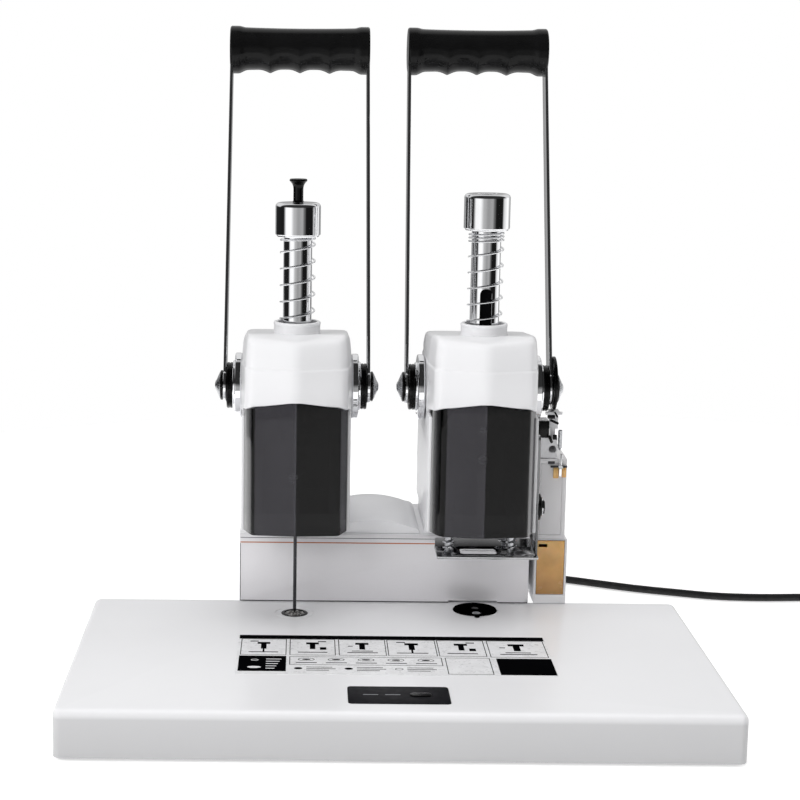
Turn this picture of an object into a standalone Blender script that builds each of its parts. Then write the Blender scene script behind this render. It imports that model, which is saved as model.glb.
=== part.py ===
"""A desk machine that drills a stack of paper and rivets it with a nylon tube.

Two lever heads stand on one base. Each handle turns a pinion that drives a rack on the
rear of its ram. The left ram carries a hollow drill, the right one a heated rivet rod and
a sprung press plate. X is to the right, Y to the back, Z up, all in metres.
"""
import bmesh
import bpy
from math import acos, ceil, cos, hypot, pi, radians, sin, tan
from mathutils import Matrix, Vector

# Clearances and shared small sizes
GAP = 0.0003
RUN = 0.0004
OVERRUN = 0.003
ROUND_STEPS = 20
SPINDLE_STEPS = 12
HUB_STEPS = 16
SMALL_STEPS = 10
EDGE_STEPS = 2

# Base
BASE_WIDTH = 0.400
BASE_DEPTH = 0.229
HOUSING_DEPTH = 0.089
BASE_TOP = 0.031
BASE_WALL = 0.003
BASE_EDGE = 0.0035
BASE_CORNER = 0.005
FOOT_HEIGHT = 0.002
FOOT_RADIUS = 0.010
FOOT_INSET = 0.024
CHASSIS_THICK = 0.0025
SWITCH_WIDTH = 0.060
SWITCH_DEPTH = 0.030
SWITCH_SETBACK = 0.0305
SWITCH_RADIUS = 0.0025
SWITCH_STANDS_OUT = 0.0005
BUTTON_LENGTH = 0.013
BUTTON_WIDTH = 0.0065
BUTTON_OFFSET = 0.013
BUTTON_HEIGHT = 0.009
BUTTON_STANDS_OUT = 0.0006

# Columns and what lies under them
COLUMN_SPACING = 0.1226
COLUMN_MIDDLE_X = -0.0009
COLUMN_INSET = 0.0328
PAD_RING_RADIUS = 0.009
PAD_RADIUS = 0.0069
PAD_THICK = 0.0022
PAD_STANDS_OUT = 0.0001
TURRET_RADIUS = 0.01475
TURRET_OFFSET = 0.011
TURRET_THICK = 0.0021
TURRET_STANDS_OUT = 0.0010
TURRET_TAB = 0.004
TURRET_TAB_WIDTH = 0.007
TURRET_HUB_RADIUS = 0.003
DIE_RADIUS = 0.0030
DIE_BORE = 0.0016
DIE_STANDS_OUT = 0.0004

# Rear housing, panel and crowned cover
HOUSING_LEFT = 0.1005
HOUSING_RIGHT = 0.0985
HOUSING_TOP = 0.079
HOUSING_EDGE = 0.002
PANEL_SETBACK = 0.0055
PANEL_THICK = 0.0012
PANEL_TOP = 0.0787
PANEL_LEFT = 0.100
PANEL_RIGHT = 0.0982
PANEL_CORNER = 0.004
NOTCH_LEFT = 0.0436
NOTCH_RIGHT = 0.0771
NOTCH_HEIGHT = 0.0018
NOTCH_DEPTH = 0.002
PEDESTAL_HALF = 0.034
PEDESTAL_HEIGHT = 0.013
PEDESTAL_MARGIN = 0.0013
PEDESTAL_SETBACK = 0.0035
CROWN_RADIUS = 0.072
CROWN_APEX_X = -0.0085
CROWN_RISE = 0.0092
CROWN_END_RADIUS = 0.006
CROWN_LEFT = 0.0277
CROWN_RIGHT = 0.023
CROWN_OVERHANG = 0.002

# Column casing, front cover and head shell, measured from the unit's own axis
CASING_HALF = 0.0358
CASING_FRONT = 0.0175
CASING_BACK = 0.1075
CASING_WALL = 0.0022
CASING_CORNER = 0.006
COVER_BOTTOM = 0.0925
COVER_HALF = 0.0337
COVER_FOLD_HALF = 0.0305
COVER_RIDGE = 0.0340
COVER_FOLD = 0.0315
COVER_WALL = 0.0018
HEAD_HALF = 0.0364
HEAD_TOP = 0.2225
HEAD_TOP_HALF = 0.0315
HEAD_SHOULDER_DROP = 0.0135
HEAD_ARCH_MIDDLE = 0.1814
HEAD_ARCH_BEND = 0.1776
HEAD_ARCH_BEND_HALF = 0.024
HEAD_ARCH_SIDE = 0.1697
HEAD_RIDGE = 0.0372
HEAD_CHEEK = 0.0285
HEAD_CHEEK_HALF = 0.0330
HEAD_BACK = 0.066
HEAD_WALL = 0.0024
HEAD_EDGE = 0.0024
HEAD_LEDGE_DROP = 0.0205
HEAD_LEDGE_DEPTH = 0.0008
COLLAR_RADIUS = 0.0154
COLLAR_BORE = 0.0128
COLLAR_RIM = 0.2296

# Pivot, rack and pinion
RACK_MODULE = 0.00185
PINION_TEETH = 25
PRESSURE_ANGLE = radians(20)
BACKLASH = 0.0003
FACE_WIDTH = 0.008
RACK_PITCH_DEPTH = 0.00775
PIVOT_Z = 0.1812
SHAFT_RADIUS = 0.005
STUD_RADIUS = 0.003
HANDLE_LEAN = radians(17.5)

# Hub stack, outward from the head's side
FLANGE_RADIUS = 0.02195
FLANGE_THICK = 0.0063
FLANGE_NECK_RADIUS = 0.0165
SPACER_RADIUS = 0.0155
SPACER_THICK = 0.0038
ARM_THICK = 0.0021
CUP_RADIUS = 0.0105
CUP_THICK = 0.0018
NUT_RADIUS = 0.0043
NUT_THICK = 0.0034
NUT_CAP = 0.0008
CAM_THICK = 0.0021
CAM_LOW = 0.0145
CAM_HIGH = 0.0215

# Handle
ARM_LENGTH = 0.235
ARM_WIDTH = 0.0165
ARM_TOP_WIDTH = 0.0150
ARM_HUB_RADIUS = 0.0115
ARM_LEAN_IN = 0.0015
GRIP_LENGTH = 0.0963
GRIP_RADIUS = 0.0148
GRIP_WAIST = 0.0140
GRIP_COLLAR_RADIUS = 0.0158
GRIP_COLLAR = 0.0095
GRIP_RIDGE = 0.0045
GRIP_RIDGE_PITCH = 0.0205
GRIP_RIDGES = 3

# Ram, cap and return spring
RAM_STROKE = 0.055
RAM_BORE = 0.0045
CAP_EDGE = 0.0028
CAP_SOCKET = 0.006
CAP_FOOT = 0.0012
SPRING_RADIUS = 0.0111
SPRING_WIRE = 0.0012
SPRING_PITCH = 0.0107
CURL_STEPS = 8
LEFT_RAM_RADIUS = 0.00935
LEFT_CAP_RADIUS = 0.01475
LEFT_CAP_BOTTOM = 0.2850
LEFT_CAP_TOP = 0.3070
RIGHT_RAM_RADIUS = 0.0096
RIGHT_CAP_RADIUS = 0.0150
RIGHT_CAP_BOTTOM = 0.2903
RIGHT_CAP_TOP = 0.3140
RIGHT_SLOT_WIDTH = 0.008
RIGHT_SLOT_TOP = 0.253
RIGHT_SLOT_BOTTOM = 0.206
RIGHT_CLOSED_TURNS = 2
CLOSED_PITCH = 0.0022

# Drill head
CHUCK_RADIUS = 0.00635
CHUCK_TOP = 0.1462
CHUCK_BOTTOM = 0.1250
BIT_RADIUS = 0.0026
BIT_BORE = 0.0016
BIT_TIP = 0.0868
NEEDLE_RADIUS = 0.0012
KNOB_RADIUS = 0.00575
KNOB_STEM_RADIUS = 0.00325
KNOB_HEIGHT = 0.0150
KNOB_RIM = 0.0025
CARRIAGE_TOP = 0.1556
CARRIAGE_THICK = 0.003
CARRIAGE_HALF = 0.0105
MOTOR_RADIUS = 0.0170
MOTOR_HEIGHT = 0.0095
MOTOR_SETBACK = 0.078
PULLEY_RADIUS = 0.0085
BELT_THICK = 0.0012
BELT_HEIGHT = 0.0040
PULLEY_HEIGHT = 0.0046

# Finer sizes of the pieces above
BASE_TOP_WALL = 0.005
SWITCH_RECESS = 0.0014
BUTTON_ROUND_SHARE = 0.96
TURRET_EDGE = 0.0006
TAB_TAPER_SHARE = 0.75
HOUSING_WALL = 0.0025
VENT_COUNT = 7
VENT_PITCH = 0.0065
VENT_WIDTH = 0.0026
VENT_LOW = 0.034
VENT_HIGH = 0.056
VENT_X = -0.020
CROWN_STEPS = 12
CROWN_END_STEPS = 4
COVER_BEND = 0.003
COVER_TOP = 0.184
HEAD_CORNER = 0.008
HEAD_CHEEK_BEND = 0.008
HEAD_TOP_PULL = 0.004
LEDGE_SHARE = 0.985
BACK_PULL_SHARE = 0.4
ARCH_STEPS = 4
NECK_RADIUS = 0.008
FLANGE_STEP = 0.0015
SPACER_EDGE = 0.0006
COLLAR_EDGE = 0.0008
ROOT_SHARE = 1.25
CAM_STEPS = 18
NUT_DOME_SHARE = 0.75
CHEEK_IN = 0.0227
CHEEK_OUT = 0.0277
CHEEK_FOOT_SETBACK = 0.0330
CHEEK_REACH = 0.0590
CHEEK_SHOULDER = 0.195
CHEEK_TOP_REACH = 0.043
CHEEK_FRONT_SETBACK = 0.0090
FRAME_TOP = 0.2170
FRAME_STEP = 0.0008
FRAME_WEB = 0.016
GUIDE_REACH = 0.0135
GUIDE_LOW = 0.2055
UPPER_GUIDE_REACH = 0.0128
WEB_SETBACK = 0.0093
WEB_REACH = 0.0138
LOW_GUIDE_BOTTOM = 0.1583
LOW_GUIDE_HEIGHT = 0.0042
NOSE_HALF = 0.0135
ARM_TIP = 0.0060
GRIP_STATIONS = 16
GRIP_STEPS = 13
GRIP_EDGE = 0.0015
RIDGE_SHARE = 0.42
CAP_NECK = 0.0006
CHUCK_NOSE_RADIUS = 0.0046
CHUCK_NOSE = 0.003
CHUCK_SOCKET = 0.012
CHUCK_STEM_RADIUS = 0.0042
CHUCK_STEM_TOP = 0.166
BIT_EDGE = 0.0004
KNOB_SOCKET = 0.008
CARRIAGE_LAP = 0.0015
HEATER_RIBS = 3
HEATER_GROOVE = 0.0012
GUIDE_NUT_RADIUS = 0.0036
GUIDE_NUT = 0.0027
CROSSHEAD_END = 0.005
SLEEVE_RADIUS = 0.0032
CUTTER_DEPTH_EDGE = 0.0010
CORD_SEGMENTS = 40
ARM_HUB_STEPS = 10
RACK_REACH_SHARE = 0.52
SLOT_STEPS = 4
CAP_EDGE_STEPS = 2
SPRING_END_TURNS = 1
END_PITCH_SHARE = 1.6
SELF_SKIP_SHARE = 0.7
KNOB_STEPS = 3
BELT_STEPS = 6
BLADE_DEPTH_SHARE = 0.15
PLUNGER_MIDDLE = 0.1120
PLUNGER_PLATE_BOTTOM = 0.1535
TUBE_HOLE_Z = 0.1395
DOOR_INSET = 0.0030
DOOR_GROOVE = 0.0006
GLAND_BORE = 0.0058
RIB_SHARE = 0.35
ROUTE_DENSITY = 24
COIL_LOOPS = 6.25
COIL_OUTER = 0.0405
COIL_LIFT = 0.0062
COIL_CLIMB = 0.5
COIL_LEAD = 0.0056
PLUG_SWING = 0.0150
PLUG_SWING_TURNS = 0.30
CORD_REST = 0.0030
PLUG_CORNER = 0.004
PIN_EDGE = 0.0006

# Rivet head
HEATER_HALF = 0.0095
HEATER_BOTTOM = 0.1320
ROD_RADIUS = 0.0022
ROD_TIP = 0.0913
CROSSHEAD_TOP = 0.1575
CROSSHEAD_THICK = 0.004
CROSSHEAD_HALF_DEPTH = 0.0075
PLATE_OFFSET = 0.0010
PLATE_LEFT = 0.0294
PLATE_RIGHT = 0.0379
PLATE_FRONT = 0.0145
PLATE_BACK = 0.0149
PLATE_TOP = 0.0750
PLATE_THICK = 0.0016
PLATE_FLANGE = 0.0054
PLATE_HOLE_HALF = 0.0122
PLATE_HOLE_RADIUS = 0.00685
GUIDE_SPACING = 0.042
GUIDE_RADIUS = 0.0024
PRESS_SPRING_RADIUS = 0.0035
PRESS_WIRE = 0.0010
PRESS_PITCH = 0.0145
STRAP_THICK = 0.0016
STRAP_HALF_DEPTH = 0.0070
STRAP_TOP = 0.155
STRAP_SLOT_WIDTH = 0.0050
STRAP_SLOT_TOP = 0.150
STRAP_SLOT_BOTTOM = 0.101
STRAP_GUSSET_TOP = 0.092
BOLT_Z = 0.1062
BOLT_RADIUS = 0.0019
BOLT_HEAD_RADIUS = 0.0050
BOLT_HEAD = 0.0030
BOLT_WASHER = 0.0012

# Tube cutter at the right rear
CUTTER_LEFT = 0.1020
CUTTER_RIGHT = 0.1240
CUTTER_DEPTH = 0.0615
CUTTER_WALL = 0.0014
CUTTER_BACK_WALL = 0.004
POCKET_FLOOR = 0.0062
POCKET_TOP = 0.0768
TRAY_WALL = 0.0012
TRAY_TOP = 0.0755
TRAY_DEPTH = 0.054
TRAY_SLOT_LEFT = 0.0008
TRAY_SLOT_WIDTH = 0.006
TRAY_SLOT_HEIGHT = 0.0022
TRAY_SLOT_DROP = 0.0022
BOX_LEFT = 0.1011
BOX_RIGHT = 0.1222
BOX_TOP = 0.1330
BLOCK_LEFT = 0.1030
BLOCK_RIGHT = 0.1150
BLOCK_TOP = 0.1475
BLOCK_DEPTH = 0.022
GUIDE_BLOCK_LEFT = 0.1016
GUIDE_BLOCK_RIGHT = 0.1087
GUIDE_BLOCK_TOP = 0.1592
GUIDE_BLOCK_DEPTH = 0.014
PLUNGER_LEFT = 0.1090
PLUNGER_RIGHT = 0.1156
PLUNGER_WIDTH = 0.0030
PLUNGER_SHELF = 0.0020
PLUNGER_GAP = 0.0006
PLUNGER_DEPTH = 0.010
PLUNGER_BLADE_BOTTOM = 0.1423
BRACKET_LEFT = 0.0988
BRACKET_SETBACK = 0.0315
TUBE_HOLE_RADIUS = 0.0026

# Cord, gland, plug
CORD_RADIUS = 0.0028
GLAND_X = 0.070
GLAND_Z = 0.016
GLAND_RADIUS = 0.0068
GLAND_TIP_RADIUS = 0.0040
GLAND_LENGTH = 0.028
GLAND_FLANGE = 0.0085
GLAND_FLANGE_THICK = 0.002
GLAND_RIBS = 3
COIL_STEP = 0.0061
COIL_STEPS = 24
PLUG_LENGTH = 0.034
PLUG_WIDTH = 0.024
PLUG_NOSE = 0.012
PIN_RADIUS = 0.0020
PIN_LENGTH = 0.019
PIN_SPACING = 0.0186

# The cord's route from the strain relief to the coil, chosen by hand, Y from the rear wall
CORD_COURSE = [
    (0.0700, 0.0287, 0.0160), (0.0702, 0.0355, 0.0158), (0.0735, 0.0455, 0.0138), (0.0815, 0.0560, 0.0100),
    (0.0925, 0.0645, 0.0062), (0.1060, 0.0700, 0.0036), (0.1200, 0.0720, 0.0030), (0.1340, 0.0710, 0.0030),
    (0.1480, 0.0680, 0.0030), (0.1730, 0.0560, 0.0030), (0.1990, 0.0440, 0.0030), (0.2260, 0.0345, 0.0030),
    (0.2530, 0.0260, 0.0030), (0.2755, 0.0232, 0.0030), (0.2956, 0.0230, 0.0030), (0.3186, 0.0244, 0.0030),
    (0.3440, 0.0253, 0.0030), (0.3741, 0.0254, 0.0030),
]

# Places worked out from the sizes above
BASE_FRONT = -(BASE_DEPTH + HOUSING_DEPTH) / 2
BASE_REAR = BASE_FRONT + BASE_DEPTH
HOUSING_REAR = BASE_REAR + HOUSING_DEPTH
PANEL_Y = BASE_REAR - PANEL_SETBACK
COLUMN_Y = BASE_REAR - COLUMN_INSET
PEDESTAL_BACK = COLUMN_Y + CASING_BACK + PEDESTAL_MARGIN
CROWN_BACK = PEDESTAL_BACK + CROWN_OVERHANG
HEAD_LEDGE = HEAD_TOP - HEAD_LEDGE_DROP
CUTTER_BACK = PANEL_Y + CUTTER_DEPTH
BRACKET_FRONT = PANEL_Y + BRACKET_SETBACK
LEFT_X = COLUMN_MIDDLE_X - COLUMN_SPACING / 2
RIGHT_X = COLUMN_MIDDLE_X + COLUMN_SPACING / 2
PITCH_RADIUS = RACK_MODULE * PINION_TEETH / 2
PIVOT_Y = COLUMN_Y + RACK_PITCH_DEPTH + PITCH_RADIUS
PEDESTAL_TOP = HOUSING_TOP + PEDESTAL_HEIGHT
BASE_SEAT = BASE_TOP + GAP
TURRET_Y = COLUMN_Y + TURRET_OFFSET
CHEEK_FOOT_FRONT = COLUMN_Y + CHEEK_FOOT_SETBACK
CHEEK_BACK = COLUMN_Y + CHEEK_REACH
CHEEK_TOP_BACK = COLUMN_Y + CHEEK_TOP_REACH
CHEEK_FRONT = COLUMN_Y + CHEEK_FRONT_SETBACK
GUIDE_FRONT = COLUMN_Y - GUIDE_REACH
UPPER_GUIDE_BACK = COLUMN_Y + UPPER_GUIDE_REACH
WEB_FRONT = COLUMN_Y + WEB_SETBACK
WEB_BACK = COLUMN_Y + WEB_REACH
FLANGE_OUT = HEAD_HALF + GAP + FLANGE_THICK
SPACER_OUT = FLANGE_OUT + GAP + SPACER_THICK
ARM_IN = SPACER_OUT + GAP
ARM_OUT = ARM_IN + ARM_THICK
CUP_START = ARM_OUT + GAP
STUD_END = CUP_START + CUP_THICK + NUT_THICK - NUT_CAP
CORD_ROUTE = [(x, HOUSING_REAR + y, z) for x, y, z in CORD_COURSE]
COIL_Y = CORD_ROUTE[-1][1] + COIL_OUTER
COIL_X = CORD_ROUTE[-1][0] + COIL_LEAD + GAP


def material(name, colour, roughness, metallic=0.0, alpha=1.0):
    """One Principled material; colour is linear red, green, blue."""
    found = bpy.data.materials.new(name)
    found.use_nodes = True
    shader = found.node_tree.nodes["Principled BSDF"]
    shader.inputs["Base Color"].default_value = (*colour, 1.0)
    shader.inputs["Roughness"].default_value = roughness
    shader.inputs["Metallic"].default_value = metallic
    shader.inputs["Alpha"].default_value = alpha
    found.diffuse_color = (*colour, 1.0)
    return found


def prism(outline, axis, low, high):
    """A straight extrusion of a plane outline along X, Y or Z, from low to high."""
    places = {"X": lambda a, b, c: (c, a, b), "Y": lambda a, b, c: (a, c, b), "Z": lambda a, b, c: (a, b, c)}
    place = places[axis]
    shape = bmesh.new()
    near = [shape.verts.new(place(a, b, low)) for a, b in outline]
    far = [shape.verts.new(place(a, b, high)) for a, b in outline]
    shape.faces.new(near)
    shape.faces.new(list(reversed(far)))
    for i in range(len(outline)):
        j = (i + 1) % len(outline)
        shape.faces.new((near[j], near[i], far[i], far[j]))
    bmesh.ops.recalc_face_normals(shape, faces=shape.faces)
    return shape


def block(low, high):
    """A plain block between two corners."""
    outline = [(low[0], low[1]), (high[0], low[1]), (high[0], high[1]), (low[0], high[1])]
    return prism(outline, "Z", low[2], high[2])


def turned(profile, centre, axis="Z", steps=ROUND_STEPS, ring=False):
    """A solid of revolution from (radius, height) points, ends on the axis unless it is a ring."""
    shape = bmesh.new()
    loops = []
    for radius, height in profile:
        if radius == 0:
            loops.append([shape.verts.new((0, 0, height))])
            continue
        turn = [2 * pi * (k + 0.5) / steps for k in range(steps)]
        loops.append([shape.verts.new((radius * cos(a), radius * sin(a), height)) for a in turn])
    pairs = list(zip(loops, loops[1:]))
    if ring:
        pairs.append((loops[-1], loops[0]))
    for lower, upper in pairs:
        for k in range(steps):
            n = (k + 1) % steps
            corners = [lower[k % len(lower)], lower[n % len(lower)], upper[n % len(upper)],
                       upper[k % len(upper)]]
            corners = [v for i, v in enumerate(corners) if v not in corners[:i]]
            if len(corners) > 2:
                shape.faces.new(corners)
    bmesh.ops.recalc_face_normals(shape, faces=shape.faces)
    if axis == "X":
        shape.transform(Matrix.Rotation(pi / 2, 4, "Y"))
    if axis == "Y":
        shape.transform(Matrix.Rotation(-pi / 2, 4, "X"))
    shape.transform(Matrix.Translation(centre))
    return shape


def rod(radius, low, high, centre, axis="Z", steps=SMALL_STEPS):
    """A plain round bar; low and high are measured along the axis from centre."""
    return turned([(0, low), (radius, low), (radius, high), (0, high)], centre, axis, steps)


def rounded(outline, radius, steps=3, corners=None):
    """The outline with its corners, or the named ones, turned into arcs of the radius."""
    points = []
    for i, here in enumerate(outline):
        if corners is not None and i not in corners:
            points.append(here)
            continue
        before = Vector(outline[i - 1]) - Vector(here)
        after = Vector(outline[(i + 1) % len(outline)]) - Vector(here)
        half = before.angle(after) / 2
        reach = radius / tan(half)
        start = Vector(here) + before.normalized() * reach
        end = Vector(here) + after.normalized() * reach
        middle = Vector(here) + (before.normalized() + after.normalized()).normalized() * radius / sin(half)
        sweep = (start - middle).angle_signed(end - middle)
        for k in range(steps + 1):
            spoke = (start - middle).copy()
            spoke.rotate(Matrix.Rotation(-sweep * k / steps, 2))
            points.append(tuple(middle + spoke))
    return points


def slab(left, right, front, back, corner=0.0, steps=3):
    """A plan rectangle with rounded corners."""
    outline = [(left, front), (right, front), (right, back), (left, back)]
    return rounded(outline, corner, steps) if corner else outline


def bevel(shape, width, chosen, steps=EDGE_STEPS):
    """Rounds the edges that the test picks."""
    edges = [e for e in shape.edges if chosen(e)]
    bmesh.ops.bevel(shape, geom=edges, offset=width, segments=steps, profile=0.5, affect="EDGES")
    return shape


def at_height(height):
    """A test for edges that lie at one height."""
    return lambda e: all(abs(v.co.z - height) < GAP / 10 for v in e.verts)


def group(*shapes):
    """Several separate shapes as one."""
    whole = bmesh.new()
    for shape in shapes:
        spare = bpy.data.meshes.new("spare")
        shape.to_mesh(spare)
        shape.free()
        whole.from_mesh(spare)
        bpy.data.meshes.remove(spare)
    return whole


def link(name, shape):
    """Turns a shape into a named object."""
    data = bpy.data.meshes.new(name)
    shape.to_mesh(data)
    shape.free()
    made = bpy.data.objects.new(name, data)
    bpy.context.collection.objects.link(made)
    return made


def piece(name, shape, finish, cuts=(), joins=(), smooth=True, body=None):
    """A finished sub-part: its shape, what is joined to it, then what is cut from it."""
    made = link(name, shape)
    for mode, tools in (("UNION", joins), ("DIFFERENCE", cuts)):
        for number, tool in enumerate(tools):
            helper = link(f"{name}_{mode.lower()}_{number}", tool)
            helper.hide_render = True
            helper.display_type = "WIRE"
            modifier = made.modifiers.new(f"{mode.lower()} {number}", "BOOLEAN")
            modifier.operation = mode
            modifier.solver = "EXACT"
            modifier.object = helper
    if smooth:
        made.data.shade_smooth()
        made.data.set_sharp_from_angle(angle=radians(35))
    made.data.materials.append(finish)
    if body is not None:
        made.parent = body
        made.matrix_parent_inverse = Matrix.Translation(-body.location)
    return made


def joint_empty(name, place, parent=None):
    """An empty on a joint's axis, for the pieces that move together."""
    made = bpy.data.objects.new(name, None)
    bpy.context.collection.objects.link(made)
    made.location = place
    made.empty_display_size = FLANGE_RADIUS
    if parent is not None:
        made.parent = parent
        made.matrix_parent_inverse = Matrix.Translation(-parent.location)
    return made


# Base, from the table up
def floor_plate(name, plan, spots):
    """A steel plate that closes a hollow body from below, with rubber feet under it."""
    plate = prism(plan, "Z", FOOT_HEIGHT, FOOT_HEIGHT + CHASSIS_THICK)
    feet = [rod(FOOT_RADIUS, 0, FOOT_HEIGHT + CHASSIS_THICK / 2, (x, y, 0)) for x, y in spots]
    return piece(name, plate, RUBBER, joins=feet)


def base_floor():
    """The base's floor plate on four feet."""
    inset = BASE_WALL + GAP
    plan = slab(-BASE_WIDTH / 2 + inset, BASE_WIDTH / 2 - inset, BASE_FRONT + inset, BASE_REAR - inset)
    reach = BASE_WIDTH / 2 - FOOT_INSET
    spots = [(x, y) for x in (-reach, reach) for y in (BASE_FRONT + FOOT_INSET, BASE_REAR - FOOT_INSET)]
    return floor_plate("base_floor", plan, spots)


def housing_floor():
    """The rear housing's floor plate on two feet."""
    inset = HOUSING_WALL + GAP
    plan = slab(-HOUSING_LEFT + inset, HOUSING_RIGHT - inset, BASE_REAR + GAP + inset, HOUSING_REAR - inset)
    reach = HOUSING_RIGHT - FOOT_INSET
    return floor_plate("housing_floor", plan, [(x, HOUSING_REAR - FOOT_INSET) for x in (-reach, reach)])


def base_cover():
    """The white base shell, with seats for the pad, the turret and the switch panel."""
    plan = slab(-BASE_WIDTH / 2, BASE_WIDTH / 2, BASE_FRONT, BASE_REAR, BASE_CORNER)
    shell = bevel(prism(plan, "Z", FOOT_HEIGHT, BASE_TOP), BASE_EDGE, at_height(BASE_TOP), 3)
    inner = slab(-BASE_WIDTH / 2 + BASE_WALL, BASE_WIDTH / 2 - BASE_WALL, BASE_FRONT + BASE_WALL,
                 BASE_REAR - BASE_WALL)
    hollow = prism(inner, "Z", FOOT_HEIGHT - OVERRUN, BASE_TOP - BASE_TOP_WALL)
    pad_seat = rod(PAD_RING_RADIUS + GAP, -PAD_THICK - GAP, OVERRUN, (LEFT_X, COLUMN_Y, BASE_TOP),
                   steps=ROUND_STEPS)
    turret_seat = rod(TURRET_RADIUS + RUN, -TURRET_THICK - RUN, OVERRUN, (RIGHT_X, TURRET_Y, BASE_TOP),
                      steps=ROUND_STEPS)
    spindle_hole = rod(TURRET_HUB_RADIUS + RUN, -BASE_TOP_WALL - OVERRUN, 0, (RIGHT_X, TURRET_Y, BASE_TOP))
    panel_seat = prism(switch_plan(GAP), "Z", BASE_TOP - SWITCH_RECESS, BASE_TOP + OVERRUN)
    button_hole = prism(button_plan(RUN), "Z", BASE_TOP - BASE_TOP_WALL - OVERRUN, BASE_TOP)
    cuts = (hollow, pad_seat, turret_seat, spindle_hole, panel_seat, button_hole)
    return piece("base_cover", shell, WHITE, cuts)


def switch_plan(margin):
    """The plan of the switch panel, or of its seat with a margin."""
    half = SWITCH_WIDTH / 2 + margin
    back = BASE_FRONT + SWITCH_SETBACK + SWITCH_DEPTH / 2 + margin
    front = BASE_FRONT + SWITCH_SETBACK - SWITCH_DEPTH / 2 - margin
    return slab(-half, half, front, back, SWITCH_RADIUS + margin)


def button_plan(margin):
    """The plan of the power button, a long oval."""
    y = BASE_FRONT + SWITCH_SETBACK
    half = BUTTON_WIDTH / 2 + margin
    long_half = BUTTON_LENGTH / 2 + margin
    return slab(BUTTON_OFFSET - long_half, BUTTON_OFFSET + long_half, y - half, y + half,
                half * BUTTON_ROUND_SHARE, 4)


def switch_panel():
    """The dark panel let into the base."""
    low = BASE_TOP - SWITCH_RECESS + GAP
    panel = prism(switch_plan(0), "Z", low, BASE_TOP + SWITCH_STANDS_OUT)
    hole = prism(button_plan(RUN), "Z", low - OVERRUN, BASE_TOP + OVERRUN)
    return piece("switch_panel", panel, DARK_PLASTIC, (hole,))


def power_button(body):
    """The button, standing up through the panel and the base."""
    top = BASE_TOP + SWITCH_STANDS_OUT + BUTTON_STANDS_OUT
    button = bevel(prism(button_plan(0), "Z", top - BUTTON_HEIGHT, top), BUTTON_STANDS_OUT / 2,
                   at_height(top), 1)
    return piece("power_button", button, DARK_PLASTIC, body=body)


def drill_pad_ring():
    """The black ring round the drill pad."""
    low = -PAD_THICK
    bore = PAD_RADIUS + GAP
    profile = [(bore, low), (PAD_RING_RADIUS, low), (PAD_RING_RADIUS, 0), (PAD_RING_RADIUS - GAP, GAP),
               (bore, GAP)]
    return piece("drill_pad_ring", turned(profile, (LEFT_X, COLUMN_Y, BASE_TOP), ring=True), BLACK)


def drill_pad():
    """The soft insert that the drill ends in."""
    return piece("drill_pad",
                 rod(PAD_RADIUS, -PAD_THICK, PAD_STANDS_OUT, (LEFT_X, COLUMN_Y, BASE_TOP),
                     steps=ROUND_STEPS), PAD)


def die_turret(body):
    """The disc that turns a fresh die under the rivet rod, with a tab to turn it by."""
    top = TURRET_STANDS_OUT
    centre = (RIGHT_X, TURRET_Y, BASE_TOP)
    hub = -BASE_TOP_WALL
    edge = TURRET_RADIUS - TURRET_EDGE
    profile = [(0, hub), (TURRET_HUB_RADIUS, hub), (TURRET_HUB_RADIUS, -TURRET_THICK),
               (TURRET_RADIUS, -TURRET_THICK)]
    profile += [(TURRET_RADIUS, top - TURRET_EDGE), (edge, top), (0, top)]
    disc = turned(profile, centre)
    root = TURRET_RADIUS - TURRET_TAB_WIDTH / 2
    tip = TURRET_RADIUS + TURRET_TAB
    half = TURRET_TAB_WIDTH / 2
    plan = [(-half, -root), (-half * TAB_TAPER_SHARE, -tip), (half * TAB_TAPER_SHARE, -tip), (half, -root)]
    plan = [(RIGHT_X + x, TURRET_Y + y) for x, y in plan]
    tab = prism(plan, "Z", BASE_TOP + GAP, BASE_TOP + TURRET_STANDS_OUT - GAP)
    hole = rod(DIE_RADIUS + GAP, -TURRET_THICK + TURRET_EDGE, OVERRUN, (RIGHT_X, COLUMN_Y, BASE_TOP))
    return piece("die_turret", disc, BLACK, (hole,), (tab,), body=body)


def lower_die(body):
    """The small steel die that shapes the rivet's lower end."""
    low = -TURRET_THICK + TURRET_EDGE + GAP
    high = TURRET_STANDS_OUT + DIE_STANDS_OUT
    profile = [(0, low), (DIE_RADIUS, low), (DIE_RADIUS, high), (DIE_BORE, high),
               (DIE_BORE, TURRET_STANDS_OUT), (0, GAP)]
    return piece("lower_die", turned(profile, (RIGHT_X, COLUMN_Y, BASE_TOP), steps=SMALL_STEPS), STEEL,
                 body=body)


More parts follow.
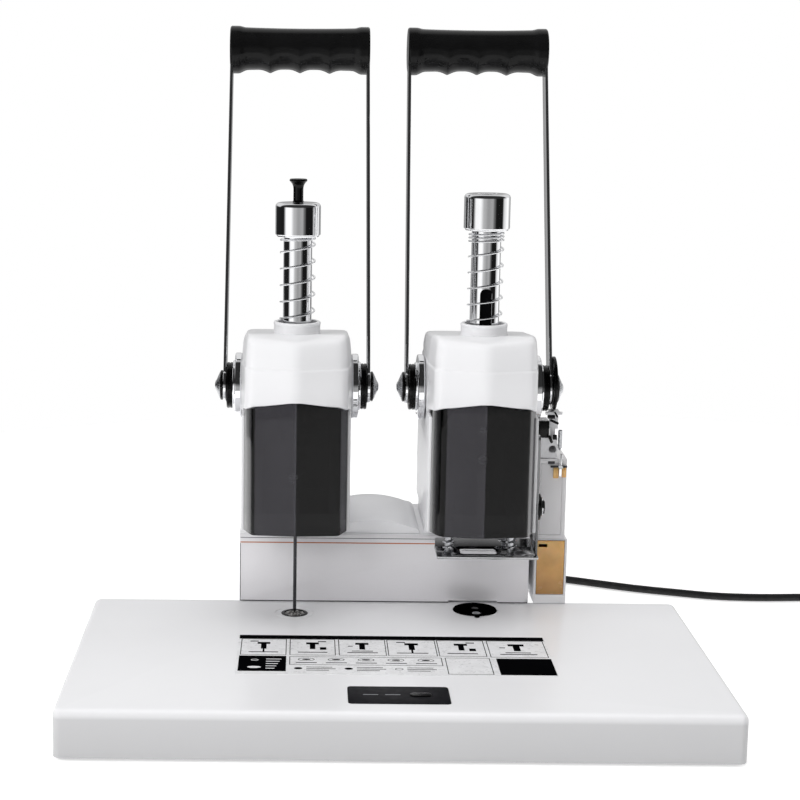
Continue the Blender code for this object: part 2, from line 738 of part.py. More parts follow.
# Rear housing and what it carries
def rear_housing():
    """The white body behind the base, with a lip over the base and a pedestal under each column."""
    low_front = BASE_REAR + GAP
    front = PANEL_Y + PANEL_THICK + GAP
    side = [(low_front, FOOT_HEIGHT), (HOUSING_REAR, FOOT_HEIGHT), (HOUSING_REAR, HOUSING_TOP),
            (front, HOUSING_TOP)]
    side += [(front, BASE_SEAT), (low_front, BASE_SEAT)]
    body = prism(rounded(side, HOUSING_EDGE, 2, (2,)), "X", -HOUSING_LEFT, HOUSING_RIGHT)
    feet = []
    for x in (LEFT_X, RIGHT_X):
        plan = slab(x - PEDESTAL_HALF, x + PEDESTAL_HALF, front + PEDESTAL_SETBACK, PEDESTAL_BACK,
                    HOUSING_EDGE, 2)
        feet.append(prism(plan, "Z", HOUSING_TOP - OVERRUN, PEDESTAL_TOP))
    inside = block((-HOUSING_LEFT + HOUSING_WALL, low_front + HOUSING_WALL, FOOT_HEIGHT - OVERRUN),
                   (HOUSING_RIGHT - HOUSING_WALL, HOUSING_REAR - HOUSING_WALL, HOUSING_TOP - HOUSING_WALL))
    notch = block((NOTCH_LEFT, front - OVERRUN, BASE_TOP - OVERRUN),
                  (NOTCH_RIGHT, front + NOTCH_DEPTH, BASE_TOP + NOTCH_HEIGHT))
    gland = rod(GLAND_BORE, -OVERRUN - HOUSING_WALL, OVERRUN, (GLAND_X, HOUSING_REAR, GLAND_Z), "Y")
    return piece("rear_housing", body, WHITE, (inside, gland, vent_slots(), notch), feet, smooth=False)


def vent_slots():
    """A row of upright cooling slots in the rear wall."""
    first = VENT_X - VENT_PITCH * (VENT_COUNT - 1) / 2
    slots = []
    for k in range(VENT_COUNT):
        x = first + k * VENT_PITCH
        slots.append(block((x - VENT_WIDTH / 2, HOUSING_REAR - HOUSING_WALL - OVERRUN, VENT_LOW),
                           (x + VENT_WIDTH / 2, HOUSING_REAR + OVERRUN, VENT_HIGH)))
    return group(*slots)


def front_panel():
    """The grey sheet across the front of the housing, notched for the turret's tab."""
    left, right = -PANEL_LEFT, PANEL_RIGHT
    outline = [(left, BASE_SEAT), (right, BASE_SEAT), (right, PANEL_TOP), (left, PANEL_TOP)]
    sheet = prism(rounded(outline, PANEL_CORNER, 3, (0, 1)), "Y", PANEL_Y, PANEL_Y + PANEL_THICK)
    notch = block((NOTCH_LEFT, PANEL_Y - OVERRUN, BASE_TOP - OVERRUN),
                  (NOTCH_RIGHT, PANEL_Y + OVERRUN, BASE_TOP + NOTCH_HEIGHT))
    return piece("front_panel", sheet, GREY, (notch,), smooth=False)


def crowned_cover():
    """The arched lid over the middle of the housing."""
    base = HOUSING_TOP + GAP
    centre_z = HOUSING_TOP + CROWN_RISE - CROWN_RADIUS
    right = CROWN_RIGHT - CROWN_END_RADIUS
    turn = acos((right - CROWN_APEX_X) / CROWN_RADIUS)
    far = acos((-CROWN_LEFT - CROWN_APEX_X) / CROWN_RADIUS)
    outline = [(-CROWN_LEFT, base)]
    shoulder = centre_z + CROWN_RADIUS * sin(turn)
    for k in range(CROWN_END_STEPS):
        fall = pi / 2 * (1 - k / CROWN_END_STEPS)
        outline.append((right + CROWN_END_RADIUS * sin(fall), base + (shoulder - base) * cos(fall)))
    for k in range(CROWN_STEPS + 1):
        angle = turn + (far - turn) * k / CROWN_STEPS
        outline.append((CROWN_APEX_X + CROWN_RADIUS * cos(angle), centre_z + CROWN_RADIUS * sin(angle)))
    front = PANEL_Y + PANEL_THICK + GAP + PEDESTAL_SETBACK / 2
    return piece("crowned_cover", prism(outline, "Y", front, CROWN_BACK), WHITE)


# One lever head, built round its own column axis
def loft(rings):
    """A closed shape through rings of points, each ring with the same number of points."""
    shape = bmesh.new()
    loops = [[shape.verts.new(point) for point in ring] for ring in rings]
    for lower, upper in zip(loops, loops[1:]):
        for k in range(len(lower)):
            n = (k + 1) % len(lower)
            shape.faces.new((lower[k], lower[n], upper[n], upper[k]))
    shape.faces.new(list(reversed(loops[0])))
    shape.faces.new(loops[-1])
    bmesh.ops.recalc_face_normals(shape, faces=shape.faces)
    return shape


def column_casing(side, x):
    """The white shell behind the smoked cover, open at the front and under the head."""
    low = PEDESTAL_TOP + GAP
    top = HEAD_ARCH_SIDE - GAP
    front = COLUMN_Y - CASING_FRONT
    back = COLUMN_Y + CASING_BACK
    plan = slab(x - CASING_HALF, x + CASING_HALF, front, back)
    shell = bevel(prism(plan, "Z", low, top), CASING_CORNER,
                  lambda e: upright(e) and e.verts[0].co.y > COLUMN_Y, 3)
    half = CASING_HALF - CASING_WALL
    inner = slab(x - half, x + half, front - OVERRUN, back - CASING_WALL)
    hollow = prism(inner, "Z", low - OVERRUN, top - CASING_WALL)
    under_head = slab(x - half, x + half, front - OVERRUN, COLUMN_Y + HEAD_BACK - HEAD_WALL)
    mouth = prism(under_head, "Z", top - 2 * CASING_WALL, top + OVERRUN)
    cuts = [hollow, mouth]
    if side == "right":
        cuts.append(rod(BOLT_RADIUS + GAP, half - OVERRUN, CASING_HALF + OVERRUN, (x, COLUMN_Y, BOLT_Z), "X"))
    return piece(f"{side}_column_casing", shell, WHITE, cuts)


def upright(edge):
    """A test for edges that stand along Z."""
    run = edge.verts[1].co - edge.verts[0].co
    return abs(run.z) > hypot(run.x, run.y)


def cover_path(x, inset):
    """The faceted plan of the smoked cover, from its left rear edge to its right one."""
    back = COLUMN_Y - CASING_FRONT - GAP
    fold = COLUMN_Y - COVER_FOLD + inset
    ridge = COLUMN_Y - COVER_RIDGE + inset
    half = COVER_HALF - inset
    fold_half = COVER_FOLD_HALF - inset
    return [(x - half, back), (x - fold_half, fold), (x, ridge), (x + fold_half, fold), (x + half, back)]


def front_cover(side, x):
    """The smoked guard over the tool, folded at its middle and at both corners."""
    path = cover_path(x, 0)
    outer = rounded(path, COVER_BEND, 3, (1, 3))
    inner = rounded(cover_path(x, COVER_WALL), COVER_BEND - COVER_WALL, 3, (1, 3))
    sheet = prism(outer + inner[::-1], "Z", COVER_BOTTOM, COVER_TOP)
    return piece(f"{side}_front_cover", sheet, SMOKED, (arch_cutter(x, GAP, COVER_TOP + OVERRUN),))


def head_plan(x, z, inset, share, pull):
    """One ring of the head's plan; share narrows it and pull moves its front back."""
    half = (HEAD_HALF - inset) * share
    cheek = (HEAD_CHEEK_HALF - inset) * share
    ridge = COLUMN_Y - HEAD_RIDGE + inset + pull
    cheek_y = COLUMN_Y - HEAD_CHEEK + inset + pull
    back = COLUMN_Y + HEAD_BACK - inset - pull * BACK_PULL_SHARE
    corner = HEAD_CORNER
    right = [(0, ridge), (cheek, cheek_y), (half, COLUMN_Y), (half, back - corner), (half - corner, back)]
    left = [(-a, b) for a, b in reversed(right[1:])]
    ring = rounded(right + left, HEAD_CHEEK_BEND, 2, (1, len(right + left) - 1))
    return [(x + a, b, z) for a, b in ring]


def arch_line(x, drop):
    """The roof line of the head's open front, from left to right, lowered by drop."""
    bend = HEAD_ARCH_BEND_HALF
    fall = HEAD_ARCH_BEND - HEAD_ARCH_SIDE
    right = []
    for k in range(ARCH_STEPS + 1):
        turn = pi / 2 * k / ARCH_STEPS
        right.append((bend + (HEAD_HALF - bend) * sin(turn), HEAD_ARCH_SIDE + fall * cos(turn)))
    right.append((HEAD_HALF + OVERRUN, HEAD_ARCH_SIDE))
    left = [(-a, b) for a, b in reversed(right)]
    return [(x + a, b - drop) for a, b in left + [(0, HEAD_ARCH_MIDDLE)] + right]


def arch_cutter(x, drop, end):
    """All that lies between the arch line and the height at end, as deep as the head's front."""
    line = arch_line(x, drop)
    outline = line + [(line[-1][0], end), (line[0][0], end)]
    return prism(outline, "Y", COLUMN_Y - HEAD_RIDGE - OVERRUN, COLUMN_Y)


def head_shell(side, x):
    """The white head: a creased front, chamfered shoulders and an arched opening below."""
    shoulder = HEAD_TOP - HEAD_SHOULDER_DROP
    top_share = HEAD_TOP_HALF / HEAD_HALF
    levels = [(HEAD_ARCH_SIDE, 1, 0), (HEAD_LEDGE, 1, 0),
              (HEAD_LEDGE + HEAD_LEDGE_DEPTH, LEDGE_SHARE, HEAD_LEDGE_DEPTH)]
    levels += [(shoulder, LEDGE_SHARE, HEAD_LEDGE_DEPTH), (HEAD_TOP, top_share, HEAD_TOP_PULL)]
    shell = loft([head_plan(x, z, 0, share, pull) for z, share, pull in levels])
    bevel(shell, HEAD_EDGE, at_height(HEAD_TOP))
    inner = [(HEAD_ARCH_SIDE - OVERRUN, 1, 0), (shoulder - HEAD_WALL, 1, 0)]
    inner.append((HEAD_TOP - HEAD_WALL, top_share, HEAD_TOP_PULL))
    hollow = loft([head_plan(x, z, HEAD_WALL, share, pull) for z, share, pull in inner])
    arch = arch_cutter(x, 0, HEAD_ARCH_SIDE - OVERRUN)
    low = HEAD_TOP - HEAD_WALL / 2
    rim = COLLAR_RIM - COLLAR_EDGE
    profile = [(0, low), (COLLAR_RADIUS, low), (COLLAR_RADIUS, rim),
               (COLLAR_RADIUS - COLLAR_EDGE, COLLAR_RIM), (0, COLLAR_RIM)]
    collar = turned(profile, (x, COLUMN_Y, 0))
    mouth = rod(COLLAR_BORE, FRAME_TOP, COLLAR_RIM + OVERRUN, (x, COLUMN_Y, 0), steps=ROUND_STEPS)
    bearings = rod(NECK_RADIUS + RUN, -HEAD_HALF - OVERRUN, HEAD_HALF + OVERRUN, (x, PIVOT_Y, PIVOT_Z), "X")
    return piece(f"{side}_head_shell", shell, WHITE, (hollow, arch, mouth, bearings), (collar,))


def head_frame(side, x, ram_radius):
    """The cast frame: two cheeks with the bearings, joined by the ram's upper and lower guides."""
    outline = [(CHEEK_FOOT_FRONT, PEDESTAL_TOP + GAP), (CHEEK_BACK, PEDESTAL_TOP + GAP),
               (CHEEK_BACK, CHEEK_SHOULDER)]
    outline += [(CHEEK_TOP_BACK, FRAME_TOP - FRAME_STEP), (GUIDE_FRONT, FRAME_TOP - FRAME_STEP),
                (GUIDE_FRONT, GUIDE_LOW)]
    outline += [(CHEEK_FRONT, GUIDE_LOW - FRAME_WEB), (CHEEK_FRONT, LOW_GUIDE_BOTTOM - FRAME_STEP)]
    outline.append((CHEEK_FOOT_FRONT, LOW_GUIDE_BOTTOM - FRAME_WEB))
    cheek = prism(outline, "X", x - CHEEK_OUT, x - CHEEK_IN)
    other = prism(outline, "X", x + CHEEK_IN, x + CHEEK_OUT)
    lap = CHEEK_IN + OVERRUN / 2
    upper = block((x - lap, GUIDE_FRONT + FRAME_STEP, GUIDE_LOW + FRAME_STEP),
                  (x + lap, UPPER_GUIDE_BACK, FRAME_TOP))
    web = block((x - lap, WEB_FRONT, LOW_GUIDE_BOTTOM),
                (x + lap, WEB_BACK, LOW_GUIDE_BOTTOM + LOW_GUIDE_HEIGHT))
    nose = block((x - NOSE_HALF, GUIDE_FRONT, LOW_GUIDE_BOTTOM + FRAME_STEP / 2),
                 (x + NOSE_HALF, WEB_FRONT + FRAME_STEP,
                  LOW_GUIDE_BOTTOM + LOW_GUIDE_HEIGHT - FRAME_STEP / 2))
    bore = rod(ram_radius + RUN, PEDESTAL_TOP, HEAD_TOP, (x, COLUMN_Y, 0), steps=ROUND_STEPS)
    shaft = rod(SHAFT_RADIUS + RUN, -CHEEK_OUT - OVERRUN, CHEEK_OUT + OVERRUN, (x, PIVOT_Y, PIVOT_Z), "X")
    return piece(f"{side}_head_frame", cheek, CAST, (bore, shaft), (upper, other, web, nose))


def tooth_half_angle(radius):
    """Half the angle that an involute tooth of the pinion covers at a radius."""
    base = PITCH_RADIUS * cos(PRESSURE_ANGLE)
    here = acos(min(1, base / radius))
    at_pitch = (pi * RACK_MODULE / 2 - BACKLASH) / (2 * PITCH_RADIUS)
    return at_pitch + (tan(PRESSURE_ANGLE) - PRESSURE_ANGLE) - (tan(here) - here)


def pinion(side, x, body):
    """The pinion on its shaft, with a hub flange, a spacer and a stud at each end."""
    root = PITCH_RADIUS - ROOT_SHARE * RACK_MODULE
    tip = PITCH_RADIUS + RACK_MODULE
    outline = []
    for tooth in range(PINION_TEETH):
        middle = pi + 2 * pi * tooth / PINION_TEETH
        for sign, radius in ((-1, root), (-1, tip), (1, tip), (1, root)):
            angle = middle + sign * tooth_half_angle(max(radius, PITCH_RADIUS * cos(PRESSURE_ANGLE)))
            outline.append((PIVOT_Y + radius * cos(angle), PIVOT_Z + radius * sin(angle)))
    gear = prism(outline, "X", x - FACE_WIDTH / 2, x + FACE_WIDTH / 2)
    right = hub_profile(1, CAM_THICK + GAP if side == "right" else 0)
    shaft = turned(hub_profile(-1, 0) + right[::-1], (x, PIVOT_Y, PIVOT_Z), "X", HUB_STEPS)
    return piece(f"{side}_pinion", gear, CHROME, joins=(shaft,), body=body)


def hub_profile(sign, extra):
    """The outline of one end of the pinion's shaft, from its stud's tip in to the cheek."""
    inner = HEAD_HALF + GAP
    profile = [(0, STUD_END + extra), (STUD_RADIUS, STUD_END + extra), (STUD_RADIUS, SPACER_OUT)]
    profile += [(SPACER_RADIUS, SPACER_OUT), (SPACER_RADIUS, FLANGE_OUT)]
    profile += [(FLANGE_NECK_RADIUS, FLANGE_OUT), (FLANGE_RADIUS, FLANGE_OUT - FLANGE_STEP),
                (FLANGE_RADIUS, inner)]
    profile += [(NECK_RADIUS, inner), (NECK_RADIUS, CHEEK_OUT + GAP), (SHAFT_RADIUS, CHEEK_OUT + GAP)]
    return [(radius, sign * out) for radius, out in profile]


def cutter_cam(x, body):
    """The spiral plate that pushes the cutter's plunger down as the handle comes forward."""
    outer = []
    for k in range(CAM_STEPS):
        turn = 2 * pi * k / CAM_STEPS
        if turn <= pi:
            radius = CAM_LOW + (CAM_HIGH - CAM_LOW) * turn / pi
        else:
            radius = (CAM_HIGH + CAM_LOW) / 2 + (CAM_HIGH - CAM_LOW) / 2 * cos(turn - pi)
        angle = -pi / 2 - turn
        outer.append((PIVOT_Y + radius * cos(angle), PIVOT_Z + radius * sin(angle)))
    plate = prism(outer, "X", x + CUP_START, x + CUP_START + CAM_THICK)
    hole = rod(STUD_RADIUS + GAP, CUP_START - OVERRUN, CUP_START + CAM_THICK + OVERRUN,
               (x, PIVOT_Y, PIVOT_Z), "X")
    return piece("cutter_cam", plate, BLACK, (hole,), body=body)


def carved(shape, tool):
    """The shape with the tool cut out of it, for a piece that joins a group."""
    target = link("carved", shape)
    helper = link("carver", tool)
    modifier = target.modifiers.new("cut", "BOOLEAN")
    modifier.object = helper
    result = bmesh.new()
    result.from_object(target, bpy.context.evaluated_depsgraph_get())
    for used in (target, helper):
        bpy.data.objects.remove(used)
    return result


def hub_nut(side, end, x, body):
    """A black cup with a dome nut that closes one end of the hub."""
    sign = outward(side, end)
    start = CUP_START + (CAM_THICK + GAP if (side, end) == ("right", "outer") else 0)
    flat = start + CUP_THICK
    top = flat + GAP + NUT_THICK
    hole = STUD_RADIUS + GAP
    profile = [(0, top - NUT_CAP), (hole, top - NUT_CAP), (hole, start), (CUP_RADIUS, start)]
    profile += [(CUP_RADIUS, flat - SPACER_EDGE), (CUP_RADIUS - SPACER_EDGE, flat), (NUT_RADIUS, flat)]
    profile += [(NUT_RADIUS, flat + NUT_THICK / 2), (NUT_RADIUS * NUT_DOME_SHARE, top - NUT_CAP / 2),
                (0, top)]
    profile = [(radius, sign * out) for radius, out in profile]
    return piece(f"{side}_{end}_hub_nut", turned(profile, (x, PIVOT_Y, PIVOT_Z), "X", SPINDLE_STEPS), BLACK,
                 body=body)


def outward(side, end):
    """The direction along X of a hub's outer or inner end."""
    away = -1 if side == "left" else 1
    return away if end == "outer" else -away


def along_arm(u, v):
    """A point in the handle's plane: u up the arm from the pivot, v towards the back."""
    y = PIVOT_Y + u * sin(HANDLE_LEAN) + v * cos(HANDLE_LEAN)
    z = PIVOT_Z + u * cos(HANDLE_LEAN) - v * sin(HANDLE_LEAN)
    return y, z


def handle_arm(side, end, x, body):
    """A flat chrome strip from the hub up into one end of the grip."""
    half = ARM_WIDTH / 2
    top_half = ARM_TOP_WIDTH / 2
    start = acos(-half / ARM_HUB_RADIUS) - pi / 2
    tip = ARM_LENGTH + ARM_TIP
    flat = [(tip, top_half - ARM_TIP / 2), (tip - ARM_TIP / 2, top_half)]
    for k in range(ARM_HUB_STEPS + 1):
        angle = start + (2 * pi - 2 * start) * k / ARM_HUB_STEPS
        flat.append((ARM_HUB_RADIUS * cos(angle), ARM_HUB_RADIUS * sin(angle)))
    flat += [(tip - ARM_TIP / 2, -top_half), (tip, -top_half + ARM_TIP / 2)]
    sign = outward(side, end)
    arm = prism([along_arm(u, v) for u, v in flat], "X", sign * ARM_IN, sign * ARM_OUT)
    for vert in arm.verts:
        rise = (vert.co.z - PIVOT_Z) * cos(HANDLE_LEAN) + (vert.co.y - PIVOT_Y) * sin(HANDLE_LEAN)
        vert.co.x += x - sign * ARM_LEAN_IN * max(0, rise) / ARM_LENGTH
    hole = rod(STUD_RADIUS + GAP, -ARM_OUT - OVERRUN, ARM_OUT + OVERRUN, (x, PIVOT_Y, PIVOT_Z), "X")
    return piece(f"{side}_{end}_arm", arm, CHROME, (hole,), body=body)


def grip_radius(out):
    """The grip's radius at a distance from its middle: a waist between flared end collars."""
    half = GRIP_LENGTH / 2
    from_end = half - out
    if from_end < GRIP_COLLAR:
        edge = max(0, GRIP_EDGE - from_end)
        return GRIP_COLLAR_RADIUS - edge
    share = out / (half - GRIP_COLLAR)
    return GRIP_WAIST + (GRIP_RADIUS - GRIP_WAIST) * share * share


def finger_ridge(x):
    """How far the underside stands out at x: rounded ridges between the fingers."""
    tallest = 0
    for k in range(GRIP_RIDGES):
        middle = (k - (GRIP_RIDGES - 1) / 2) * GRIP_RIDGE_PITCH
        distance = abs(x - middle) / (GRIP_RIDGE_PITCH * RIDGE_SHARE)
        if distance < 1:
            tallest = max(tallest, GRIP_RIDGE * (1 + cos(pi * distance)) / 2)
    return tallest


def grip(side, x, body):
    """The black hand grip, ridged on its underside, with a recess for each arm."""
    half = GRIP_LENGTH / 2
    inner_end = half - GRIP_COLLAR
    stations = [-half, -half + GRIP_EDGE, -inner_end - GAP]
    stations += [inner_end * (2 * k / GRIP_STATIONS - 1) for k in range(GRIP_STATIONS + 1)]
    stations += [inner_end + GAP, half - GRIP_EDGE, half]
    rings = []
    for station in stations:
        radius = grip_radius(abs(station))
        ring = []
        for k in range(GRIP_STEPS):
            turn = 2 * pi * k / GRIP_STEPS
            under = max(0, -cos(turn))
            reach = radius + finger_ridge(station) * under
            y, z = along_arm(ARM_LENGTH + reach * cos(turn), reach * sin(turn))
            ring.append((x + station, y, z))
        rings.append(ring)
    recesses = []
    for sign in (-1, 1):
        low = ARM_IN - ARM_LEAN_IN - 2 * GAP
        wide = ARM_TOP_WIDTH / 2 + 2 * GAP
        corners = [(ARM_LENGTH - GRIP_RADIUS - GRIP_RIDGE * 2, -wide), (ARM_LENGTH + ARM_TIP + GAP, -wide)]
        corners += [(ARM_LENGTH + ARM_TIP + GAP, wide), (ARM_LENGTH - GRIP_RADIUS - GRIP_RIDGE * 2, wide)]
        outline = [along_arm(u, v) for u, v in corners]
        recesses.append(prism(outline, "X", x + sign * low, x + sign * (half + OVERRUN)))
    return piece(f"{side}_grip", loft(rings), BLACK, (group(*recesses),), body=body)


def rack_spaces(x):
    """The spaces between the rack's teeth, one tooth of the pinion wide at the pitch line."""
    pitch = pi * RACK_MODULE
    half = (pitch / 2 + BACKLASH) / 2
    slope = tan(PRESSURE_ANGLE)
    inner = RACK_PITCH_DEPTH - ROOT_SHARE * RACK_MODULE
    outer = LEFT_RAM_RADIUS + OVERRUN
    low_half = half - (RACK_PITCH_DEPTH - inner) * slope
    high_half = half + (outer - RACK_PITCH_DEPTH) * slope
    reach = PITCH_RADIUS * RACK_REACH_SHARE
    first = -ceil(reach / pitch)
    last = ceil((RAM_STROKE + reach) / pitch)
    spaces = []
    for k in range(first, last + 1):
        z = PIVOT_Z + k * pitch
        outline = [(COLUMN_Y + inner, z - low_half), (COLUMN_Y + outer, z - high_half)]
        outline += [(COLUMN_Y + outer, z + high_half), (COLUMN_Y + inner, z + low_half)]
        spaces.append(prism(outline, "X", x - outer, x + outer))
    flat_low = PIVOT_Z + first * pitch - half
    flat_high = PIVOT_Z + last * pitch + half
    flat = block((x - outer, COLUMN_Y + RACK_PITCH_DEPTH + RACK_MODULE, flat_low),
                 (x + outer, COLUMN_Y + outer + OVERRUN, flat_high))
    return group(*spaces), flat


def ram(side, x, radius, low, high, body):
    """The hollow ram with its rack milled into the rear."""
    profile = [(RAM_BORE, low), (radius, low), (radius, high), (RAM_BORE, high)]
    barrel = turned(profile, (x, COLUMN_Y, 0), steps=HUB_STEPS, ring=True)
    spaces, flat = rack_spaces(x)
    cuts = [flat, spaces]
    if side == "right":
        half = RIGHT_SLOT_WIDTH / 2
        outline = [(x - half, RIGHT_SLOT_BOTTOM), (x + half, RIGHT_SLOT_BOTTOM)]
        for k in range(SLOT_STEPS + 1):
            turn = pi * k / SLOT_STEPS
            outline.append((x + half * cos(turn), RIGHT_SLOT_TOP - half + half * sin(turn)))
        cuts.append(prism(outline, "Y", COLUMN_Y - radius - OVERRUN, COLUMN_Y))
    return piece(f"{side}_ram", barrel, CHROME, cuts, body=body)


def ram_cap(side, x, ram_radius, radius, bottom, top, body):
    """The chrome cap that presses the return spring down."""
    socket = ram_radius + GAP
    neck = radius - CAP_NECK
    rim = [(socket, bottom), (neck - CAP_FOOT, bottom), (neck, bottom + CAP_FOOT),
           (radius, bottom + 3 * CAP_FOOT)]
    for k in range(CAP_EDGE_STEPS + 1):
        turn = pi / 2 * k / CAP_EDGE_STEPS
        rim.append((radius - CAP_EDGE + CAP_EDGE * cos(turn), top - CAP_EDGE + CAP_EDGE * sin(turn)))
    roof = bottom + CAP_SOCKET
    if side == "left":
        bore = NEEDLE_RADIUS + RUN
        profile = [(bore, roof), (socket, roof)] + rim + [(bore, top)]
        shape = turned(profile, (x, COLUMN_Y, 0), ring=True)
    else:
        shape = turned([(0, roof), (socket, roof)] + rim + [(0, top)], (x, COLUMN_Y, 0))
    return piece(f"{side}_ram_cap", shape, CHROME, body=body)


def helix(low, high, centre, radius, wire, pitch, closed_turns=0):
    """The line of a spring's wire, its end turns wound close, rising to the right in front."""
    x, y = centre
    end_rise = SPRING_END_TURNS * END_PITCH_SHARE * wire
    closed_rise = closed_turns * CLOSED_PITCH
    open_rise = high - low - wire - closed_rise - 2 * end_rise
    open_turns = round(open_rise / pitch)
    stages = [(SPRING_END_TURNS, end_rise), (open_turns, open_rise), (closed_turns, closed_rise),
              (SPRING_END_TURNS, end_rise)]
    turns = sum(count for count, rise in stages)
    points = []
    for k in range(turns * CURL_STEPS + 1):
        turn = k / CURL_STEPS
        z = low + wire / 2
        for count, rise in stages:
            done = min(max(turn, 0), count)
            z += rise * done / count if count else 0
            turn -= count
        angle = 2 * pi * k / CURL_STEPS - pi / 2
        points.append((x + radius * cos(angle), y + radius * sin(angle), z))
    return points


def spring(name, line, wire, finish, body=None):
    """A wire spring; prints its least gap to itself."""
    report_gap(name, line, wire, CURL_STEPS)
    return tube(name, line, wire / 2, 1, finish, body)


def report_gap(name, points, thickness, loop_steps):
    """Prints the least gap between a wound tube and itself, measured between points."""
    skip = int(loop_steps * SELF_SKIP_SHARE)
    least = min((Vector(a) - Vector(b)).length for i, a in enumerate(points)
                for b in points[i + skip:i + 8 * loop_steps])
    print(f"{name}: least gap to itself {1000 * (least - thickness):.2f} mm")


def tube(name, points, radius, resolution, finish, body=None):
    """A round tube along a line of points, closed at both ends."""
    data = bpy.data.curves.new(name, "CURVE")
    data.dimensions = "3D"
    data.bevel_depth = radius
    data.bevel_resolution = resolution
    data.use_fill_caps = True
    spline = data.splines.new("POLY")
    spline.points.add(len(points) - 1)
    for target, point in zip(spline.points, points):
        target.co = (*point, 1)
    data.materials.append(finish)
    made = bpy.data.objects.new(name, data)
    bpy.context.collection.objects.link(made)
    if body is not None:
        made.parent = body
        made.matrix_parent_inverse = Matrix.Translation(-body.location)
    return made


# The drill head's own pieces
def clearing_needle(body):
    """The steel needle that hangs through the hollow ram and clears the chips from the drill."""
    low = BASE_TOP + PAD_STANDS_OUT + GAP
    high = LEFT_CAP_TOP + GAP + KNOB_SOCKET
    tip = NEEDLE_RADIUS / 2
    profile = [(0, low), (tip, low), (NEEDLE_RADIUS, low + NEEDLE_RADIUS), (NEEDLE_RADIUS, high), (0, high)]
    return piece("clearing_needle", turned(profile, (LEFT_X, COLUMN_Y, 0), steps=SMALL_STEPS), STEEL,
                 body=body)


def needle_knob(body):
    """The trumpet knob on top of the needle."""
    low = LEFT_CAP_TOP + GAP
    top = low + KNOB_HEIGHT
    bore = NEEDLE_RADIUS + GAP
    rim = top - KNOB_RIM
    roof = low + KNOB_SOCKET + GAP
    profile = [(0, roof), (bore, roof), (bore, low), (KNOB_STEM_RADIUS + KNOB_RIM / 2, low),
               (KNOB_STEM_RADIUS, low + KNOB_RIM)]
    for k in range(1, KNOB_STEPS + 1):
        share = k / KNOB_STEPS
        radius = KNOB_STEM_RADIUS + (KNOB_RADIUS - KNOB_STEM_RADIUS) * share ** 3
        profile.append((radius, low + KNOB_RIM + (rim - low - KNOB_RIM) * (share + 1) / 2))
    profile += [(KNOB_RADIUS, top - KNOB_RIM / 4), (KNOB_RADIUS - KNOB_RIM / 4, top), (0, top)]
    return piece("needle_knob", turned(profile, (LEFT_X, COLUMN_Y, 0), steps=SPINDLE_STEPS), BLACK, body=body)


def drill_chuck(body):
    """The hollow spindle: chuck, belt pulley and the stem that turns inside the ram."""
    bottom, top = CHUCK_BOTTOM, CHUCK_TOP
    socket = BIT_RADIUS + GAP
    bore = NEEDLE_RADIUS + RUN
    stem = CHUCK_STEM_RADIUS
    pulley_top = CARRIAGE_TOP - CARRIAGE_THICK - GAP
    pulley_low = pulley_top - PULLEY_HEIGHT
    profile = [(socket, bottom), (CHUCK_NOSE_RADIUS, bottom), (CHUCK_RADIUS, bottom + CHUCK_NOSE),
               (CHUCK_RADIUS, top)]
    profile += [(stem, top), (stem, pulley_low), (PULLEY_RADIUS, pulley_low), (PULLEY_RADIUS, pulley_top)]
    profile += [(stem, pulley_top), (stem, CHUCK_STEM_TOP), (bore, CHUCK_STEM_TOP),
                (bore, bottom + CHUCK_SOCKET)]
    profile.append((socket, bottom + CHUCK_SOCKET))
    return piece("drill_chuck", turned(profile, (LEFT_X, COLUMN_Y, 0), steps=SPINDLE_STEPS, ring=True),
                 STEEL, body=body)


def drill_bit(body):
    """The hollow drill, sharpened to a thin ring."""
    high = CHUCK_BOTTOM + CHUCK_SOCKET - GAP
    bore = BIT_BORE
    profile = [(bore, BIT_TIP), (bore + BIT_EDGE, BIT_TIP), (BIT_RADIUS, BIT_TIP + BIT_RADIUS),
               (BIT_RADIUS, high), (bore, high)]
    return piece("drill_bit", turned(profile, (LEFT_X, COLUMN_Y, 0), steps=SMALL_STEPS, ring=True), STEEL,
                 body=body)


def drill_motor(body):
    """The flat motor on its carriage plate, which the ram carries up and down."""
    low, high = CARRIAGE_TOP - CARRIAGE_THICK, CARRIAGE_TOP
    motor_y = COLUMN_Y + MOTOR_SETBACK
    plan = slab(LEFT_X - CARRIAGE_HALF, LEFT_X + CARRIAGE_HALF, COLUMN_Y - CARRIAGE_HALF,
                motor_y + CARRIAGE_HALF, CARRIAGE_HALF / 2)
    plate = prism(plan, "Z", low, high)
    pulley_top = low - GAP
    pulley_low = pulley_top - PULLEY_HEIGHT
    stem = CHUCK_STEM_RADIUS
    profile = [(0, pulley_low), (PULLEY_RADIUS, pulley_low), (PULLEY_RADIUS, pulley_top), (stem, pulley_top),
               (stem, high - CARRIAGE_LAP)]
    profile += [(MOTOR_RADIUS, high - CARRIAGE_LAP), (MOTOR_RADIUS, high + MOTOR_HEIGHT - CARRIAGE_LAP)]
    profile += [(MOTOR_RADIUS - CARRIAGE_LAP, high + MOTOR_HEIGHT), (0, high + MOTOR_HEIGHT)]
    can = turned(profile, (LEFT_X, motor_y, 0))
    hole = rod(CHUCK_STEM_RADIUS + GAP, low - OVERRUN, high + OVERRUN, (LEFT_X, COLUMN_Y, 0),
               steps=SPINDLE_STEPS)
    return piece("drill_motor", plate, CAST, (hole,), (can,), body=body)


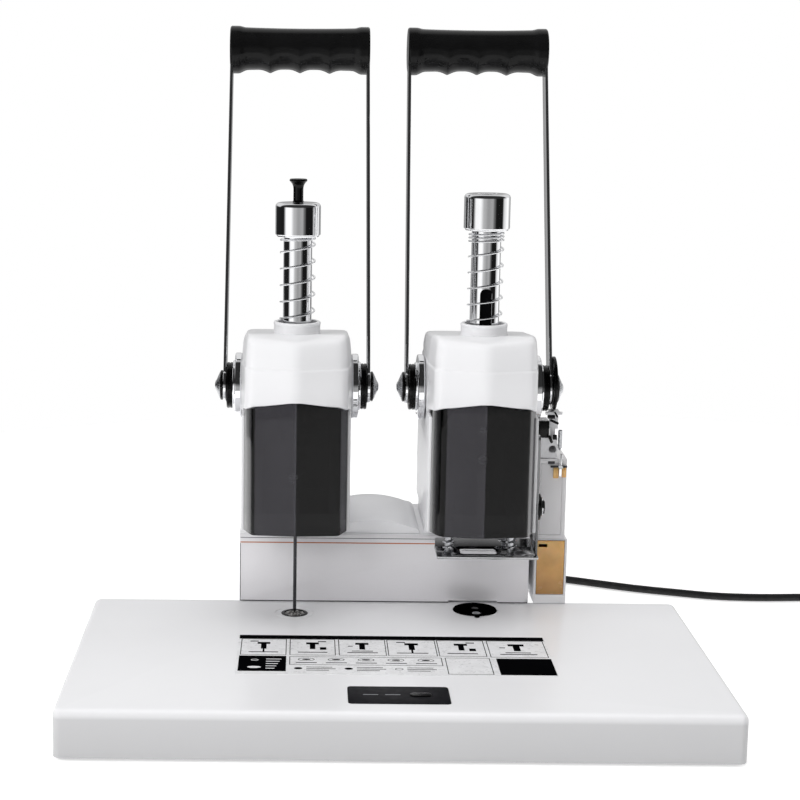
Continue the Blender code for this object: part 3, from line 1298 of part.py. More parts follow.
def drive_belt(body):
    """The belt from the motor's pulley to the spindle's."""
    top = CARRIAGE_TOP - CARRIAGE_THICK - GAP - (PULLEY_HEIGHT - BELT_HEIGHT) / 2
    loops = []
    for radius in (PULLEY_RADIUS + GAP + BELT_THICK, PULLEY_RADIUS + GAP):
        loop = []
        for centre, start in ((COLUMN_Y + MOTOR_SETBACK, 0), (COLUMN_Y, pi)):
            for k in range(BELT_STEPS + 1):
                angle = start + pi * k / BELT_STEPS
                loop.append((LEFT_X + radius * cos(angle), centre + radius * sin(angle)))
        loops.append(loop)
    inner = prism(loops[1], "Z", top - BELT_HEIGHT - OVERRUN, top + OVERRUN)
    return piece("drive_belt", prism(loops[0], "Z", top - BELT_HEIGHT, top), RUBBER, (inner,), body=body)


# The rivet head's own pieces
def heater_block(body):
    """The ribbed heater that hangs under the crosshead."""
    top = CROSSHEAD_TOP - CROSSHEAD_THICK - GAP
    step = (top - HEATER_BOTTOM) / (2 * HEATER_RIBS)
    profile = [(0, HEATER_BOTTOM)]
    for k in range(2 * HEATER_RIBS):
        radius = HEATER_HALF - (HEATER_GROOVE if k % 2 else 0)
        profile += [(radius, HEATER_BOTTOM + k * step), (radius, HEATER_BOTTOM + (k + 1) * step)]
    profile.append((0, top))
    return piece("heater_block", turned(profile, (RIGHT_X, COLUMN_Y, 0), steps=SPINDLE_STEPS), CAST,
                 body=body)


def rivet_rod(body):
    """The bright hot rod that flares the tube, with its small forming tip."""
    top = HEATER_BOTTOM - GAP
    tip = ROD_RADIUS / 2
    profile = [(0, ROD_TIP), (tip, ROD_TIP), (ROD_RADIUS, ROD_TIP + ROD_RADIUS),
               (ROD_RADIUS, top - 2 * ROD_RADIUS)]
    profile += [(2 * ROD_RADIUS, top - ROD_RADIUS), (2 * ROD_RADIUS, top), (0, top)]
    return piece("rivet_rod", turned(profile, (RIGHT_X, COLUMN_Y, 0), steps=SMALL_STEPS), STEEL, body=body)


def guide_places():
    """The X of the press plate's two guide rods."""
    middle = RIGHT_X + PLATE_OFFSET
    return (middle - GUIDE_SPACING / 2, middle + GUIDE_SPACING / 2)


def press_crosshead(body):
    """The bar under the ram that the press springs push against."""
    left, right = guide_places()
    plan = slab(left - CROSSHEAD_END, right + CROSSHEAD_END, COLUMN_Y - CROSSHEAD_HALF_DEPTH,
                COLUMN_Y + CROSSHEAD_HALF_DEPTH, CROSSHEAD_END)
    bar = prism(plan, "Z", CROSSHEAD_TOP - CROSSHEAD_THICK, CROSSHEAD_TOP)
    holes = [rod(GUIDE_RADIUS + RUN, PLATE_TOP, HEAD_TOP, (x, COLUMN_Y, 0)) for x in (left, right)]
    return piece("press_crosshead", bar, CAST, (group(*holes),), body=body)


def press_plate(body):
    """The sprung plate with its turned-up rear edge, side strap and two guide rods."""
    middle = RIGHT_X + PLATE_OFFSET
    left, right = middle - PLATE_LEFT, middle + PLATE_RIGHT
    front, back = COLUMN_Y - PLATE_FRONT, COLUMN_Y + PLATE_BACK
    low = PLATE_TOP - PLATE_THICK
    plate = prism(slab(left, right, front, back, PLATE_THICK), "Z", low, PLATE_TOP)
    flange = block((left + PLATE_THICK, back - PLATE_THICK, low + PLATE_THICK / 2),
                   (right - PLATE_FLANGE, back - PLATE_THICK / 8, PLATE_TOP + PLATE_FLANGE))
    strap_top = STRAP_TOP
    outline = [(front + PLATE_THICK, low + PLATE_THICK / 2), (back - 2 * PLATE_THICK, low + PLATE_THICK / 2)]
    outline += [(back - 2 * PLATE_THICK, PLATE_TOP + PLATE_FLANGE),
                (COLUMN_Y + STRAP_HALF_DEPTH, STRAP_GUSSET_TOP)]
    outline += [(COLUMN_Y + STRAP_HALF_DEPTH, strap_top), (COLUMN_Y - STRAP_HALF_DEPTH, strap_top)]
    outline += [(COLUMN_Y - STRAP_HALF_DEPTH, STRAP_GUSSET_TOP),
                (front + PLATE_THICK, PLATE_TOP + PLATE_FLANGE)]
    strap = prism(rounded(outline, PLATE_FLANGE / 2, 2, (4, 5)), "X", right - STRAP_THICK,
                  right - STRAP_THICK / 16)
    slot = slab(COLUMN_Y - STRAP_SLOT_WIDTH / 2, COLUMN_Y + STRAP_SLOT_WIDTH / 2, STRAP_SLOT_BOTTOM,
                STRAP_SLOT_TOP,
                STRAP_SLOT_WIDTH * BUTTON_ROUND_SHARE / 2)
    slot_cut = prism(slot, "X", right - STRAP_THICK - OVERRUN, right + OVERRUN)
    hole = slab(middle - PLATE_HOLE_HALF, middle + PLATE_HOLE_HALF, COLUMN_Y - PLATE_HOLE_RADIUS,
                COLUMN_Y + PLATE_HOLE_RADIUS, PLATE_HOLE_RADIUS * BUTTON_ROUND_SHARE, 5)
    hole_cut = prism(hole, "Z", low - OVERRUN, PLATE_TOP + OVERRUN)
    rods = []
    for x in guide_places():
        nut_low = CROSSHEAD_TOP + GAP
        profile = [(0, low + PLATE_THICK / 4), (GUIDE_RADIUS, low + PLATE_THICK / 4), (GUIDE_RADIUS, nut_low)]
        profile += [(GUIDE_NUT_RADIUS, nut_low), (GUIDE_NUT_RADIUS, nut_low + GUIDE_NUT),
                    (0, nut_low + GUIDE_NUT)]
        rods.append(turned(profile, (x, COLUMN_Y, 0), steps=SMALL_STEPS))
    return piece("press_plate", plate, CHROME, (slot_cut, hole_cut), (flange, strap, group(*rods)), body=body)


def strap_bolt():
    """The bolt that guides the strap's slot, with its sleeve, washer and hexagon head."""
    sleeve = CASING_HALF + GAP
    strap = PLATE_OFFSET + PLATE_RIGHT
    washer = strap + GAP
    head = washer + BOLT_WASHER
    inside = CASING_HALF - CASING_WALL
    profile = [(0, inside - BOLT_HEAD), (SLEEVE_RADIUS, inside - BOLT_HEAD), (SLEEVE_RADIUS, inside - GAP),
               (BOLT_RADIUS, inside - GAP)]
    profile += [(BOLT_RADIUS, sleeve), (SLEEVE_RADIUS, sleeve), (SLEEVE_RADIUS, strap - STRAP_THICK - GAP)]
    profile += [(BOLT_RADIUS, strap - STRAP_THICK - GAP), (BOLT_RADIUS, washer),
                (SLEEVE_RADIUS + GAP, washer)]
    profile += [(SLEEVE_RADIUS + GAP, head), (0, head)]
    shank = turned(profile, (RIGHT_X, COLUMN_Y, BOLT_Z), "X", SMALL_STEPS)
    hexagon = rod(BOLT_HEAD_RADIUS, head - BOLT_WASHER / 2, head + BOLT_HEAD, (RIGHT_X, COLUMN_Y, BOLT_Z),
                  "X", 6)
    return piece("strap_bolt", shank, STEEL, joins=(hexagon,))


# The tube cutter at the right rear
def cutter_housing():
    """The white pocket for the tray, its back wall and bracket, and the cutting block on top."""
    front, back = PANEL_Y, CUTTER_BACK
    pocket = block((CUTTER_LEFT, front, BASE_SEAT), (CUTTER_RIGHT, back, POCKET_TOP))
    wall = block((CUTTER_LEFT + CUTTER_WALL, back - CUTTER_BACK_WALL, POCKET_TOP - OVERRUN),
                 (BLOCK_RIGHT + CUTTER_WALL, back - CUTTER_WALL, BLOCK_TOP - CUTTER_WALL))
    top_low = BOX_TOP + GAP
    top = block((BLOCK_LEFT, front + CUTTER_WALL, top_low), (BLOCK_RIGHT, back - 2 * CUTTER_WALL, BLOCK_TOP))
    guide = block((GUIDE_BLOCK_LEFT, front + CUTTER_WALL / 2, BLOCK_TOP - CUTTER_WALL),
                  (GUIDE_BLOCK_RIGHT, front + GUIDE_BLOCK_DEPTH, GUIDE_BLOCK_TOP))
    bracket = block((BRACKET_LEFT, BRACKET_FRONT, BASE_SEAT + POCKET_FLOOR),
                    (CUTTER_LEFT + CUTTER_WALL / 2, back - CUTTER_WALL / 2, POCKET_TOP - CUTTER_WALL))
    inside = block((CUTTER_LEFT + CUTTER_WALL, front - OVERRUN, BASE_SEAT + POCKET_FLOOR),
                   (CUTTER_RIGHT - CUTTER_WALL, back - CUTTER_BACK_WALL, POCKET_TOP - CUTTER_WALL / 2))
    y = PIVOT_Y
    blade = block((PLUNGER_MIDDLE - PLUNGER_WIDTH / 2 - RUN, y - PLUNGER_DEPTH * BLADE_DEPTH_SHARE - RUN,
                   top_low - OVERRUN),
                  (PLUNGER_MIDDLE + PLUNGER_WIDTH / 2 + RUN, y + PLUNGER_DEPTH * BLADE_DEPTH_SHARE + RUN,
                   BLOCK_TOP + OVERRUN))
    tube_hole = rod(TUBE_HOLE_RADIUS, -OVERRUN, BLOCK_DEPTH, (PLUNGER_MIDDLE, front, TUBE_HOLE_Z), "Y")
    return piece("cutter_housing", pocket, WHITE, (inside, blade, tube_hole), (bracket, wall, top, guide),
                 smooth=False)


def cutter_box():
    """The grey case of the cutter's drive, above the tray."""
    body = block((BOX_LEFT, PANEL_Y, POCKET_TOP + GAP),
                 (BOX_RIGHT, CUTTER_BACK - CUTTER_BACK_WALL - GAP, BOX_TOP))
    bevel(body, CUTTER_DEPTH_EDGE, upright, 2)
    door = block((BOX_LEFT + DOOR_INSET, PANEL_Y - OVERRUN, POCKET_TOP + DOOR_INSET),
                 (BOX_RIGHT - DOOR_INSET, PANEL_Y + DOOR_GROOVE, BOX_TOP - DOOR_INSET))
    inset = DOOR_INSET + DOOR_GROOVE
    leaf = block((BOX_LEFT + inset, PANEL_Y - 2 * OVERRUN, POCKET_TOP + inset),
                 (BOX_RIGHT - inset, PANEL_Y + 2 * DOOR_GROOVE, BOX_TOP - inset))
    return piece("cutter_box", body, GREY, (carved(door, leaf),), smooth=False)


def cutter_plunger(body):
    """The plate under the cam that carries the blade down through the cutting block."""
    y = PIVOT_Y
    shelf_top = PIVOT_Z - CAM_LOW - PLUNGER_GAP
    half = PLUNGER_DEPTH / 2
    shelf = block((PLUNGER_LEFT, y - half, shelf_top - PLUNGER_SHELF), (PLUNGER_RIGHT, y + half, shelf_top))
    plate = block((PLUNGER_LEFT + GAP, y - PLUNGER_DEPTH * BLADE_DEPTH_SHARE, PLUNGER_PLATE_BOTTOM),
                  (PLUNGER_RIGHT - GAP, y + PLUNGER_DEPTH * BLADE_DEPTH_SHARE, shelf_top - PLUNGER_SHELF / 2))
    half_width = PLUNGER_WIDTH / 2
    outline = [(PLUNGER_MIDDLE - half_width, PLUNGER_PLATE_BOTTOM + PLUNGER_SHELF)]
    outline += [(PLUNGER_MIDDLE - half_width, PLUNGER_BLADE_BOTTOM + PLUNGER_WIDTH / 2)]
    outline += [(PLUNGER_MIDDLE + half_width, PLUNGER_BLADE_BOTTOM),
                (PLUNGER_MIDDLE + half_width, PLUNGER_PLATE_BOTTOM + PLUNGER_SHELF)]
    depth = PLUNGER_DEPTH * BLADE_DEPTH_SHARE - GAP
    blade = prism(outline, "Y", y - depth, y + depth)
    return piece("cutter_plunger", shelf, WHITE, joins=(plate, blade), smooth=False, body=body)


def tube_tray(body):
    """The amber tray for cut tubes, open at the top, with a finger slot in its front."""
    left = CUTTER_LEFT + CUTTER_WALL + GAP
    right = CUTTER_RIGHT - CUTTER_WALL - GAP
    low = BASE_SEAT + POCKET_FLOOR + GAP
    front = PANEL_Y + GAP
    back = PANEL_Y + TRAY_DEPTH
    tray = block((left, front, low), (right, back, TRAY_TOP))
    wall = TRAY_WALL
    inside = block((left + wall, front + wall, low + wall), (right - wall, back - wall, TRAY_TOP + OVERRUN))
    slot_top = TRAY_TOP - TRAY_SLOT_DROP
    slot = block((left + TRAY_SLOT_LEFT, front - OVERRUN, slot_top - TRAY_SLOT_HEIGHT),
                 (left + TRAY_SLOT_LEFT + TRAY_SLOT_WIDTH, front + 2 * wall, slot_top))
    return piece("tube_tray", tray, AMBER, (inside, slot), smooth=False, body=body)


# Cord, its strain relief, coil and plug
def cord_gland():
    """The ribbed, tapered strain relief in the rear wall."""
    flange = GLAND_FLANGE_THICK
    profile = [(0, -HOUSING_WALL - flange), (GLAND_FLANGE, -HOUSING_WALL - flange),
               (GLAND_FLANGE, -HOUSING_WALL - GAP)]
    profile += [(GLAND_BORE - GAP, -HOUSING_WALL - GAP), (GLAND_BORE - GAP, GAP), (GLAND_FLANGE, GAP),
                (GLAND_FLANGE, flange + GAP)]
    step = (GLAND_LENGTH - flange) / (2 * GLAND_RIBS)
    for k in range(2 * GLAND_RIBS):
        share = (k + 1) / (2 * GLAND_RIBS)
        radius = GLAND_RADIUS + (GLAND_TIP_RADIUS - GLAND_RADIUS) * share
        groove = CORD_RADIUS * RIB_SHARE if k % 2 else 0
        profile += [(radius - groove, flange + GAP + k * step),
                    (radius - groove, flange + GAP + (k + 1) * step)]
    profile.append((0, flange + GAP + 2 * GLAND_RIBS * step))
    return piece("cord_gland", turned(profile, (GLAND_X, HOUSING_REAR, GLAND_Z), "Y", SMALL_STEPS), BLACK)


def smooth_route(points, count):
    """Evenly spread points on a smooth curve through the route's own points."""
    dense = []
    padded = [points[0]] + points + [points[-1]]
    for a, b, c, d in zip(padded, padded[1:], padded[2:], padded[3:]):
        for k in range(ROUTE_DENSITY):
            t = k / ROUTE_DENSITY
            dense.append(tuple(0.5 * (2 * q + (r - p) * t + (2 * p - 5 * q + 4 * r - s) * t * t
                                      + (3 * q - p - 3 * r + s) * t ** 3) for p, q, r, s in zip(a, b, c, d)))
    dense.append(points[-1])
    run = [0]
    for a, b in zip(dense, dense[1:]):
        run.append(run[-1] + (Vector(a) - Vector(b)).length)
    spread = []
    k = 0
    for n in range(count + 1):
        goal = run[-1] * n / count
        while k < len(run) - 2 and run[k + 1] < goal:
            k += 1
        share = (goal - run[k]) / (run[k + 1] - run[k])
        spread.append(tuple(p + (q - p) * share for p, q in zip(dense[k], dense[k + 1])))
    return spread, run[-1]


def path_length(points):
    """The length along a line of points."""
    return sum((Vector(a) - Vector(b)).length for a, b in zip(points, points[1:]))


def coil_line():
    """The coil's line: in round its loops, up a layer, out again, then aside to the plug."""
    points = [(COIL_X - COIL_LEAD, COIL_Y - COIL_OUTER, CORD_REST)]
    steps = int(COIL_LOOPS * COIL_STEPS)
    half = COIL_LOOPS / 2
    for k in range(steps + 1):
        turn = COIL_LOOPS * k / steps
        inward = min(turn, COIL_LOOPS - turn)
        climb = min(1, max(0, (turn - half) / COIL_CLIMB + 0.5))
        aside = min(1, max(0, (turn - COIL_LOOPS) / PLUG_SWING_TURNS + 1))
        radius = COIL_OUTER - COIL_STEP * inward + PLUG_SWING * aside * aside
        angle = -pi / 2 + 2 * pi * turn
        z = CORD_REST + COIL_LIFT * climb * climb * (3 - 2 * climb)
        points.append((COIL_X + radius * cos(angle), COIL_Y + radius * sin(angle), z))
    ahead = (Vector(points[-1]) - Vector(points[-2])).normalized()
    ahead.z = 0
    points.append(tuple(Vector(points[-1]) + ahead * COIL_LEAD))
    return points, ahead


def power_cord():
    """The cord's free stretch, its coil and its plug; prints the whole length."""
    stretch, run = smooth_route(CORD_ROUTE, CORD_SEGMENTS)
    tube("power_cord", stretch, CORD_RADIUS, 2, BLACK)
    line, ahead = coil_line()
    tube("power_cord_coil", line, CORD_RADIUS, 1, BLACK)
    report_gap("power_cord_coil", line, 2 * CORD_RADIUS, COIL_STEPS)
    wound = path_length(line)
    print(f"cord: {run:.3f} m free and {wound:.3f} m coiled, {run + wound:.3f} m in all")
    power_plug(line[-1], ahead)


def power_plug(entry, ahead):
    """A plain mains plug with two round pins, lying beside the coil."""
    half = PLUG_WIDTH / 2
    tail = CORD_RADIUS * 2
    plan = [(GAP, -tail), (PLUG_NOSE, -half), (PLUG_LENGTH, -half), (PLUG_LENGTH, half), (PLUG_NOSE, half),
            (GAP, tail)]
    height = entry[2] - GAP / 2
    body = prism(rounded(plan, PLUG_CORNER / 2, 2, (1, 2, 3, 4)), "Z", -height, height)
    bevel(body, PLUG_CORNER / 4, lambda e: at_height(height)(e) or at_height(-height)(e), 1)
    pins = []
    for sign in (-1, 1):
        profile = [(0, PLUG_LENGTH - PIN_LENGTH / 4), (PIN_RADIUS, PLUG_LENGTH - PIN_LENGTH / 4)]
        profile += [(PIN_RADIUS, PLUG_LENGTH + PIN_LENGTH - PIN_EDGE),
                    (PIN_RADIUS - PIN_EDGE, PLUG_LENGTH + PIN_LENGTH)]
        profile.append((0, PLUG_LENGTH + PIN_LENGTH))
        pins.append(turned(profile, (0, sign * PIN_SPACING / 2, 0), "X", SMALL_STEPS))
    place = Matrix.Translation(entry) @ Vector((1, 0, 0)).rotation_difference(ahead).to_matrix().to_4x4()
    pin_shape = group(*pins)
    body.transform(place)
    pin_shape.transform(place)
    piece("power_plug", body, BLACK, joins=(pin_shape,))


def lever_head(side, x):
    """All that the two heads share. Returns the empties of its handle and its ram."""
    left = side == "left"
    ram_radius = LEFT_RAM_RADIUS if left else RIGHT_RAM_RADIUS
    cap_radius = LEFT_CAP_RADIUS if left else RIGHT_CAP_RADIUS
    cap_bottom = LEFT_CAP_BOTTOM if left else RIGHT_CAP_BOTTOM
    cap_top = LEFT_CAP_TOP if left else RIGHT_CAP_TOP
    ram_low = (CARRIAGE_TOP if left else CROSSHEAD_TOP) + GAP
    handle = joint_empty(f"{side}_handle_axis", (x, PIVOT_Y, PIVOT_Z))
    slide = joint_empty(f"{side}_ram_axis", (x, COLUMN_Y, cap_bottom))
    column_casing(side, x)
    front_cover(side, x)
    head_shell(side, x)
    head_frame(side, x, ram_radius)
    pinion(side, x, handle)
    for end in ("outer", "inner"):
        hub_nut(side, end, x, handle)
        handle_arm(side, end, x, handle)
    grip(side, x, handle)
    ram(side, x, ram_radius, ram_low, cap_bottom + CAP_SOCKET - GAP, slide)
    ram_cap(side, x, ram_radius, cap_radius, cap_bottom, cap_top, slide)
    closed = 0 if left else RIGHT_CLOSED_TURNS
    wire = helix(FRAME_TOP + GAP, cap_bottom - GAP, (x, COLUMN_Y), SPRING_RADIUS, SPRING_WIRE, SPRING_PITCH,
                 closed)
    spring(f"{side}_return_spring", wire, SPRING_WIRE, CHROME)
    return handle, slide


def main():
    """Clears the scene and builds the machine."""
    for old in list(bpy.data.objects):
        bpy.data.objects.remove(old)
    base_floor()
    housing_floor()
    base_cover()
    switch_panel()
    power_button(joint_empty("power_button_axis", (BUTTON_OFFSET, BASE_FRONT + SWITCH_SETBACK, BASE_TOP)))
    drill_pad_ring()
    drill_pad()
    turret = joint_empty("die_turret_axis", (RIGHT_X, TURRET_Y, BASE_TOP))
    die_turret(turret)
    lower_die(turret)
    rear_housing()
    front_panel()
    crowned_cover()
    left_slide = lever_head("left", LEFT_X)[1]
    needle = joint_empty("needle_axis", (LEFT_X, COLUMN_Y, LEFT_CAP_TOP))
    clearing_needle(needle)
    needle_knob(needle)
    drill_chuck(left_slide)
    drill_bit(left_slide)
    drill_motor(left_slide)
    drive_belt(left_slide)
    right_handle, right_slide = lever_head("right", RIGHT_X)
    cutter_cam(RIGHT_X, right_handle)
    heater_block(right_slide)
    rivet_rod(right_slide)
    press_crosshead(right_slide)
    press = joint_empty("press_plate_axis", (RIGHT_X + PLATE_OFFSET, COLUMN_Y, PLATE_TOP), right_slide)
    press_plate(press)
    seats = (PLATE_TOP + GAP, CROSSHEAD_TOP - CROSSHEAD_THICK - GAP)
    for name, x in zip(("left_press_spring", "right_press_spring"), guide_places()):
        line = helix(*seats, (x, COLUMN_Y), PRESS_SPRING_RADIUS, PRESS_WIRE, PRESS_PITCH)
        spring(name, line, PRESS_WIRE, STEEL, right_slide)
    strap_bolt()
    cutter_housing()
    cutter_box()
    cutter_plunger(joint_empty("cutter_plunger_axis", (PLUNGER_MIDDLE, PIVOT_Y, BLOCK_TOP)))
    tube_tray(joint_empty("tube_tray_axis", (CUTTER_RIGHT, PANEL_Y, BASE_TOP)))
    cord_gland()
    power_cord()


WHITE = material("white_enamel", (0.80, 0.80, 0.80), 0.35)
GREY = material("grey_metallic", (0.48, 0.49, 0.51), 0.4, 0.3)
BLACK = material("black_plastic", (0.012, 0.012, 0.013), 0.3)
DARK_PLASTIC = material("dark_grey_plastic", (0.03, 0.03, 0.033), 0.4)
SMOKED = material("smoked_acrylic", (0.02, 0.02, 0.022), 0.08, 0.0, 0.75)
CHROME = material("chrome", (0.75, 0.75, 0.76), 0.08, 1.0)
STEEL = material("steel", (0.55, 0.55, 0.56), 0.25, 1.0)
CAST = material("cast_aluminium", (0.42, 0.42, 0.43), 0.45, 0.8)
RUBBER = material("rubber", (0.02, 0.02, 0.02), 0.8)
PAD = material("pad_insert", (0.45, 0.44, 0.42), 0.6)
AMBER = material("amber_plastic", (0.72, 0.36, 0.08), 0.3, 0.0, 0.9)
main()
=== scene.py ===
"""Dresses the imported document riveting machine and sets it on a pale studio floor.

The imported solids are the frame. Each operator below makes one piece, or a group of like
pieces, in metres and in the frame's own place. X is to the right, Y to the back, Z up.
"""

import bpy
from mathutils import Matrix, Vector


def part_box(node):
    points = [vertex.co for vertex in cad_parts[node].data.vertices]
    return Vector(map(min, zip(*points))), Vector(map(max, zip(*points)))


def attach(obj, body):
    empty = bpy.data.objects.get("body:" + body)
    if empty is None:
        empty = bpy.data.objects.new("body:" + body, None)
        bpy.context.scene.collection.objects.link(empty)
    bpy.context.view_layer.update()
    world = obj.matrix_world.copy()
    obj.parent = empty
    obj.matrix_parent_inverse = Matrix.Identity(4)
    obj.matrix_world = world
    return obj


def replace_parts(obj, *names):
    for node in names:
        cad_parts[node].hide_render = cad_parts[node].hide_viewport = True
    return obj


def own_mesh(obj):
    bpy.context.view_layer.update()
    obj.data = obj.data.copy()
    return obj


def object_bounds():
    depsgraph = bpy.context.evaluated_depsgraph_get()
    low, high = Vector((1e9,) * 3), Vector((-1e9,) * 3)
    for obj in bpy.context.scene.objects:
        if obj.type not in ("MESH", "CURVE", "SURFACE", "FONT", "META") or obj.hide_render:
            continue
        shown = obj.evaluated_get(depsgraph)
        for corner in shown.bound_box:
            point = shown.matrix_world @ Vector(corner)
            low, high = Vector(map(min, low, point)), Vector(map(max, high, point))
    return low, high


bl_info = {
    "name": "Document riveting machine",
    "version": (1, 0, 0),
    "blender": (4, 5, 0),
    "location": "3D View > Sidebar > Riveter",
    "description": "Builds the dressed model of a desk machine that drills and rivets paper",
    "category": "Object",
}
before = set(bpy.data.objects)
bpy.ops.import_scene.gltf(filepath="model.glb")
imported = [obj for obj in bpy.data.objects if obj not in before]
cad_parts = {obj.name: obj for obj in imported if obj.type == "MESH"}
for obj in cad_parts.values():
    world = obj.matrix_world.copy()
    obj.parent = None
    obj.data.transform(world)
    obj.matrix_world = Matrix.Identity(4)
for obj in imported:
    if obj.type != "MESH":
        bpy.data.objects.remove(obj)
cad_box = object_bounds()

from math import acos, atan2, ceil, cos, hypot, pi, radians, sin, tan

import bmesh
import bpy
from bpy.props import FloatProperty, FloatVectorProperty, PointerProperty
from mathutils import Matrix, Vector

MM = 0.001
SIDES = ("left", "right")

# Support points on turned profiles: the shortest run that has them, their distance from its ends,
# and the radius under which a point counts as on the axis
LONG_RUN, BRACE, ON_AXIS = 1.6 * MM, 0.25 * MM, 0.1 * MM
WELD = 0.005 * MM

# The camera, from the photograph's perspective
CAMERA_PLACE = (-0.0583, -1.1803, 0.3967)
CAMERA_PITCH = radians(10.23)
CAMERA_YAW = radians(0.17)
CAMERA_ROLL = radians(-0.59)
CAMERA_LENS = 84.28
CAMERA_SENSOR = 36.0
CAMERA_SHIFT = 0.1152


# The frame's own places
def node_box(name):
    """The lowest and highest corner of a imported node, as vectors."""
    low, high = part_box(name)
    return Vector(low), Vector(high)


def middle(name):
    """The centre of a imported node's box."""
    low, high = node_box(name)
    return (low + high) / 2


# The middle of each ram's cap, of each lever's pivot, and the ram's axis on the table
COLUMN = {side: middle(f"{side}_ram_cap") for side in SIDES}
PIVOT = {side: middle(f"{side}_pinion") for side in SIDES}
BASE_LOW, BASE_HIGH = node_box("base_cover")
BASE_TOP = BASE_HIGH.z
AXIS = {side: Vector((COLUMN[side].x, COLUMN[side].y, 0)) for side in SIDES}
FINISHES = {}


def half_wide(name):
    """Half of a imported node's width along X."""
    low, high = node_box(name)
    return (high.x - low.x) / 2


# Making meshes
def piece(name, shape, finish, body="machine", smooth_angle=radians(35)):
    """Turns a bmesh into a named piece with one of the finishes, riding on a body."""
    data = bpy.data.meshes.new(name)
    shape.to_mesh(data)
    shape.free()
    made = bpy.data.objects.new(name, data)
    bpy.context.scene.collection.objects.link(made)
    data.shade_smooth()
    data.set_sharp_from_angle(angle=smooth_angle)
    data.materials.append(FINISHES[finish])
    if body:
        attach(made, body)
    return made


def eased(node, name, finish, body="machine", width=0.5 * MM, segments=2, angle=radians(30)):
    """A flat-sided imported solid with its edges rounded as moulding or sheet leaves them."""
    shape = bmesh.new()
    shape.from_mesh(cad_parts[node].data)
    bmesh.ops.remove_doubles(shape, verts=shape.verts, dist=0.002 * MM)
    bmesh.ops.dissolve_limit(shape, angle_limit=radians(1), verts=shape.verts, edges=shape.edges)
    soften(shape, width, segments, angle)
    made = piece(name, shape, finish, body)
    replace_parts(made, node)
    return made


def in_metres(points):
    """Plane points given in millimetres, in metres."""
    return [(a * MM, b * MM) for a, b in points]


def hexagon(x, y, radius):
    """The corners of a hexagon round a place, in metres."""
    return [(x + radius * cos(pi * k / 3), y + radius * sin(pi * k / 3)) for k in range(6)]


def prism(outline, axis, low, high):
    """A straight extrusion of a plane outline along X, Y or Z."""
    place = {"X": lambda a, b, c: (c, a, b), "Y": lambda a, b, c: (a, c, b), "Z": lambda a, b, c: (a, b, c)}
    shape = bmesh.new()
    ends = [[shape.verts.new(place[axis](a, b, c)) for a, b in outline] for c in (low, high)]
    for end in ends:
        shape.faces.new(end)
    for i in range(len(outline)):
        j = (i + 1) % len(outline)
        shape.faces.new((ends[0][i], ends[0][j], ends[1][j], ends[1][i]))
    bmesh.ops.recalc_face_normals(shape, faces=shape.faces)
    return shape


def block(low, high):
    """A plain block between two corners, a start for bevels and cuts."""
    outline = [(low[0], low[1]), (high[0], low[1]), (high[0], high[1]), (low[0], high[1])]
    return prism(outline, "Z", low[2], high[2])


def braced(profile):
    """The profile with a point near each end of its long runs, so that they shade straight."""
    points = profile[:1]
    for (a, b), (c, d) in zip(profile, profile[1:]):
        run = hypot(c - a, d - b)
        if run > LONG_RUN:
            ends = [BRACE / run] * (a > ON_AXIS) + [1 - BRACE / run] * (c > ON_AXIS)
            points += [(a + (c - a) * share, b + (d - b) * share) for share in ends]
        points.append((c, d))
    return points


def turned(profile, centre, axis="Z", steps=96, ring=False):
    """A solid of revolution from (radius, height) points."""
    shape = bmesh.new()
    loops = []
    for radius, height in braced(list(profile)):
        if radius == 0:
            loops.append([shape.verts.new((0, 0, height))])
        else:
            turns = [2 * pi * k / steps for k in range(steps)]
            loops.append([shape.verts.new((radius * cos(a), radius * sin(a), height)) for a in turns])
    pairs = list(zip(loops, loops[1:])) + ([(loops[-1], loops[0])] if ring else [])
    for lower, upper in pairs:
        for k in range(steps):
            n = (k + 1) % steps
            corners = [loop[at % len(loop)] for loop, at in ((lower, k), (lower, n), (upper, n), (upper, k))]
            corners = list(dict.fromkeys(corners))
            if len(corners) > 2:
                shape.faces.new(corners)
    bmesh.ops.recalc_face_normals(shape, faces=shape.faces)
    turns = {"X": Matrix.Rotation(pi / 2, 4, "Y"), "Y": Matrix.Rotation(-pi / 2, 4, "X"),
             "Z": Matrix.Identity(4)}
    shape.transform(Matrix.Translation(centre) @ turns[axis])
    return shape


def loft(rings, looped=False):
    """A skin through rings of points, closed at both ends, or looped from the last ring to the first."""
    shape = bmesh.new()
    loops = [[shape.verts.new(point) for point in ring] for ring in rings]
    for lower, upper in zip(loops, loops[1:] + loops[:looped]):
        for k in range(len(lower)):
            n = (k + 1) % len(lower)
            shape.faces.new((lower[k], lower[n], upper[n], upper[k]))
    if not looped:
        shape.faces.new(list(reversed(loops[0])))
        shape.faces.new(loops[-1])
    bmesh.ops.recalc_face_normals(shape, faces=shape.faces)
    return shape


def swept(points, radius, sides):
    """A round wire along a line of points, as a closed mesh."""
    places = [Vector(p) for p in points]
    normal = None
    rings = []
    for i, here in enumerate(places):
        ahead = (places[min(i + 1, len(places) - 1)] - places[max(i - 1, 0)]).normalized()
        if normal is None:
            normal = ahead.cross(Vector((0, 0, 1)))
            normal = normal if normal.length > 0.1 else ahead.cross(Vector((1, 0, 0)))
        normal = (normal - ahead * normal.dot(ahead)).normalized()
        side = ahead.cross(normal)
        turns = [2 * pi * k / sides for k in range(sides)]
        rings.append([here + (normal * cos(a) + side * sin(a)) * radius for a in turns])
    return loft(rings)


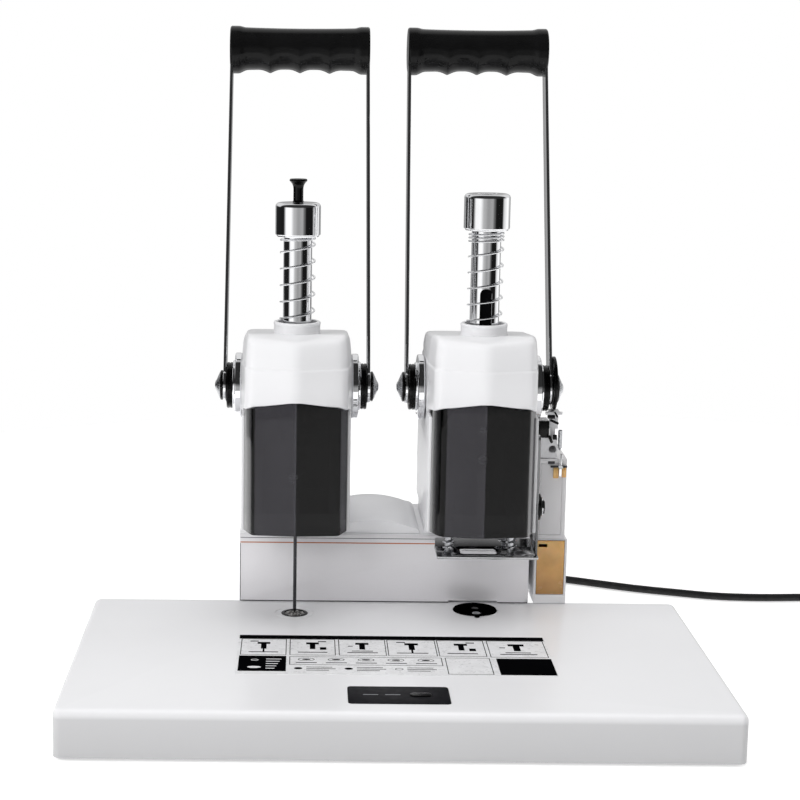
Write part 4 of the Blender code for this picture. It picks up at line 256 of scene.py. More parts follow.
def rounded(outline, radius, steps, corners=None):
    """The outline with its corners, or the named ones, turned into arcs; radius may be a list."""
    points = []
    radii = radius if isinstance(radius, (list, tuple)) else [radius] * len(outline)
    for i, here in enumerate(outline):
        radius = radii[i]
        if not radius or (corners is not None and i not in corners):
            points.append(here)
            continue
        before = Vector(outline[i - 1]) - Vector(here)
        after = Vector(outline[(i + 1) % len(outline)]) - Vector(here)
        half = before.angle(after) / 2
        start = Vector(here) + before.normalized() * radius / tan(half)
        end = Vector(here) + after.normalized() * radius / tan(half)
        centre = Vector(here) + (before.normalized() + after.normalized()).normalized() * radius / sin(half)
        from_angle = atan2(*(start - centre).yx)
        sweep = atan2(*(end - centre).yx) - from_angle
        sweep -= 2 * pi * round(sweep / (2 * pi))
        for k in range(steps + 1):
            angle = from_angle + sweep * k / steps
            points.append((centre.x + radius * cos(angle), centre.y + radius * sin(angle)))
    return points


def slab(left, right, front, back, corner=0.0, steps=6):
    """A rectangle's outline, with round corners if corner is given."""
    outline = [(left, front), (right, front), (right, back), (left, back)]
    return rounded(outline, corner, steps) if corner else outline


def node_slab(name, corner, steps=6, room=0.0):
    """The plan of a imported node's box, with some room round it."""
    low, high = node_box(name)
    return slab(low.x - room, high.x + room, low.y - room, high.y + room, corner, steps)


def soften(shape, width, segments, angle=radians(25), chosen=None):
    """Rounds the sharp edges of a bmesh, or only those that chosen picks."""
    shape.normal_update()
    edges = [e for e in shape.edges if len(e.link_faces) == 2 and e.calc_face_angle(0) > angle]
    edges = [e for e in edges if chosen is None or chosen(e)]
    bmesh.ops.bevel(shape, geom=edges, offset=width, segments=segments, profile=0.5, affect="EDGES",
                    clamp_overlap=True)
    return shape


def lying_at(height):
    """Picks the edges that lie at a height or above it."""
    return lambda edge: all(corner.co.z > height - 0.05 * MM for corner in edge.verts)


def combined(shapes):
    """Several bmeshes as one."""
    whole = bmesh.new()
    for shape in shapes:
        spare = bpy.data.meshes.new("spare")
        shape.to_mesh(spare)
        shape.free()
        whole.from_mesh(spare)
        bpy.data.meshes.remove(spare)
    return whole


def carved(shape, cuts, joins=()):
    """The shape with some shapes joined to it and others cut from it."""
    spares = []
    for number, each in enumerate([shape, *joins, *cuts]):
        data = bpy.data.meshes.new(f"spare_{number}")
        each.to_mesh(data)
        each.free()
        spares.append(bpy.data.objects.new(data.name, data))
        bpy.context.scene.collection.objects.link(spares[-1])
    target = spares[0]
    for number, spare in enumerate(spares[1:]):
        modifier = target.modifiers.new("carve", "BOOLEAN")
        modifier.operation = "UNION" if number < len(joins) else "DIFFERENCE"
        modifier.solver = "EXACT"
        modifier.object = spare
    result = bmesh.new()
    result.from_object(target, bpy.context.evaluated_depsgraph_get())
    for spare in spares:
        data = spare.data
        bpy.data.objects.remove(spare)
        bpy.data.meshes.remove(data)
    bmesh.ops.remove_doubles(result, verts=result.verts, dist=WELD)
    bmesh.ops.dissolve_degenerate(result, dist=WELD, edges=result.edges)
    return result


# Making finishes
def principled(name, colour, roughness, metallic=0.0, sockets=()):
    """A Principled material whose even values sit on the shader's own sockets."""
    made = bpy.data.materials.new(name)
    made.use_nodes = True
    shader = made.node_tree.nodes["Principled BSDF"]
    values = {"Base Color": (*colour, 1.0), "Roughness": roughness, "Metallic": metallic, **dict(sockets)}
    for key, value in values.items():
        shader.inputs[key].default_value = value
    made.diffuse_color = (*colour, 1.0)
    return made


def add(made, kind, inputs=(), **settings):
    """One shader node with its settings, its values and its links."""
    node = made.node_tree.nodes.new("ShaderNode" + kind)
    for key, value in settings.items():
        setattr(node, key, value)
    for key, value in dict(inputs).items():
        if isinstance(value, bpy.types.NodeSocket):
            made.node_tree.links.new(value, node.inputs[key])
        else:
            node.inputs[key].default_value = value
    return node


def to_shader(made, socket, value):
    """Feeds a socket of the material's shader."""
    made.node_tree.links.new(value, made.node_tree.nodes["Principled BSDF"].inputs[socket])


def stretched(made, scale):
    """The piece's own place, stretched along each axis by scale."""
    place = add(made, "TexCoord").outputs["Object"]
    return add(made, "Mapping", {"Vector": place, "Scale": scale}).outputs["Vector"]


def noise(made, scale, detail=3.0, stretch=(1, 1, 1)):
    """Cloudy variation at a scale per metre."""
    inputs = {"Vector": stretched(made, stretch), "Scale": scale, "Detail": detail}
    return add(made, "TexNoise", inputs).outputs["Fac"]


def cells(made, scale):
    """Distance to scattered points, for pits and dimples."""
    return add(made, "TexVoronoi", {"Vector": stretched(made, (1, 1, 1)), "Scale": scale}).outputs["Distance"]


def along(made, axis, low, high):
    """How far a place is from low to high along X, Y or Z, from 0 to 1."""
    split = add(made, "SeparateXYZ", {0: add(made, "TexCoord").outputs["Object"]})
    reach = add(made, "MapRange", {"Value": split.outputs[axis], "From Min": low, "From Max": high})
    return reach.outputs["Result"]


def ramp(made, factor, stops, ease="LINEAR"):
    """A value read through a list of (position, colour or grey)."""
    node = add(made, "ValToRGB", {"Fac": factor})
    node.color_ramp.interpolation = ease
    points = node.color_ramp.elements
    while len(points) < len(stops):
        points.new(0.5)
    for point, (position, _) in zip(points, stops):
        point.position = position
    for point, (_, colour) in zip(points, stops):
        point.color = (*colour, 1.0) if isinstance(colour, tuple) else (colour, colour, colour, 1.0)
    return node.outputs["Color"]


def blended(made, factor, one, other, mode="MIX"):
    """Two colours mixed, each a colour or a socket."""
    node = add(made, "Mix", data_type="RGBA", blend_type=mode)
    for index, value in ((0, factor), (6, one), (7, other)):
        if isinstance(value, bpy.types.NodeSocket):
            made.node_tree.links.new(value, node.inputs[index])
        else:
            node.inputs[index].default_value = (*value, 1.0) if isinstance(value, tuple) else value
    return node.outputs[2]


def bumped(made, height, strength, distance):
    """Relief on the surface, distance in metres."""
    node = add(made, "Bump", {"Height": height, "Strength": strength, "Distance": distance})
    to_shader(made, "Normal", node.outputs["Normal"])


def shade(colour, share):
    """The colour made darker or lighter by a share."""
    return tuple(min(1.0, channel * share) for channel in colour)


def uneven(made, colour, low, high, scale, spread):
    """Faint clouding of the colour, and of the gloss between low and high."""
    cloud = noise(made, scale, 5.0)
    to_shader(made, "Base Color", ramp(made, cloud, [(0.3, shade(colour, 1 - spread)), (0.7, colour)]))
    to_shader(made, "Roughness", ramp(made, noise(made, scale * 3.1, 4.0), [(0.32, low), (0.72, high)]))


# This machine's finishes
def enamel(name, colour, low, high, peel=0.05):
    """Sprayed enamel with a faint orange peel."""
    made = principled(name, colour, low, 0.0, {"Coat Weight": 0.35, "Coat Roughness": 0.16})
    uneven(made, colour, low, high, 6.0, 0.02)
    bumped(made, noise(made, 620.0, 2.0), peel * 0.5, 0.1 * MM)
    return made


def base_enamel(name, colour):
    """The base's enamel with painted shade: its sides much darker than its top, and faint clouding."""
    made = enamel(name, colour, 0.36, 0.5, 0.07)
    # Painted shade: the sides fall to about half the top's brightness towards the foot
    down = ramp(made, along(made, "Z", BASE_LOW.z, BASE_TOP), [(0.0, 0.51), (0.8, 0.58), (0.97, 1.0)])
    cloud = ramp(made, noise(made, 11.0, 5.0), [(0.3, 0.975), (0.7, 1.0)])
    tone = blended(made, 1.0, down, cloud, "MULTIPLY")
    to_shader(made, "Base Color", blended(made, 1.0, tone, colour, "MULTIPLY"))
    return made


def moulded_black(name, colour, low, high, coat, gloss=0.14):
    """Black plastic with soft mould marks, from nearly matt to polished."""
    made = principled(name, colour, low, 0.0,
                      {"Coat Weight": coat, "Coat Roughness": 0.05, "Specular IOR Level": gloss})
    uneven(made, colour, low, high, 60.0, 0.3)
    bumped(made, noise(made, 900.0, 2.0), 0.06, 0.08 * MM)
    return made


def chromium(name, colour, low=0.04, high=0.11):
    """Bright plating, a little hazy here and there."""
    made = principled(name, colour, low, 1.0)
    haze = noise(made, 70.0, 6.0, (1, 1, 0.35))
    to_shader(made, "Roughness", ramp(made, haze, [(0.38, low), (0.72, high)]))
    to_shader(made, "Base Color", ramp(made, haze, [(0.35, colour), (0.8, shade(colour, 0.88))]))
    bumped(made, noise(made, 240.0, 2.0), 0.03, 0.05 * MM)
    return made


def ground_steel(name, colour, low=0.18, high=0.34):
    """Turned steel with fine tool marks round it."""
    made = principled(name, colour, low, 1.0)
    marks = noise(made, 900.0, 3.0, (0.06, 0.06, 1.6))
    to_shader(made, "Roughness", ramp(made, marks, [(0.3, low), (0.7, high)]))
    to_shader(made, "Base Color", ramp(made, noise(made, 45.0), [(0.3, shade(colour, 0.85)), (0.7, colour)]))
    bumped(made, marks, 0.12, 0.05 * MM)
    return made


def cast_metal(name, colour):
    """Die-cast aluminium with a fine sandy skin."""
    made = principled(name, colour, 0.45, 0.85)
    uneven(made, colour, 0.38, 0.6, 40.0, 0.15)
    bumped(made, noise(made, 1400.0, 4.0), 0.35, 0.12 * MM)
    return made


def soft_rubber(name, colour):
    """Matt rubber with a powdery grain."""
    made = principled(name, colour, 0.75, 0.0, {"Sheen Weight": 0.15, "Sheen Roughness": 0.5})
    uneven(made, colour, 0.62, 0.85, 80.0, 0.35)
    bumped(made, noise(made, 1600.0, 3.0), 0.25, 0.1 * MM)
    return made


def panel_paint(name, colour):
    """Pearl grey paint with fine metal flake, and painted shade: a little darker at its left end and along
    its edges.
    """
    low, high = node_box("front_panel")
    made = principled(name, colour, 0.34, 0.25, {"Coat Weight": 0.3, "Coat Roughness": 0.12})
    # Painted shade across the panel and up it
    across = ramp(made, along(made, "X", low.x, high.x), [(0.0, 0.9), (0.55, 0.95), (1.0, 1.0)])
    up = ramp(made, along(made, "Z", low.z, high.z), [(0.0, 0.9), (0.35, 0.97), (0.8, 1.0), (1.0, 0.96)])
    flake = ramp(made, cells(made, 4200.0), [(0.0, 1.06), (0.5, 0.97)])
    tone = blended(made, 1.0, blended(made, 1.0, across, up, "MULTIPLY"), flake, "MULTIPLY")
    to_shader(made, "Base Color", blended(made, 1.0, tone, colour, "MULTIPLY"))
    to_shader(made, "Roughness", ramp(made, noise(made, 50.0), [(0.3, 0.3), (0.7, 0.42)]))
    bumped(made, cells(made, 4200.0), 0.04, 0.05 * MM)
    return made


# Each smoked cover's painted highlights and painted shade near its left edge, by the share of its width
PAINTED_COVER_EDGE_LIGHT = {
    "left": [(0.0, 0.5), (0.03, 0.2), (0.065, (0.05, 0.05, 0.052)), (0.078, "black"), (0.1, "black"),
             (0.112, "light")],
    "right": [(0.0, 0.42), (0.02, 0.12), (0.045, "dark"), (0.075, "black"), (0.125, "black"),
              (0.132, "light")],
}


def smoked(name, side, light, dark):
    """Smoked acrylic with painted light: painted highlights at its edges and ridge, a painted reflection on
    its left leaf, painted shade in its folds and on its right leaf, and wipe marks.
    """
    made = principled(name, dark, 0.05, 0.0,
                      {"Coat Weight": 0.1, "Coat Roughness": 0.02, "Alpha": 0.88, "Specular IOR Level": 0.15})
    painted_tones = {"black": shade(dark, 0.3), "light": light, "dark": shade(dark, 1.5)}
    stops = [(place, painted_tones.get(tone, tone)) for place, tone in PAINTED_COVER_EDGE_LIGHT[side]]
    # Painted highlight on the ridge, painted shade on the right leaf and in the right fold, painted highlight
    # at the right edge
    stops += [(0.47, light), (0.5, shade(light, 1.25)), (0.51, dark), (0.905, dark), (0.915, painted_tones["black"]),
              (0.932, painted_tones["black"]), (0.94, light), (1.0, shade(light, 0.8))]
    x = COLUMN[side].x
    leaf = ramp(made, along(made, "X", x - COVER_HALF, x + COVER_HALF), stops)
    smear = ramp(made, noise(made, 26.0, 4.0, (1, 1, 0.4)), [(0.3, 0.82), (0.75, 1.12)])
    to_shader(made, "Base Color", blended(made, 1.0, leaf, smear, "MULTIPLY"))
    to_shader(made, "Roughness", ramp(made, noise(made, 40.0, 5.0), [(0.35, 0.035), (0.8, 0.11)]))
    bumped(made, noise(made, 30.0, 1.0), 0.02, 0.3 * MM)
    return made


def amber_resin(name, colour):
    """Clear amber plastic, darker towards its floor and lighter towards its top."""
    made = principled(name, colour, 0.18, 0.0, {"Subsurface Weight": 0.35, "Subsurface Scale": 0.004,
                                                "Coat Weight": 0.4, "Coat Roughness": 0.08})
    low, high = node_box("tube_tray")
    depth = ramp(made, along(made, "Z", low.z, high.z),
                 [(0.0, shade(colour, 0.62)), (0.5, colour), (1.0, shade(colour, 1.25))])
    cloud = ramp(made, noise(made, 90.0, 4.0), [(0.3, 0.86), (0.7, 1.05)])
    to_shader(made, "Base Color", blended(made, 1.0, depth, cloud, "MULTIPLY"))
    to_shader(made, "Roughness", ramp(made, noise(made, 160.0), [(0.3, 0.14), (0.7, 0.3)]))
    bumped(made, noise(made, 700.0, 2.0), 0.08, 0.06 * MM)
    return made


def dimpled_black(name, colour):
    """Black plastic with a knurled top, for the turret."""
    made = principled(name, colour, 0.4, 0.0, {"Specular IOR Level": 0.0})
    pits = cells(made, 1500.0)
    to_shader(made, "Base Color", ramp(made, pits, [(0.0, shade(colour, 0.5)), (0.6, shade(colour, 1.9))]))
    to_shader(made, "Roughness", ramp(made, pits, [(0.1, 0.5), (0.5, 0.3)]))
    bumped(made, pits, 0.7, 0.25 * MM)
    return made


def mottled_pad(name, colour):
    """The worn plastic of the drill pad, with swarf and cut marks."""
    made = principled(name, colour, 0.5)
    dirt = ramp(made, noise(made, 520.0, 5.0), [(0.42, 0.03), (0.52, 0.25), (0.6, 1.5)])
    to_shader(made, "Base Color", blended(made, 1.0, dirt, colour, "MULTIPLY"))
    to_shader(made, "Roughness", ramp(made, noise(made, 300.0), [(0.3, 0.35), (0.7, 0.7)]))
    bumped(made, noise(made, 800.0, 4.0), 0.5, 0.2 * MM)
    return made


def printed_ink(name, colour, roughness=0.35, gloss=0.2):
    """Ink on the label sheet, laid on a little unevenly."""
    made = principled(name, colour, roughness, 0.0, {"Specular IOR Level": gloss})
    uneven(made, colour, roughness - 0.06, roughness + 0.1, 120.0, 0.12)
    bumped(made, noise(made, 1500.0, 2.0), 0.05, 0.03 * MM)
    return made


SLOTS = {
    "white_enamel": "base white casing housing sheet", "grey_metallic": "panel box stripe line",
    "black_plastic": "black grip knurl cord ink shadow", "dark_plastic": "dark mark", "pad_insert": "pad",
    "chrome": "chrome bright plate", "steel": "steel bolt", "cast_aluminium": "cast", "rubber": "rubber",
    "amber_plastic": "amber", "smoked_acrylic": "smoke_left smoke_right",
}


def floor_paint(name, colour):
    """Matt studio paint with a slight even glow."""
    made = principled(name, colour, 0.75, 0.0, {"Emission Color": (1, 1, 1, 1), "Emission Strength": 0.52})
    to_shader(made, "Roughness", ramp(made, noise(made, 3.0), [(0.3, 0.7), (0.7, 0.8)]))
    return made


def make_finishes(tints, floor_colour):
    """Every finish of the machine and its floor, by name."""
    white, chrome = tuple(tints.enamel), tuple(tints.chrome)
    black, steel = tuple(tints.black_plastic), tuple(tints.steel)
    smoke = tuple(tints.cover_lit_leaf), tuple(tints.cover_shaded_leaf)
    return {
        # A lighter copy of the enamel: painted light that lifts the shade cast on the base's top
        "base": base_enamel("Base enamel", shade(white, 1.09)),
        "white": enamel("Head enamel", white, 0.34, 0.38),
        "casing": enamel("Casing enamel", shade(white, 0.98), 0.36, 0.42),
        # A lighter copy of the enamel: painted light that lifts the shade under the columns on the housing
        "housing": enamel("Housing enamel", shade(white, 1.14), 0.38, 0.44, 0.07),
        "panel": panel_paint("Pearl grey panel", tuple(tints.panel)),
        "box": enamel("Cutter case grey", tuple(tints.cutter_case), 0.32, 0.44),
        "stripe": printed_ink("Copper stripe", tuple(tints.stripe), 0.28),
        "line": printed_ink("Panel shadow line", (0.06, 0.058, 0.062)),
        "black": moulded_black("Black moulding", black, 0.2, 0.34, 0.14),
        "grip": moulded_black("Grip moulding", (0.006, 0.006, 0.0062), 0.14, 0.26, 0.03),
        "dark": moulded_black("Switch panel", tuple(tints.switch_panel), 0.34, 0.45, 0.0, 0.04),
        "knurl": dimpled_black("Turret plastic", shade(black, 0.25)),
        "pad": mottled_pad("Drill pad", (0.42, 0.41, 0.39)),
        "chrome": chromium("Chromium plate", chrome),
        "bright": chromium("Spring wire", shade(chrome, 0.96), 0.07, 0.16),
        "plate": chromium("Plated sheet", shade(chrome, 0.62), 0.08, 0.2),
        "steel": ground_steel("Ground steel", steel),
        "bolt": ground_steel("Blackened bolt", (0.07, 0.07, 0.075), 0.22, 0.4),
        "cast": cast_metal("Die-cast aluminium", (0.42, 0.43, 0.45)),
        "rubber": soft_rubber("Foot rubber", (0.022, 0.022, 0.024)),
        "cord": soft_rubber("Cord sheath", (0.004, 0.004, 0.0045)),
        "amber": amber_resin("Amber tray", tuple(tints.amber)),
        "smoke_left": smoked("Smoked sheet left", "left", *smoke),
        "smoke_right": smoked("Smoked sheet right", "right", *smoke),
        "sheet": printed_ink("Label sheet", shade(white, 1.04), 0.3),
        "ink": printed_ink("Label ink", (0.002, 0.002, 0.0025), 0.6, 0.0),
        "shadow": printed_ink("Dark opening", (0.004, 0.004, 0.0045), 0.6, 0.0),
        "mark": printed_ink("Switch mark", (0.33, 0.34, 0.36)),
        "floor": floor_paint("Studio floor", tuple(floor_colour)),
    }


class RIVETER_OT_finishes(bpy.types.Operator):
    """Makes every finish, and names the record's slot that it belongs to"""
    bl_idname = "riveter.finishes"
    bl_label = "Finishes"

    def execute(self, context):
        scene = context.scene
        FINISHES.update(make_finishes(scene.riveter_colours, scene.riveter_studio.floor_colour))
        for slot, names in SLOTS.items():
            for name in names.split():
                FINISHES[name]["slot"] = slot
        return {"FINISHED"}


# What a user would change
class RiveterColours(bpy.types.PropertyGroup):
    """Colours of the machine, linear red, green and blue."""
    enamel: FloatVectorProperty(
        name="Enamel", description="White enamel of the base and the heads",
        default=(0.83, 0.83, 0.845), min=0, max=1, subtype="COLOR")
    panel: FloatVectorProperty(
        name="Front panel", description="Pearl grey of the panel under the heads",
        default=(0.99, 0.975, 1.0), min=0, max=1, subtype="COLOR")
    cutter_case: FloatVectorProperty(
        name="Cutter case", description="Grey of the case above the tray",
        default=(0.80, 0.79, 0.80), min=0, max=1, subtype="COLOR")
    stripe: FloatVectorProperty(
        name="Stripe", description="Copper of the thin stripe on the panel",
        default=(0.55, 0.17, 0.055), min=0, max=1, subtype="COLOR")
    chrome: FloatVectorProperty(
        name="Chrome", description="Plating of the rams, arms and hubs",
        default=(0.88, 0.885, 0.90), min=0, max=1, subtype="COLOR")
    steel: FloatVectorProperty(
        name="Steel", description="Needle, chuck, rods and bolts",
        default=(0.55, 0.56, 0.58), min=0, max=1, subtype="COLOR")
    black_plastic: FloatVectorProperty(
        name="Black plastic", description="Grips, hub cups and knob",
        default=(0.001, 0.001, 0.001), min=0, max=1, subtype="COLOR")
    switch_panel: FloatVectorProperty(
        name="Switch panel", description="Dark grey panel round the power button",
        default=(0.010, 0.010, 0.012), min=0, max=1, subtype="COLOR")
    # The pale and the dark leaf are painted light: the lit left leaf and the shaded right leaf of the same
    # smoked sheet
    cover_lit_leaf: FloatVectorProperty(
        name="Cover, pale leaf", description="Smoked cover where it faces left",
        default=(0.045, 0.0435, 0.050), min=0, max=1, subtype="COLOR")
    cover_shaded_leaf: FloatVectorProperty(
        name="Cover, dark leaf", description="Smoked cover where it faces right",
        default=(0.001, 0.001, 0.001), min=0, max=1, subtype="COLOR")
    amber: FloatVectorProperty(
        name="Tray amber", description="Clear amber of the tube tray",
        default=(0.78, 0.42, 0.14), min=0, max=1, subtype="COLOR")


class RiveterSizes(bpy.types.PropertyGroup):
    """Sizes of the dressed pieces, in metres."""
    base_edge: FloatProperty(
        name="Base edge", description="Radius of the base's rounded top edge",
        default=0.0038, min=0.001, max=0.006, subtype="DISTANCE", unit="LENGTH")
    case_edge: FloatProperty(
        name="Sheet edge", description="Easing of the edges of cases and plates",
        default=0.0006, min=0.0002, max=0.0012, subtype="DISTANCE", unit="LENGTH")
    grip_ridge: FloatProperty(
        name="Finger ridge", description="How far the ridges stand out under a grip",
        default=0.0030, min=0.001, max=0.0045, subtype="DISTANCE", unit="LENGTH")
    spring_pitch: FloatProperty(
        name="Return spring pitch", description="Rise of one open turn of a return spring",
        default=0.0107, min=0.006, max=0.014, subtype="DISTANCE", unit="LENGTH")
    press_pitch: FloatProperty(
        name="Press spring pitch", description="Rise of one turn of a press plate spring",
        default=0.0036, min=0.0022, max=0.008, subtype="DISTANCE", unit="LENGTH")
    label_edge: FloatProperty(
        name="Label line", description="Width of the lines printed on the label",
        default=0.0005, min=0.0002, max=0.001, subtype="DISTANCE", unit="LENGTH")


class RiveterStudio(bpy.types.PropertyGroup):
    """The stage, the light and the camera."""
    lens: FloatProperty(
        name="Lens", description="Focal length",
        default=CAMERA_LENS, min=20, max=200, subtype="DISTANCE_CAMERA", unit="CAMERA")
    light: FloatProperty(
        name="Light", description="Strength of the studio light",
        default=1.0, min=0.1, max=4)
    floor_size: FloatProperty(
        name="Floor radius", description="Radius of the plain floor",
        default=0.95, min=0.8, max=6, subtype="DISTANCE", unit="LENGTH")
    floor_colour: FloatVectorProperty(
        name="Floor", description="Plain pale floor",
        default=(0.93, 0.93, 0.93), min=0, max=1, subtype="COLOR")


# Stage, light and camera
def studio_floor(radius):
    """A round pale floor, level with the feet."""
    shape = bmesh.new()
    bmesh.ops.create_circle(shape, cap_ends=True, radius=radius, segments=128)
    floor = piece("studio_floor", shape, "floor", body=None)
    floor.location = (cad_box[0][0] / 2 + cad_box[1][0] / 2, 0, -0.2 * MM)


# How bright the surroundings are by direction, in degrees from the front: soft boxes and dark flags
SURROUNDINGS = [(-180, 0.32), (-152, 0.42), (-138, 0.02), (-78, 0.012), (-60, 1.15), (-40, 1.2), (-18, 0.52),
                (2, 0.36), (22, 0.42), (33, 0.14), (43, 0.01), (78, 0.01), (88, 0.7), (98, 0.95), (118, 1.25),
                (140, 0.5), (180, 0.32)]


def studio_light(strength):
    """Pale surroundings with tall soft boxes and dark flags between them, for the plated pieces."""
    world = bpy.data.worlds.new("Soft studio")
    world.use_nodes = True
    bpy.context.scene.world = world
    ray = add(world, "TexCoord").outputs["Generated"]
    split = add(world, "SeparateXYZ", {0: ray})
    ahead = add(world, "Math", {0: split.outputs["Y"], 1: -1.0}, operation="MULTIPLY").outputs[0]
    turn = add(world, "Math", {0: split.outputs["X"], 1: ahead}, operation="ARCTAN2").outputs[0]
    share = add(world, "MapRange", {"Value": turn, "From Min": -pi, "From Max": pi}).outputs["Result"]
    round_about = ramp(world, share, [((degree + 180) / 360, level) for degree, level in SURROUNDINGS],
                       "EASE")
    rise, steep, rear = (ramp(world, split.outputs[axis], [(0.0, 0.0), (start, 0.0), (end, 1.0), (1.0, 1.0)])
                         for axis, start, end in (("Z", 0.5, 0.74), ("Z", 0.04, 0.26), ("Y", 0.12, 0.3)))
    rays = add(world, "LightPath").outputs
    behind = blended(world, rear, (0.03, 0.03, 0.03), (0.8, 0.8, 0.8))
    ceiling = blended(world, rays["Is Glossy Ray"], (0.05, 0.05, 0.05), behind)
    overhead = blended(world, blended(world, rays["Is Glossy Ray"], rise, steep), round_about, ceiling)
    colour = blended(world, rays["Is Camera Ray"], overhead, (1.0, 1.0, 1.0))
    background = world.node_tree.nodes["Background"]
    world.node_tree.links.new(colour, background.inputs["Color"])
    background.inputs["Strength"].default_value = strength


LIT_PLACE = Vector((0, 0, 0.12))


def soft_box(name, place, size, energy):
    """One large soft box, aimed at the machine and flagged off from its mirror finishes."""
    data = bpy.data.lights.new(name, "AREA")
    data.shape = "RECTANGLE"
    data.size, data.size_y = size
    data.energy = energy
    lamp = bpy.data.objects.new(name, data)
    bpy.context.scene.collection.objects.link(lamp)
    place = Vector(place)
    aim = (LIT_PLACE - place).to_track_quat("-Z", "Y")
    lamp.matrix_world = Matrix.Translation(place) @ aim.to_matrix().to_4x4()
    lamp.visible_glossy = False


def photograph_camera(lens):
    """The camera at the photograph's viewing angle."""
    data = bpy.data.cameras.new("Camera")
    data.lens = lens
    data.sensor_width = CAMERA_SENSOR
    data.shift_x = CAMERA_SHIFT
    camera = bpy.data.objects.new("camera", data)
    bpy.context.scene.collection.objects.link(camera)
    level = Vector((sin(CAMERA_YAW), cos(CAMERA_YAW), 0))
    ahead = level * cos(CAMERA_PITCH) - Vector((0, 0, sin(CAMERA_PITCH)))
    right = Vector((cos(CAMERA_YAW), -sin(CAMERA_YAW), 0))
    above = right.cross(ahead)
    leaning = right * cos(CAMERA_ROLL) - above * sin(CAMERA_ROLL)
    upright = above * cos(CAMERA_ROLL) + right * sin(CAMERA_ROLL)
    turn = Matrix((leaning, upright, -ahead)).transposed().to_4x4()
    camera.matrix_world = Matrix.Translation(CAMERA_PLACE) @ turn
    bpy.context.scene.camera = camera


class RIVETER_OT_studio(bpy.types.Operator):
    """Makes the floor, the light and the camera"""
    bl_idname = "riveter.studio"
    bl_label = "Studio"

    def execute(self, context):
        studio = context.scene.riveter_studio
        studio_floor(studio.floor_size)
        studio_light(studio.light)
        soft_box("key_soft_box", (-2.16, -1.95, 2.0), (3.0, 2.4), 66.0 * studio.light)
        soft_box("top_soft_box", (0.1, 0.0, 1.45), (1.4, 1.2), 12.5 * studio.light)
        photograph_camera(studio.lens)
        context.scene.view_settings.view_transform = "Standard"
        return {"FINISHED"}


# Power cord
CORD_RADIUS = 0.0028
CORD_REST = 0.0030
COURSE_PARTS = 4
CORD_COURSE = [
    (0.0700, 0.1877, 0.0160), (0.0702, 0.1945, 0.0158), (0.0735, 0.2045, 0.0138), (0.0815, 0.2150, 0.0100),
    (0.0925, 0.2235, 0.0062), (0.1060, 0.2290, 0.0036), (0.1200, 0.2310, 0.0030), (0.1340, 0.2300, 0.0030),
    (0.1480, 0.2270, 0.0030), (0.1730, 0.2150, 0.0030), (0.1990, 0.2030, 0.0030), (0.2260, 0.1935, 0.0030),
    (0.2530, 0.1850, 0.0030), (0.2755, 0.1822, 0.0030), (0.2956, 0.1820, 0.0030), (0.3186, 0.1834, 0.0030),
    (0.3440, 0.1843, 0.0030), (0.3741, 0.1844, 0.0030),
]
COIL_OUTER = 0.0405
COIL_STEP = 0.0061
COIL_LIFT = 0.0062
COIL_LOOPS = 6.25
COIL_STEPS = 24
COIL_CLIMB = 0.5
COIL_LEAD = 0.0056
COIL_X = CORD_COURSE[-1][0] + COIL_LEAD + 0.3 * MM
COIL_Y = CORD_COURSE[-1][1] + COIL_OUTER
PLUG_SWING = 0.0150
PLUG_SWING_TURNS = 0.30
TIE_TURN = radians(135)
TIE_HALF = 4.0
PIN_SPREAD = 9.3 * MM


def smooth_course(points):
    """Points close together on a smooth curve through the cord's own points."""
    dense = []
    padded = [points[0]] + points + [points[-1]]
    for a, b, c, d in zip(padded, padded[1:], padded[2:], padded[3:]):
        for k in range(COURSE_PARTS):
            t = k / COURSE_PARTS
            dense.append(tuple(0.5 * (2 * q + (r - p) * t + (2 * p - 5 * q + 4 * r - s) * t * t
                                      + (3 * q - p - 3 * r + s) * t ** 3) for p, q, r, s in zip(a, b, c, d)))
    return dense + [points[-1]]


def coil_line():
    """The coil's turns: inwards, up a layer, outwards again, then aside to the plug."""
    points = []
    steps = int(COIL_LOOPS * COIL_STEPS)
    for k in range(steps + 1):
        turn = COIL_LOOPS * k / steps
        inward = min(turn, COIL_LOOPS - turn)
        climb = min(1, max(0, (turn - COIL_LOOPS / 2) / COIL_CLIMB + 0.5))
        aside = min(1, max(0, (turn - COIL_LOOPS) / PLUG_SWING_TURNS + 1))
        radius = COIL_OUTER - COIL_STEP * inward + PLUG_SWING * aside * aside
        angle = -pi / 2 + 2 * pi * turn
        z = CORD_REST + COIL_LIFT * climb * climb * (3 - 2 * climb)
        points.append(Vector((COIL_X + radius * cos(angle), COIL_Y + radius * sin(angle), z)))
    ahead = (points[-1] - points[-2]).normalized()
    ahead.z = 0
    points.append(points[-1] + ahead * COIL_LEAD)
    return [tuple(point) for point in points], ahead


def power_cord():
    """The cord from the strain relief to its plug, with the unseen length coiled and tied."""
    coil, ahead = coil_line()
    line = smooth_course(CORD_COURSE) + coil
    cord = piece("power_cord_run", swept(line, CORD_RADIUS, 16), "cord")
    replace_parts(cord, "power_cord", "power_cord_coil")
    extras = [strain_relief(), cord_tie(), *mains_plug(Vector(coil[-1]), ahead)]


